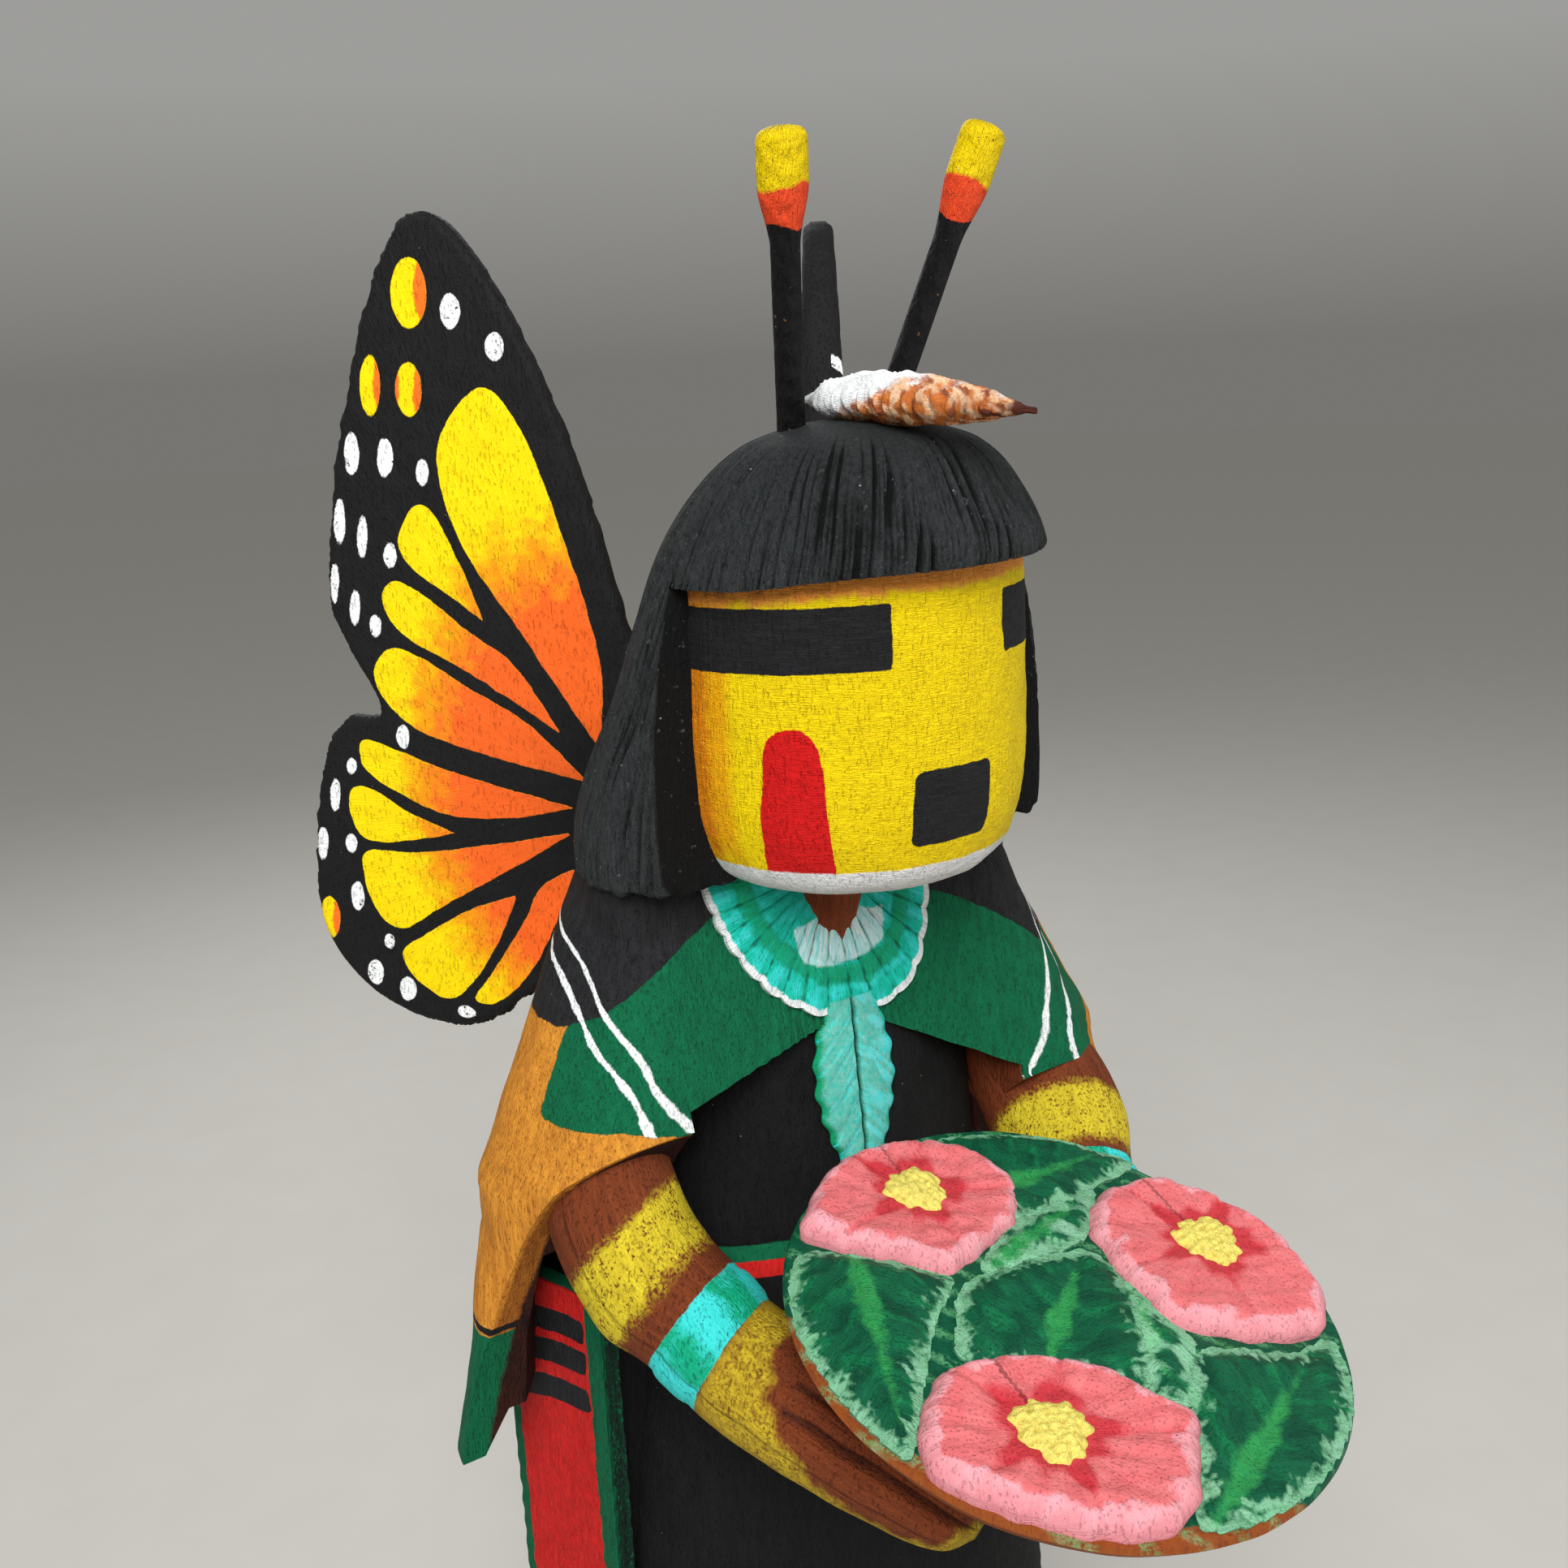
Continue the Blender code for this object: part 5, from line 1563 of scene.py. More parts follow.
@dataclass
class Dress(Carving):
    """Torso, dress, belt and the sash that hangs on the figure's right hip."""

    rows: Rows = (
        (33, 34, 24.5, 23.5),
        (36, 34.4, 25, 24),
        (50, 33.2, 23.6, 22.6),
        (71, 31.2, 21, 20),
        (92, 28.2, 17.6, 17.2),
        (106, 25.2, 15.4, 15.2),
        (118, 24, 14.4, 14.2),
        (129, 23.2, 13.2, 13.4),
        (138, 22.4, 11.2, 12.6),
        (150, 20.4, 9, 11.4),
        (160, 15, 7.2, 9.6),
    )
    body_y: float = 5.0
    sides: int = 200
    steps: int = 130
    hem_bands: Pair = (37.4, 40.0)
    belt: Pair = (105.0, 121.8)
    belt_proud: float = 0.9
    sash_edge: Pair = (-33.2, -0.8)
    sash_turn: float = 20.0
    sash_width: float = 15.6
    sash_thick: float = 2.4
    sash_heights: Pair = (50.0, 118.5)
    bars: tuple[float, ...] = (114.0, 109.8, 104.8)

    def build(self) -> None:
        """Make the dress, the belt and the sash."""
        self.build_dress()
        self.build_belt()
        self.build_sash()

    def build_dress(self) -> None:
        """Make torso and dress in one."""
        angle = around(self.sides)
        rings = []
        for z in np.linspace(self.rows[0][0], self.rows[-1][0], self.steps):
            rings.append(level_ring(z, self.body_y, oval(angle, *eased(self.rows, z))))
        rings = np.array(rings)
        flat = rings.reshape(-1, 3)
        swell = 0.2 * waves(flat, 12.0, 41) + 0.1 * waves(flat, 3.6, 42) + 0.05 * waves(flat, 1.4, 43)
        away = (flat - np.array([0, self.body_y, 0])) * np.array([1, 1, 0])
        flat = flat + away / np.linalg.norm(away, axis=1)[:, None] * swell[:, None]
        skin = Skin.from_rings(flat.reshape(rings.shape))
        z = rings[:, :, 2]
        green, red = self.hem_bands
        skin.spread(hem_green=z - green, hem_red=z - red)
        self.show("dress", skin, DRESS_PAINT)

    def build_belt(self) -> None:
        """Make the belt, a band a little proud of the dress."""
        low, high = self.belt
        angle = around(self.sides)
        rings = []
        for t in np.linspace(0, 1, 30):
            z = low + (high - low) * t
            proud = self.belt_proud * min(1.0, 0.25 + 6 * min(t, 1 - t))
            wide, front, back = eased(self.rows, z)
            rings.append(level_ring(z, self.body_y, oval(angle, wide + proud, front + proud, back + proud)))
        rings = np.array(rings)
        skin = Skin.from_rings(rings)
        z = rings[:, :, 2]
        coats = []
        for name, middle, half, colours in (
            ("top_green", 120.95, 0.85, (Tint.GREEN, Tint.GREEN_DEEP)),
            ("top_red", 119.1, 1.0, (Tint.BRICK, Tint.BRICK_DEEP)),
            ("low_green", 106.0, 0.8, (Tint.GREEN, Tint.GREEN_DEEP)),
            ("low_red", 107.9, 0.9, (Tint.BRICK, Tint.BRICK_DEEP)),
        ):
            skin.spread(**{name: z - middle})
            coats.append(Coat(name, *colours, wobble=0.1, half=half))
        paint = Paint("belt paint", Tint.PITCH, Tint.SOOT, tuple(coats), stroke=0.5, fibre=0.2, relief=0.1)
        self.show("belt", skin, paint)

    def build_sash(self) -> None:
        """Make the flat end of the sash, and the wood left between it and the dress."""
        turn = math.radians(self.sash_turn)
        along = np.array([-math.sin(turn), math.cos(turn)])
        inward = np.array([math.cos(turn), math.sin(turn)])
        front = np.array(self.sash_edge)
        half = np.array([self.sash_width / 2, self.sash_thick / 2])
        base = curve_through(
            [
                (-1, -0.7), (-0.93, -1), (0, -1), (0.93, -1), (1, -0.7), (1, 0.7), (0.9, 1), (-0.9, 1),
                (-1, 0.7),
            ],
            16, closed=True,
        )
        low, high = self.sash_heights
        heights = np.linspace(low, high, 150)
        rings, across, deep = [], [], []
        for z in heights:
            u, d = (base * half + half).T
            ragged = 0.12 * waves(stacked(u, z), 4.0, 45)
            fringe = 0.5 * (np.abs(np.sin(u * math.tau / 2.4)) ** 0.4 - 1) * ease(-z, -56.5, -55.5)
            out = d + ragged - np.where(d < 0.4, fringe, 0)
            plan = front + u[:, None] * along + out[:, None] * inward
            rings.append(stacked(*plan.T, z))
            across.append(u)
            deep.append(d)
        skin = Skin.from_rings(np.array(rings))
        u, d, z = np.array(across), np.array(deep), np.array(rings)[:, :, 2]
        bars = []
        for level in self.bars:
            middle = level - 0.13 * (u - 3) + 0.45 * np.sin((u - 3) / 10 * math.pi) - 0.3
            bars.append(box_distance(u - 8.3, z - middle, (5.9, 1.55), 0.6))
        skin.spread(
            red=np.maximum(np.maximum(2.1 - u, u - self.sash_width + 1.2), d - 0.5),
            bars=np.maximum(np.minimum.reduce(bars), d - 0.5),
            edge=np.maximum(0.55 - d, u - 2),
            fringe=np.maximum(z - 56.2, d - 0.7),
        )
        self.show("sash", skin, SASH_PAINT)
        corners = [
            front + inward * 2.2 + along * 1.6, np.array([-18.0, 4.0]), np.array([-18.0, 14.0]),
            front + inward * 2.2 + along * (self.sash_width - 1.6),
        ]
        walls = np.vstack([
            np.linspace(a, b, 9)[:-1] for a, b in zip(corners, corners[1:] + corners[:1])
        ])
        rings = np.array([stacked(*walls.T, z) for z in heights[2::3]])
        root = Skin.from_rings(rings)
        root.points[:, :2] += 0.12 * waves(root.points, 4.0, 46)[:, None]
        self.show("sash_root", root, SOOT_PAINT)


@dataclass
class Arm(Carving):
    """A forearm and its cupped hand, palm up under the plaque."""

    name: str = "arm_right"
    elbow: tuple[float, ...] = (-33.8, -3.8, 130.6, 8.2)
    wrist: tuple[float, ...] = (-25.4, -19.2, 118.2, 6.8)
    tips: Triple = (-13.0, -44.0, 109.0)
    band: Pair = (3.4, 10.6)
    bracelet: Pair = (14.4, 20.4)
    outward: float = 1.0
    waist: float = 0.93
    hand: Pair = (7.4, 6.4)
    lift: float = 0.8
    stub: tuple[Triple, Triple] = ((5.5, 4.5, 12.0), (2.2, 1.6, 4.2))
    finger_gaps: Pair = (30, 56)
    palm_edge: Outline = (
        (3.5, 7.6), (5, 4.8), (7, 2.6), (9.1, 1), (13.5, -1.1), (18.8, -2.3), (23, -2.1), (26, -1),
        (29.0, 1.0),
    )
    sides: int = 128
    steps: int = 26

    def stations(self) -> tuple[Array, Array]:
        """Where the tube runs: centre, half width, half height and direction, with lengths.

        Returns:
            The smooth rows of ten numbers, and how far along the arm each lies.
        """
        elbow, wrist, tips = (np.array(p[:3]) for p in (self.elbow, self.wrist, self.tips))
        reach = (wrist - elbow) / np.linalg.norm(wrist - elbow)
        palm = (tips - wrist) / np.linalg.norm(tips - wrist)
        turn = (reach + palm) / np.linalg.norm(reach + palm)
        start, end = self.elbow[3], self.wrist[3]
        wide, deep = self.hand
        up = np.array([0, 0, self.lift])
        steep = reach * 0.4 - np.array([0, 0, 0.8])
        inside, under = (elbow + np.array([x * self.outward, y, z]) for x, y, z in self.stub)
        rows = [
            (inside, start * 0.66, start * 0.66, steep),
            (under, start * 0.92, start * 0.92, (steep + reach) / 2),
            (elbow + (wrist - elbow) * 0.35, start * self.waist, start * self.waist, reach),
            (elbow + (wrist - elbow) * 0.7, end, end, reach),
            (wrist, end, end, turn),
            (wrist + (tips - wrist) * 0.22 + up * 0.4, wide, deep + 0.6, palm),
            (wrist + (tips - wrist) * 0.5 + up, wide + 0.4, deep, palm),
            (wrist + (tips - wrist) * 0.78 + up, wide - 0.4, deep - 1.0, palm),
            (wrist + (tips - wrist) * 0.93 + up * 0.6, wide - 1.8, deep - 2.6, palm),
            (tips + up * 0.2, 2.6, 1.0, palm),
        ]
        rough = np.array([[*c, w, h, *d] for c, w, h, d in rows])
        fine = curve_through(rough, self.steps)
        steps = np.linalg.norm(np.diff(fine[:, :3], axis=0), axis=1)
        length = np.concatenate([[0], np.cumsum(steps)])
        return fine, length - length[2 * self.steps] + np.linalg.norm(wrist - elbow) * 0.35

    def build(self) -> None:
        """Make the arm."""
        fine, length = self.stations()
        wrist_at = float(np.linalg.norm(np.array(self.wrist[:3]) - np.array(self.elbow[:3])))
        angle = around(self.sides)
        rows, rises, sideways = [], [], []
        for row, s in zip(fine, length):
            centre, wide, tall, way = row[:3], row[3], row[4], row[5:] / np.linalg.norm(row[5:])
            level = np.array([way[1], -way[0], 0])
            level = level / np.linalg.norm(level) * self.outward
            rise = np.array([0, 0, 1.0]) - way * way[2]
            rise /= np.linalg.norm(rise)
            hand = s - wrist_at
            low, high = self.bracelet
            shrink = self.cupping(angle, hand) + 0.06 * max(0.0, 1 - ((s - (low + high) / 2) / 2.3) ** 4)
            side, lift = wide * np.cos(angle) * shrink, tall * np.sin(angle) * shrink
            rows.append(centre + side[:, None] * level + lift[:, None] * rise)
            rises.append(rows[-1][:, 2] - centre[2])
            sideways.append(side)
        skin = Skin.from_rings(np.array(rows))
        skin.points += 0.06 * waves(skin.points, 5.0, 51)[:, None]
        rise, side = np.array(rises), np.array(sideways)
        s = length[:, None] + 0.08 * rise
        hand = s - wrist_at
        band, bracelet = (span_distance(s, *span) for span in (self.band, self.bracelet))
        cuff = self.bracelet[1]
        palm = (np.interp(hand, *zip(*self.palm_edge)) - rise) * 0.8
        skin.spread(
            band=band,
            band_haze=band - 0.9,
            knuckles=cuff + 0.8 - s,
            bracelet=bracelet,
            stones=1.75 - np.abs(np.sin(angle * 2.5 + 0.9)) * 2.2 + np.maximum(bracelet, 0) * 3,
            hand=cuff - s,
            palm=np.maximum(palm, 3.2 - hand),
            # Painted shade in the finger grooves
            creases=self.finger_shade_distance(angle, hand),
        )
        skin.lay_along(s, angle * 7, rise * 0.2)
        self.show(self.name, skin, ARM_PAINT)

    def cupping(self, angle: Array, hand: float) -> Array:
        """Hollow the palm and part the fingers.

        Args:
            angle: places round the hand, 0 on its outer side and a quarter turn on top.
            hand: how far past the wrist.

        Returns:
            The share of the plain radius that is left at each place.
        """
        hollow = 0.13 * ease(np.sin(angle), 0.15, 0.85) * ease(hand, 3.0, 8.0)
        gaps = (*self.finger_gaps, -28, -52)
        grooves = sum(np.exp(-(((angle - math.radians(a)) / 0.07) ** 2)) for a in gaps)
        return 1 - hollow - 0.2 * grooves * ease(hand, 7.0, 13.0)

    def finger_shade_distance(self, angle: Array, hand: Array) -> Array:
        """Distance to the painted shade in the grooves between the fingers."""
        lines = [np.abs(angle - math.radians(a)) * 6.5 - 0.4 for a in self.finger_gaps]
        return np.maximum(np.minimum(*lines), 8.0 - hand)


@dataclass
class Legs(Carving):
    """Short legs under the dress, in plain moccasins."""

    leg_x: float = 11.0
    body_y: float = 5.0
    floor: float = 12.3
    leg: Outline = ((0.2, 6.6), (11.7, 6.6), (27.7, 8.2))
    foot: Triple = (31.0, 15.0, 11.0)

    def build(self) -> None:
        """Make both legs and both moccasins."""
        for side, hand in ((-1, "right"), (1, "left")):
            line = curve_through(self.leg, 12)
            rings = np.array([level_ring(self.floor + z, self.body_y + 1, np.full(60, r)) for z, r in line])
            rings[:, :, 0] += side * self.leg_x
            self.show(f"leg_{hand}", Skin.from_rings(rings), SKIN_PAINT)
            self.build_foot(side, hand)

    def build_foot(self, side: int, hand: str) -> None:
        """Make one moccasin.

        Args:
            side: -1 for the figure's right, 1 for its left.
            hand: the side's name.
        """
        long, wide, high = self.foot
        angle = around(90)
        profile = curve_through([(0.0, 0.94), (0.25, 1.0), (0.55, 0.92), (0.82, 0.66), (1.0, 0.3)], 9)
        rows = []
        for rise, share in profile:
            reach = long / 2 * (share + 0.1 * (1 - share))
            x = side * self.leg_x + wide / 2 * share * np.sin(angle)
            y = self.body_y + 9 - long / 2 - reach * np.cos(angle) + 4 * rise
            rows.append(stacked(x, y, self.floor + high * rise))
        rings = np.array(rows)
        skin = Skin.from_rings(rings)
        height = rings[:, :, 2] - self.floor
        skin.spread(sole=height - 1.7, cuff=8.4 - height)
        self.show(f"moccasin_{hand}", skin, MOCCASIN_PAINT)


@dataclass
class Wings(Carving):
    """The two butterfly wings: boards with rounded edges and painted cells."""

    slot: str = "wing_paint"
    sweep: float = 49.0
    left_turn: float = 6.2
    left_shift: float = -0.7
    edge_dot: tuple[Pair, Pair] = ((29.0, 219.0), (1.3, 2.6))
    thick: tuple[Pair, Pair] = ((2.6, 2.6), (5.8, 4.0))
    origin_y: float = 4.2
    spacing: float = 0.5
    outline: Outline = (
        (16, 176), (19.8, 189), (25.4, 210.4), (32, 226.4), (38.4, 236), (43, 237.4), (47, 233.6),
        (52.2, 222.2), (56.6, 207.6), (58.9, 194.2), (57.2, 188), (53.5, 179.7), (58.9, 178.3),
        (63, 171.6), (65.6, 156.6), (64.3, 148.2), (58.4, 141.4), (49.4, 138), (42, 139.3), (36, 143.5),
        (24, 151), (15, 160),
    )
    cells: tuple[Outline, ...] = (
        (
            (24.2, 175.4), (23.5, 186.5), (27, 201), (31.2, 213.3), (36, 218.2), (42, 211.6), (40.4, 201),
            (33, 189.2),
        ),
        (
            (38, 191), (40.6, 198), (43.3, 203.8), (45.8, 204.9), (48.3, 201.2), (47.2, 197.8),
            (42.5, 194.3),
        ),
        (
            (29.2, 177.5), (34.5, 185.7), (40, 189.7), (46, 194.4), (49.6, 196), (51.4, 193.6),
            (49, 189.4), (40, 184.4),
        ),
        (
            (26.2, 171.6), (33.2, 178.4), (41, 183), (47, 186.6), (51, 187.7), (53.6, 184.8),
            (52.2, 180.8), (47.5, 177.1), (37, 174),
        ),
        (
            (28.2, 168.3), (36, 170.1), (45, 172.5), (52.6, 175.2), (56.5, 175.9), (56.4, 172.4),
            (52, 169.3), (45, 166.6), (36, 166.7),
        ),
        (
            (44.6, 164.3), (51.2, 167), (55.6, 169.6), (58.5, 169.6), (59.2, 166.2), (57.2, 162.9),
            (51, 163.1),
        ),
        (
            (28.6, 165.1), (39.2, 163.1), (50, 161.5), (57.4, 161.4), (58.3, 158), (56.8, 153),
            (53.4, 151.1), (46.5, 155), (36, 160.7),
        ),
        (
            (36.9, 156.6), (43.4, 154.3), (50, 150.6), (53.8, 148), (52.5, 144.3), (47.8, 141.7),
            (43.5, 145.1), (39.6, 151),
        ),
        (
            (28.4, 160.6), (33.4, 157.9), (36.4, 152.8), (41.2, 146), (44.2, 142), (41, 141.8),
            (36, 146.2), (31.6, 153.6),
        ),
    )
    root: Pair = (26.0, 170.0)
    blush: Pair = (24.6, 20.4)
    # Spots: place out and up, width, height
    gold_spots: Rows = (
        (43.8, 229, 4.6, 7.8), (50, 218.9, 2.7, 6.9), (45, 218.3, 3.4, 6.2), (64, 152, 2.9, 5.8),
    )
    white_spots: Rows = (
        (38.8, 226.8, 2.6, 3.9), (33.6, 222.7, 2.4, 3.2), (53.4, 211.1, 2, 4.9), (49, 210.6, 2.1, 4.5),
        (44.2, 208.8, 1.7, 3.2), (56.1, 203, 1.6, 5.6), (53.2, 201.2, 1.5, 4.9), (49.7, 199.1, 1.8, 3.2),
        (57.7, 195.7, 1.3, 4.7), (55.2, 192.7, 1.4, 4.5), (52.7, 190.5, 1.6, 2.7), (50.5, 176.6, 1.9, 3),
        (58.2, 172.6, 1.4, 2.2), (61.1, 168.7, 1.6, 4.2), (63.8, 162.1, 1.8, 4.3), (59.6, 162.3, 1.7, 2.5),
        (59.6, 155.2, 2, 3.9), (55.7, 149.1, 1.5, 2.2), (58.2, 144.7, 2.4, 3.6), (53.7, 142.7, 2.4, 3.4),
        (45.5, 140.1, 2.6, 1.7),
    )

    def build(self) -> None:
        """Make both wings from one filled outline."""
        outline = curve_through(self.outline, 24, closed=True)
        flat, faces = filled_outline(outline, self.spacing)
        edge = -outline_distance(flat, outline)
        fields = self.paint_fields(flat)
        for side, hand in ((-1, "right"), (1, "left")):
            self.node = f"wing_{hand}"
            self.show(self.node, self.board(side, flat, faces, edge, fields), WING_PAINT, 60)

    def board(self, side: int, flat: Array, faces: Faces, edge: Array, fields: dict[str, Array]) -> Skin:
        """Thicken the filled outline into one wing.

        Args:
            side: -1 for the figure's right, 1 for its left.
            flat: places out and up.
            faces: triangles over them.
            edge: how far each lies in from the outline.
            fields: paint distances at the places.

        Returns:
            The closed skin.
        """
        thick = np.interp(flat[:, 1], (212.0, 236.0), self.thick[side > 0])
        half = thick / 2 * np.sqrt(1 - (1 - np.clip(0.12 + edge / 1.1, 0, 1)) ** 2)
        uneven = 0.08 * waves(flat, 6.0, 61) * np.clip(edge, 0, 1)
        rough = (0.16 * waves(flat, 4.0, 63) + 0.13 * waves(flat, 0.9, 62)) * ease(-edge, -0.5, 0.0)
        sweep = math.radians(self.sweep)
        points = []
        for face in (1, -1):
            out = flat[:, 0] + rough
            offset = face * (half + uneven)
            points.append(stacked(
                side * (out * math.cos(sweep) + offset * math.sin(sweep)),
                self.origin_y + out * math.sin(sweep) - offset * math.cos(sweep),
                flat[:, 1] + rough,
            ))
        count = len(flat)
        joined = [*faces, *[tuple(i + count for i in reversed(f)) for f in faces]]
        joined += [(b, a, a + count, b + count) for a, b in self.loose_edges(faces)]
        skin = Skin(np.vstack(points), joined, {k: np.tile(v, 2) for k, v in fields.items()})
        if side > 0:
            self.turn_about_tip(skin)
            white = skin.fields["white"]
            white[:count] = np.minimum(white[:count], spot_distance(flat, *self.edge_dot, 8))
        away = flat - np.array(self.root)
        lay = stacked(np.hypot(*away.T), np.arctan2(away[:, 1], away[:, 0]) * 22, 0.0)
        skin.lay = np.tile(lay, (2, 1))
        return skin.outward()

    def turn_about_tip(self, skin: Skin) -> None:
        """Turn the left wing round its tip, and move it in, until its edge shows as in the photograph.

        Args:
            skin: the wing, as far out as the right one.
        """
        out, sweep, turn = self.outline[5][0], math.radians(self.sweep), math.radians(self.left_turn)
        tip = np.array([out * math.cos(sweep), self.origin_y + out * math.sin(sweep)])
        flat = skin.points[:, :2] - tip
        across, back = flat.T
        skin.points[:, 0] = tip[0] + across * math.cos(turn) - back * math.sin(turn) + self.left_shift
        skin.points[:, 1] = tip[1] + across * math.sin(turn) + back * math.cos(turn)
        skin.points[:, 2] -= 0.6 * ease(skin.points[:, 2], 222.0, 237.0)

    @staticmethod
    def loose_edges(faces: Faces) -> list[tuple[int, int]]:
        """Edges that only one triangle has, each in that triangle's order."""
        found = {(f[i], f[(i + 1) % 3]) for f in faces for i in range(3)}
        return sorted((a, b) for a, b in found if (b, a) not in found)

    def paint_fields(self, flat: Array) -> dict[str, Array]:
        """Distances to the cells, their blush and the spots.

        Args:
            flat: places out and up.

        Returns:
            The fields by name.
        """
        drawn = [curve_through([*corners, corners[0]], 6)[:-1] for corners in self.cells]
        away = flat - np.array(self.root)
        reach = np.hypot(away[:, 0], away[:, 1] * 0.76)
        gold = self.gold_spots
        inner = [(x - w * 0.8, y, w * 1.3, h * 1.4) for x, y, w, h in gold]
        spots = {"gold": (gold, 6), "gold_blush": (inner, 6), "white": (self.white_spots, 8)}
        return {
            "cells": np.minimum.reduce([outline_distance(flat, cell) for cell in drawn]).clip(max=FAR),
            "blush": reach - self.blush[0],
            "ember": reach - self.blush[1],
        } | {
            name: np.minimum.reduce([spot_distance(flat, row[:2], row[2:], tilt) for row in rows])
            for name, (rows, tilt) in spots.items()
        }


@dataclass
class Antennae(Carving):
    """The two paddles on the crown."""

    slot: str = "antenna_paint"
    ends: tuple[tuple[int, Triple, Triple], ...] = (
        (-1, (-6.2, -6.4, 207.5), (-11.4, -14.6, 240.8)),
        (1, (4, -4.8, 207), (13.3, -14.6, 242)),
    )
    stem: Pair = (1.5, 1.35)
    tip: Pair = (2.75, 1.6)
    stem_end: float = 0.7
    flare: float = 0.16
    bands: Pair = (0.746, 0.85)

    def build(self) -> None:
        """Make both antennae."""
        angle = around(48)
        for side, low, high in self.ends:
            hand = "right" if side < 0 else "left"
            self.node = f"antenna_{hand}"
            base, top = np.array(low), np.array(high)
            length = float(np.linalg.norm(top - base))
            way = (top - base) / length
            broad = np.array([1, 0, 0]) - way * way[0]
            broad /= np.linalg.norm(broad)
            thin = np.cross(way, broad)
            rows, place = [], []
            for t in np.concatenate([np.linspace(0, 0.93, 110), np.linspace(0.935, 1.0, 16)]):
                wide = ease(t, self.stem_end - 0.02, self.stem_end + self.flare)
                half = self.stem[0] + (self.tip[0] - self.stem[0]) * wide
                deep = self.stem[1] + (self.tip[1] - self.stem[1]) * wide
                closing = max(0.04, 1 - max(0.0, (t - 0.93) / 0.07) ** 5) ** 0.4
                ring = base + (top - base) * t
                ring = ring + broad * (half * closing * np.cos(angle))[:, None]
                rows.append(ring + thin * (deep * closing * np.sin(angle))[:, None])
                place.append([t * length])
            skin = Skin.from_rings(np.array(rows))
            chop = 0.09 * waves(skin.points, 2.4, 70 + side) + 0.05 * waves(skin.points, 0.9, 72 + side)
            skin.points += chop[:, None] * (broad * 0.8 + thin)
            s = np.array(place)
            uneven = 0.35 * np.cos(angle * 2 + side)
            red, yellow = self.bands
            skin.spread(red=red * length - s + uneven, yellow=yellow * length - s - uneven * 0.8)
            skin.lay_along(s, angle * 2, 0.0)
            self.show(self.node, skin, ANTENNA_PAINT)


@dataclass
class Feather(Carving):
    """The small feather that lies forward on the crown."""

    node: str = "crown_feather"
    slot: str = "feather_paint"
    root: Triple = (0.0, 1.0, 215.6)
    tip: Triple = (0.0, -36.6, 214.6)
    half: Pair = (4.2, 2.5)
    lift: float = 0.6
    rust_edge: Outline = ((0.13, -1.6), (0.22, -1.0), (0.44, -0.1), (0.64, 1.2))

    def build(self) -> None:
        """Make the feather."""
        root, tip = np.array(self.root), np.array(self.tip)
        length = float(np.linalg.norm(tip - root))
        angle = around(84)
        rows, shares = [], np.linspace(0, 1, 190)
        for t in shares:
            swell = math.sin(math.pi * min(t * 0.9 + 0.12, 1.0)) ** 0.8 * ease(t, -0.05, 0.24)
            lumps = waves(stacked(t * length, np.cos(angle) * 3, np.sin(angle) * 3), 3.6, 121)
            centre = root + (tip - root) * t + np.array([0, 0, self.lift * math.sin(math.pi * t)])
            wide, high = max(self.half[0] * swell, 0.22), max(self.half[1] * swell, 0.2)
            side = np.cos(angle)
            barbs = 0.12 * np.sin(math.tau * (t * length - 1.6 * np.abs(side) * wide) / 0.95 + 1.6 * lumps)
            full = min(1.0, swell * 2)
            barbs = barbs * full * ease(np.abs(side), 0.05, 0.3) + 0.22 * lumps * full
            edge = float(waves(np.array([[t * length]]), 1.5, 123)[0])
            ragged = 1 + 0.1 * ease(np.abs(side), 0.75, 1.0) * edge + 0.05 * lumps
            quill = 0.22 * np.exp(-((side * wide / 0.35) ** 2)) * (np.sin(angle) > 0)
            top = centre[2] + np.sin(angle) * (high + barbs) + quill
            rows.append(stacked(centre[0] - side * wide * ragged, centre[1], top))
        rings = np.array(rows)
        skin = Skin.from_rings(rings)
        t, up, side = shares[:, None], np.sin(angle), np.abs(np.cos(angle))
        slant = t * length - 3.4 * side + 1.1 * waves(rings, 5.0, 125)
        mottled = waves(rings * np.array([1, 0.7, 1]), 2.2, 127)
        skin.spread(
            rust=(up - np.interp(t, *zip(*self.rust_edge))) * 1.6,
            cream=0.6 * np.sin(slant * math.tau / 2.3) + 1.1 * mottled + 0.3 * (1 - t),
            bars=np.abs(np.mod(slant, 2.9) - 1.45) - 0.3 - 0.6 * mottled + 5 * np.maximum(0.42 - t, 0),
            tip=(0.93 - t) * length - 3.5 * np.maximum(mottled, 0) * ease(t, 0.6, 0.8),
        )
        skin.lay_along(slant, up * 2.5, side * 4 + slant * 0.5)
        self.show("crown_feather_carved", skin, FEATHER_PAINT)


@dataclass
class Flower:
    """One flower of the plaque, in the plaque's plane."""

    across: float
    back: float
    rim: float
    eye: float
    turn: float
    outline: Outline


@dataclass
class Leaf:
    """One leaf of the plaque: its outline, and where its midrib runs."""

    outline: Outline
    base: Pair
    tip: Pair
    rise: float = 0.9
    pale: bool = False


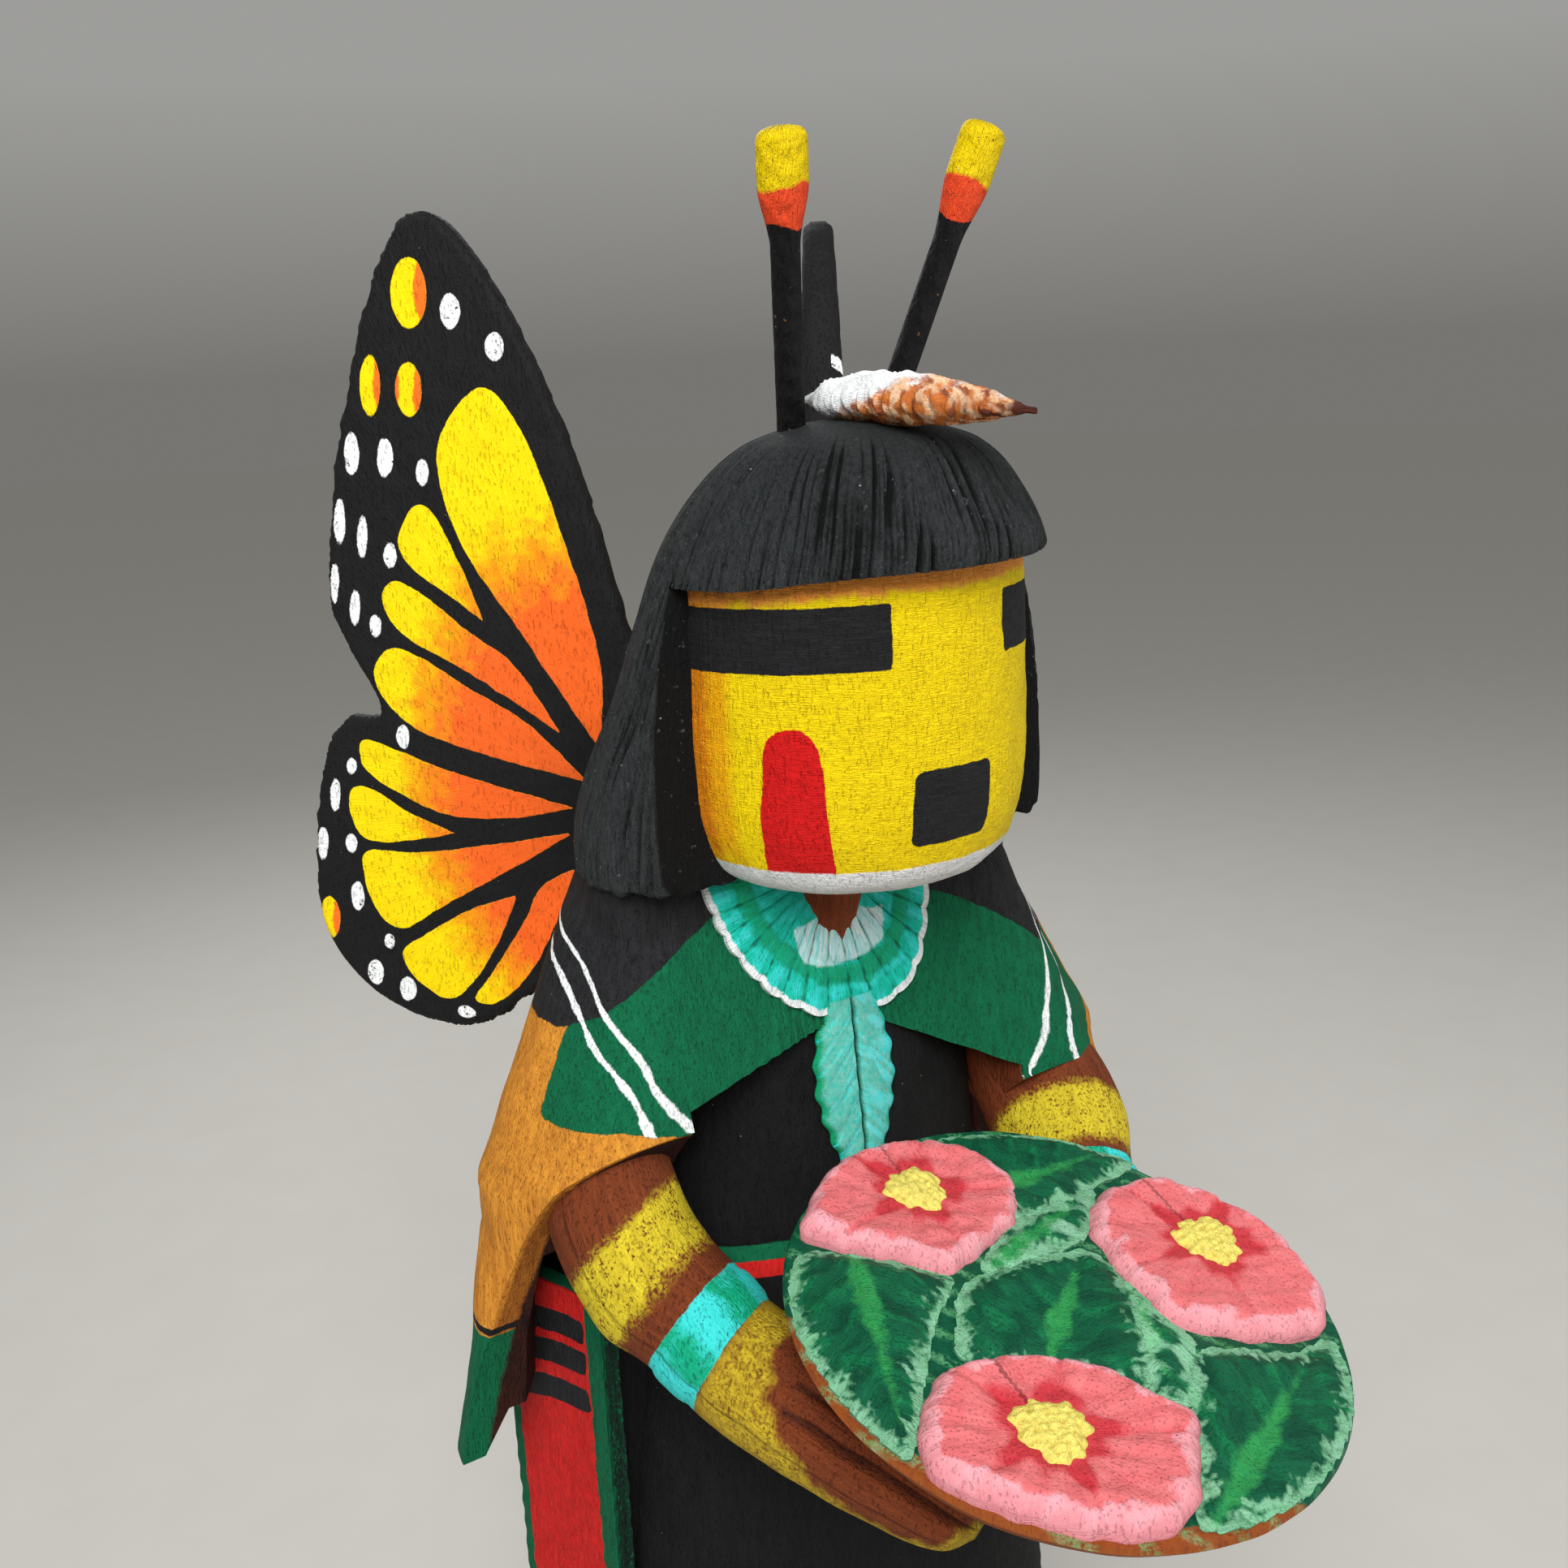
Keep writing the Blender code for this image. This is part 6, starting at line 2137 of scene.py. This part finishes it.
@dataclass
class Plaque(Carving):
    """The shallow bowl with raised leaves and three flowers."""

    node: str = "flower_plaque"
    slot: str = "plaque_paint"
    centre: Triple = (-0.2, -41.3, 126.6)
    radius: float = 28.6
    drop: float = 13.0
    roll: float = 2.8
    dome: float = 1.8
    bowl: float = 10.4
    petals: int = 5
    # Height of a petal under its rim, by share of the way out
    dish: Outline = ((0, -0.85), (0.3, -0.75), (0.6, -0.35), (0.84, 0), (0.9, -0.2), (0.96, -0.9), (1, -1.9))
    foot: float = -0.7
    flowers: tuple[Flower, ...] = (
        Flower(-5.2, 18.7, 2.6, 3.3, 0.3, (
            (-19.2, 19.6), (-14.8, 23.9), (-8.4, 26.8), (0.8, 25.6), (5.7, 20.6), (6, 15), (2.3, 10.6),
            (-3.2, 8.8), (-9.2, 7.4), (-12.9, 11.5), (-17.2, 15.6),
        )),
        Flower(18.9, -1.2, 2.6, 3.5, 0.9, (
            (9, 6.6), (13.8, 10), (20.6, 9.5), (24.4, 5.5), (27.2, -2), (26.6, -8), (23, -14.4),
            (16.6, -14.6), (11.8, -12), (7.3, -8.4), (6.8, -1.8),
        )),
        Flower(-14.0, -13.0, 2.4, 3.6, 0.5, (
            (-25.6, -8.6), (-20, -3.2), (-14.4, -3), (-8.7, -5.3), (-3.7, -9.4), (-1.4, -14.4),
            (0, -17.8), (-3.8, -22), (-8.9, -25.4), (-14.4, -24.1), (-19.3, -20.6), (-23.4, -15.9),
            (-25.6, -12),
        )),
    )
    leaves: tuple[Leaf, ...] = (
        Leaf((
            (-23.8, 14.8), (-20.6, 17.4), (-16.4, 15.2), (-12.2, 10.6), (-9.5, 6.8), (-14.6, 2.9),
            (-18.8, -1.2), (-22.8, -5.3), (-26.3, -8.5), (-27.4, -5), (-27.9, -1), (-27.7, 4), (-26.7, 9.4),
        ), (-16.8, 13.6), (-25.8, -7)),
        Leaf((
            (4, 26.4), (11, 24.8), (17.4, 21.3), (20.4, 17.8), (22.8, 13.4), (14.6, 11.7), (7.7, 10.6),
            (2, 11.6), (1.4, 19),
        ), (3, 15.4), (20.4, 15.8)),
        Leaf((
            (-10.2, 5), (-5.5, 6), (1.7, 5), (6.6, 3.4), (6.4, -2), (3.3, -7.4), (-1.9, -13), (-7, -9),
            (-13, -5), (-15.4, -1.4), (-12.6, 2.3),
        ), (-6, -4.6), (3.6, 2.4), 0.8),
        Leaf((
            (5.8, -11.8), (9.9, -12.6), (16, -15.6), (21.6, -15.8), (20.6, -18.8), (17.6, -22.2),
            (13.8, -24.8), (9.2, -26.7), (3.4, -28), (-2.6, -27.9), (-6.8, -26.8), (-7.6, -25.2),
            (-4, -21.6), (0.6, -16.6),
        ), (-3.4, -25.2), (17.2, -17.2)),
        Leaf((
            (-5.2, 7.4), (2.6, 10.9), (7.7, 11), (14.6, 12), (11.2, 8), (6.9, 5.2), (1.1, 5.2), (-5, 5.6),
        ), (-4.6, 6.2), (13.4, 10.8), 0.9, True),
        Leaf(
            ((6.6, -1.4), (6.8, -7), (7.4, -10.4), (4.8, -12.8), (1, -16.2), (-1.6, -13.4), (2.4, -8.4)),
            (5.6, -3.4), (0.4, -13.6), 0.6, True,
        ),
    )
    # Rim drawn in: share of the radius, middle and width in degrees
    trim: Triple = (0.07, 112.0, 26.0)
    # Rim without green: middle, then where the green starts and is full, in degrees
    bare_rim: Triple = (307.0, 50.0, 66.0)
    saw_length: float = 2.1
    saw_depth: float = 0.28

    def point(self, across: Array, back: Array, height: Array) -> Array:
        """Place points of the plaque, which drops forward and to the figure's left.

        Args:
            across: to the figure's left.
            back: away from the front.
            height: over the rim.

        Returns:
            The points, one row each.
        """
        drop, roll = math.radians(self.drop), math.radians(self.roll)
        x = across * math.cos(roll) + height * math.sin(roll)
        up = height * math.cos(roll) - across * math.sin(roll)
        y = back * math.cos(drop) - up * math.sin(drop)
        z = back * math.sin(drop) + up * math.cos(drop)
        return stacked(x, y, z) + np.array(self.centre)

    def top(self, across: Array | float, back: Array | float) -> Array:
        """Height of the plaque's domed top over its rim."""
        return self.dome * (1 - np.minimum(np.hypot(across, back) / self.radius, 1.0) ** 2)

    def build(self) -> None:
        """Make the bowl, the leaves and the flowers."""
        self.build_bowl()
        for number, leaf in enumerate(self.leaves, 1):
            self.build_leaf(number, leaf)
        for number, flower in enumerate(self.flowers, 1):
            self.build_flower(number, flower)
            self.build_eye(number, flower)

    def build_bowl(self) -> None:
        """Make the bowl with its painted top."""
        profile = [
            (0.02, -1), (0.16, -1), (0.44, -0.93), (0.68, -0.74), (0.86, -0.46), (0.965, -0.18),
            (1.0, -0.05),
        ]
        line = curve_through(profile, 9)
        angle = around(180)
        levels = [(share, self.bowl * depth) for share, depth in line]
        for share in (0.993, 0.98, *np.linspace(0.95, 0.02, 40)):
            levels.append((share, self.top(self.radius * share, 0.0)))
        cut, middle, spread = self.trim
        trim = 1 - cut * np.exp(-(((np.degrees(angle) - middle) / spread) ** 2))
        rows = []
        for share, height in levels:
            r = self.radius * share * trim
            x, y = r * np.sin(angle), -r * np.cos(angle)
            rows.append(self.point(x, y, height + 0.14 * waves(stacked(x, y, height), 8.0, 81)))
        skin = Skin.from_rings(np.array(rows))
        share, height = np.array(levels).T[:, :, None]
        top = np.arange(len(height))[:, None] >= len(line) - 1
        middle, *fade = self.bare_rim
        hidden = ease(np.abs((np.degrees(angle) - middle + 180) % 360 - 180), *fade)
        inside, outside = (share - 0.93 - 0.1 * hidden) * self.radius, 0.9 + np.abs(height) - 1.9 * hidden
        x, y, _ = np.moveaxis(np.array(rows), -1, 0)
        skin.spread(
            top=np.where(top, inside, outside),
            vein=np.abs(np.mod(x + y * 0.6, 3.4) - 1.7) - 0.5 + np.where(top, 0, FAR),
            # Painted shade on the lower part of the underside
            under=3.2 + height,
        )
        self.show("plaque_bowl", skin, BOWL_PAINT)

    def sawn(self, outline: Array) -> Array:
        """Cut small teeth into a leaf's outline.

        Args:
            outline: the smooth outline, in order.

        Returns:
            The toothed outline.
        """
        step = np.linalg.norm(np.roll(outline, -1, 0) - outline, axis=1)
        walk = np.cumsum(step) + 0.5 * waves(outline, 6.0, 83)
        tooth = np.mod(walk / self.saw_length, 1.0)
        run = np.roll(outline, -1, 0) - np.roll(outline, 1, 0)
        normal = stacked(run[:, 1], -run[:, 0]) / np.linalg.norm(run, axis=1)[:, None]
        middle = outline.mean(0)
        normal *= np.sign(((outline - middle) * normal).sum(1))[:, None]
        return outline + normal * ((tooth - 0.5) * self.saw_depth)[:, None]

    def raised(self, flat: Array, faces: Faces, height: Array, floor: float) -> Skin:
        """Close a raised shape down to a floor inside the bowl.

        Args:
            flat: places across and back.
            faces: triangles over them.
            height: of each place over the rim.
            floor: how far below the rim it ends.

        Returns:
            The closed skin.
        """
        boundary = Wings.loose_edges(faces)
        follow = dict(boundary)
        loop = [boundary[0][0]]
        while follow[loop[-1]] != loop[0]:
            loop.append(follow[loop[-1]])
        count = len(flat)
        top = self.point(*flat.T, height)
        inner = flat[loop] * 0.97 + flat[loop].mean(0) * 0.03
        foot = self.point(*inner.T, floor)
        size = len(loop)
        walls = [(loop[(i + 1) % size], loop[i], count + i, count + (i + 1) % size) for i in range(size)]
        base = [tuple(count + i for i in reversed(range(size)))]
        return Skin(np.vstack([top, foot]), [*faces, *walls, *base]).outward()

    @staticmethod
    def keep(skin: Skin, **fields: Array) -> None:
        """Keep the paint's fields of a raised shape, whose foot takes the values of its rim.

        Args:
            skin: the raised shape.
            fields: by name, one value for each place of its top.
        """
        for name, values in fields.items():
            extra = len(skin.points) - len(values)
            skin.fields[name] = np.append(values, np.full(extra, np.median(values[:extra])))

    def build_leaf(self, number: int, leaf: Leaf) -> None:
        """Make one leaf.

        Args:
            number: its place in the row.
            leaf: its shape.
        """
        smooth = curve_through(leaf.outline, 14, closed=True)
        outline = self.sawn(smooth)
        flat, faces = filled_outline(outline, 0.5)
        edge = -outline_distance(flat, outline)
        base, tip = np.array(leaf.base), np.array(leaf.tip)
        length = float(np.linalg.norm(tip - base))
        way = (tip - base) / length
        along = (flat - base) @ way
        aside = (flat - base) @ np.array([-way[1], way[0]])
        slant = along - 0.9 * np.abs(aside) + 0.7 * waves(flat, 7.0, 82 + number)
        veins = np.mod(slant + 20, 3.9) - 1.95
        swell = ease(edge, 0.0, 2.6)
        height = self.top(*flat.T) + 0.25 + leaf.rise * swell
        for line, cut in ((aside, 0.3), (veins, 0.08)):
            height -= cut * np.exp(-((line / 0.4) ** 2)) * swell
        height += 0.14 * waves(flat, 3.0, 84 + number) + 0.05 * waves(flat, 1.2, 88 + number)
        skin = self.raised(flat, faces, height, self.foot)
        rib = np.interp(along / length, (-0.1, 0.15, 0.55, 0.8, 1.0), (0.4, 1.25, 0.6, 0.1, -0.3))
        worn = 0.6 * waves(flat, 5.0, 96 + number) + 0.8 * waves(slant[:, None], 1.1, 97)
        self.keep(
            skin,
            rib=np.abs(aside + 0.3 * waves(flat, 6.0, 89 + number)) - rib,
            veins=np.abs(veins) - 0.5 + 1.1 * waves(flat, 6.0, 93 + number),
            patch=np.abs(veins - 0.9) - 0.6 + 1.3 * waves(flat, 5.0, 90 + number),
            edge=edge - 1.0 - worn,
        )
        skin.lay_along(np.abs(aside) + 0.5 * along, aside * 0.3 + slant, 0.0)
        self.show(f"leaf_{number}", skin, PALE_LEAF_PAINT if leaf.pale else LEAF_PAINT, 70)

    @staticmethod
    def petal_reach(flower: Flower, angle: Array) -> Array:
        """How far a flower reaches from its eye.

        Args:
            flower: the flower.
            angle: directions from its eye, 0 being the front.

        Returns:
            One distance for each direction.
        """
        drawn = curve_through(flower.outline, 12, closed=True) - np.array([flower.across, flower.back])
        turn = np.arctan2(drawn[:, 0], -drawn[:, 1])
        order = np.argsort(turn)
        reach = np.interp(angle, turn[order], np.hypot(*drawn.T)[order], period=math.tau)
        ripple = 0.012 * np.sin(angle * 11 + flower.turn) + 0.01 * np.sin(angle * 19 + 5 * flower.turn)
        return reach * (1 + ripple)

    def build_flower(self, number: int, flower: Flower) -> None:
        """Make one flower, dished, with creased petals and a worn pale rim.

        Args:
            number: its place in the row.
            flower: its shape.
        """
        angle = around(260)
        reach = self.petal_reach(flower, angle)
        middle = np.array([flower.across, flower.back])
        outline = middle + stacked(reach * np.sin(angle), -reach * np.cos(angle))
        flat, faces = filled_outline(outline, 0.42)
        away = flat - middle
        turn = np.arctan2(away[:, 0], -away[:, 1])
        distance = np.hypot(*away.T)
        size = self.petal_reach(flower, turn)
        share = distance / size
        level = self.top(flower.across, flower.back) * 0.8
        rise = np.interp(share, *zip(*self.dish))
        phase = turn * self.petals / 2 + flower.turn + 0.12 * np.sin(turn * 2 + 3 * flower.turn)
        gap = np.abs(np.sin(phase)) * distance * 2 / self.petals
        between = np.abs(np.cos(phase)) * distance * 2 / self.petals
        side = np.abs(np.sin(phase * 2 + 0.5)) * distance / self.petals
        reach_in = ease(share, 0.3, 0.6)
        rise = rise - 0.36 * np.exp(-((gap / 0.35) ** 2)) * reach_in * (1.1 - 0.4 * ease(share, 0.9, 1.0))
        for line, width, cut in ((between, 0.5, 0.12), (side, 0.4, 0.1)):
            rise = rise - cut * np.exp(-((line / width) ** 2)) * reach_in
        height = level + flower.rim + rise
        height += 0.16 * waves(flat, 3.4, 95 + number) + 0.05 * waves(flat, 1.2, 91)
        skin = self.raised(flat, faces, height, self.foot)
        rays = 1.3 + 0.55 * np.abs(np.cos(phase)) ** 6 + 0.16 * np.sin(turn * 9 + number)
        self.keep(
            skin,
            rim=(0.86 - share) * size + 0.7 * waves(flat, 5.0, 97 + number),
            star=distance - flower.eye * rays,
            # Painted shade in the creases between the petals
            creases=np.maximum(np.minimum(gap - 0.14, between + 0.15), (0.36 - share) * 9),
            blotch=waves(flat, 5.0, 99 + number) + 0.25,
            foot=(0.955 - share) * size,
        )
        skin.lay_along(distance, turn * 6, 0.0)
        self.show(f"flower_{number}", skin, PETAL_PAINT, 70)

    def build_eye(self, number: int, flower: Flower) -> None:
        """Make the lumpy yellow middle of a flower.

        Args:
            number: the flower's place in the row.
            flower: its shape.
        """
        angle = around(96)
        middle = np.array([flower.across, flower.back])
        lobes = 0.09 * np.sin(angle * 3 + number) + 0.06 * np.sin(angle * 7 + number * 2)
        reach = flower.eye * (1 + (lobes + 0.05 * np.sin(angle * 13)))
        outline = middle + stacked(reach * np.sin(angle), -reach * np.cos(angle))
        flat, faces = filled_outline(outline, 0.22)
        edge = -outline_distance(flat, outline)
        level = self.top(flower.across, flower.back) * 0.8 + flower.rim
        lumps = 0.2 * waves(flat, 1.1, 105 + number) + 0.12 * waves(flat, 0.6, 108 + number)
        height = level - 0.75 + 0.8 * np.sqrt(ease(edge, -0.05, 1.6)) + lumps * ease(edge, 0.0, 0.6)
        skin = self.raised(flat, faces, height, 0.4)
        self.keep(skin, hollows=lumps * 4 + 0.55)
        self.show(f"flower_eye_{number}", skin, FLOWER_EYE_PAINT, 80)


@dataclass
class Slab:
    """The round slice of cottonwood under the feet, kept as it is packed."""

    node: str = "base"
    heart: Pair = (6.0, -4.0)
    ring_width: float = 2.1

    def build(self) -> None:
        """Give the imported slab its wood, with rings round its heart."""
        made, n, shader = new_finish("slab wood")
        place = n.place()
        fibre = n.effect(Effect.FIBRE, {"Place": place})
        nicks = n.effect(Effect.NICKS, {"Place": place, "Share": 0.4})
        from_heart = n.add("VectorMath", {0: place, 1: (*self.heart, 0)}, operation="SUBTRACT").outputs[0]
        flat = n.stretched(from_heart, (1.0, 1.0, 0.0))
        radius = n.add("VectorMath", {0: flat}, operation="LENGTH").outputs["Value"]
        shift = n.times(n.noise(place, 0.06, 2.0), 9.0)
        turns = n.times(n.plus(radius, shift), math.tau / self.ring_width)
        rings = n.between(n.math("SINE", turns), -0.6, 1.0)
        colour = n.blend(rings, Tint.COTTONWOOD.linear, Tint.COTTONWOOD_DEEP.linear)
        stain = n.between(n.noise(place, 0.05, 3.0), 0.4, 0.7)
        colour = n.blend(n.times(stain, 0.35), colour, Tint.OCHRE_DEEP.linear)
        colour = n.blend(nicks.outputs["Nicks"], colour, Tint.SKIN_DEEP.linear)
        n.feed(shader.inputs["Base Color"], colour)
        n.feed(shader.inputs["Roughness"], n.plus(n.times(rings, 0.12), 0.55))
        height = n.plus(n.times(rings, 0.1), n.times(fibre.outputs["Height"], 0.25))
        n.bump(shader, height)
        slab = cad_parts[self.node]
        slab.data.materials.clear()
        slab.data.materials.append(made)
        LOG.info("%s: packed node with its wood", self.node)


@dataclass
class Studio:
    """Camera, lights and floor."""

    azimuth: float = -32.5
    pitch: float = 15.2
    roll: float = 2.4
    focal_pixels: float = 1938.0
    image_pixels: float = 1932.0
    sensor: float = 36.0
    target: Triple = (0.0, -5.0, 180.0)
    target_pixel: Pair = (1038.0, 900.0)
    distance: float = 174.42
    horizon: tuple[float, ...] = (0.334, 0.327, 0.303, 1.0)
    sky: tuple[float, ...] = (0.62, 0.615, 0.595, 1.0)

    def build(self) -> None:
        """Set up everything that isn't part of the doll."""
        self.build_camera()
        self.build_floor()
        self.build_light("key light", (-300, -380, 560), (0, -10, 140), 340, 4.9)
        self.build_light("fill light", (460, -320, 300), (0, -10, 130), 360, 0.9)
        self.build_light("rim light", (120, 420, 460), (0, 0, 150), 300, 1.3)
        world = bpy.data.worlds.new("studio world")
        world.use_nodes = True
        n = NodeSheet(world.node_tree)
        back = world.node_tree.nodes["Background"]
        up = n.add("SeparateXYZ", {0: n.add("TexCoord", {}).outputs["Generated"]}).outputs["Z"]
        n.feed(back.inputs["Color"], n.blend(n.between(up, 0.0, 0.16), self.horizon, self.sky))
        back.inputs["Strength"].default_value = 0.55
        bpy.context.scene.world = world
        bpy.context.scene.view_settings.view_transform = "Standard"

    def build_camera(self) -> None:
        """Stand the camera where the photograph was taken from."""
        a, p, r = (math.radians(v) for v in (self.azimuth, self.pitch, self.roll))
        back = np.array([math.sin(a) * math.cos(p), -math.cos(a) * math.cos(p), math.sin(p)])
        right = np.cross(-back, [0, 0, 1])
        right /= np.linalg.norm(right)
        up = np.cross(right, -back)
        right, up = right * math.cos(r) - up * math.sin(r), right * math.sin(r) + up * math.cos(r)
        half = self.image_pixels / 2
        across = (self.target_pixel[0] - half) / self.focal_pixels * self.distance
        down = (self.target_pixel[1] - half) / self.focal_pixels * self.distance
        at = np.array(self.target) + back * self.distance - right * across + up * down
        data = bpy.data.cameras.new("camera")
        data.sensor_width = self.sensor
        data.lens = self.focal_pixels / self.image_pixels * self.sensor
        data.clip_start, data.clip_end = 0.01, 20.0
        camera = put("camera", data)
        camera.matrix_world = Matrix([
            (right[0], up[0], back[0], at[0] * MM),
            (right[1], up[1], back[1], at[1] * MM),
            (right[2], up[2], back[2], at[2] * MM),
            (0, 0, 0, 1),
        ])
        bpy.context.scene.camera = camera

    @staticmethod
    def build_light(name: str, at: Triple, aim: Triple, size: float, watts: float) -> None:
        """Hang a soft square light.

        Args:
            name: its name.
            at: where it hangs.
            aim: what it points at.
            size: length of its side.
            watts: its power.
        """
        data = bpy.data.lights.new(name, "AREA")
        data.size, data.energy = size * MM, watts
        light = put(name, data)
        light.location = Vector(at) * MM
        light.rotation_euler = (Vector(aim) - Vector(at)).to_track_quat("-Z", "Y").to_euler()

    @staticmethod
    def build_floor() -> None:
        """Lay a wide pale floor."""
        mesh = bpy.data.meshes.new("floor")
        rim = [(4 * math.cos(a), 4 * math.sin(a), 0.0) for a in around(96)]
        mesh.from_pydata(rim, [], [tuple(range(len(rim)))])
        made, n, shader = new_finish("floor")
        tone = n.noise(n.add("TexCoord", {}).outputs["Object"], 60.0, 3.0)
        n.feed(shader.inputs["Base Color"], n.blend(tone, Tint.FLOOR.linear, Tint.FLOOR_WORN.linear))
        shader.inputs["Roughness"].default_value = 0.9
        mesh.materials.append(made)
        floor = put("floor", mesh)


def main() -> None:
    """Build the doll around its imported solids, piece by piece, then the studio."""
    logging.basicConfig(level=logging.INFO, format="%(message)s")
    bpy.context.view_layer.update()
    far_arm = Arm(
        name="arm_left", elbow=(32.2, -2.6, 127.0, 9.2), wrist=(25.2, -19.0, 116.6, 7.1),
        tips=(13.0, -43.5, 107.6), band=(7.0, 13.4), bracelet=(15.2, 20.4), outward=-1.0,
    )
    for part in (
        Hair(), Mask(), Neck(), Necklace(), Cape(), Dress(), Arm(), far_arm, Legs(), Wings(), Antennae(),
        Feather(), Plaque(), Slab(), Studio(),
    ):
        LOG.info("building %s", type(part).__name__)
        part.build()


if __name__ == "__main__":
    main()
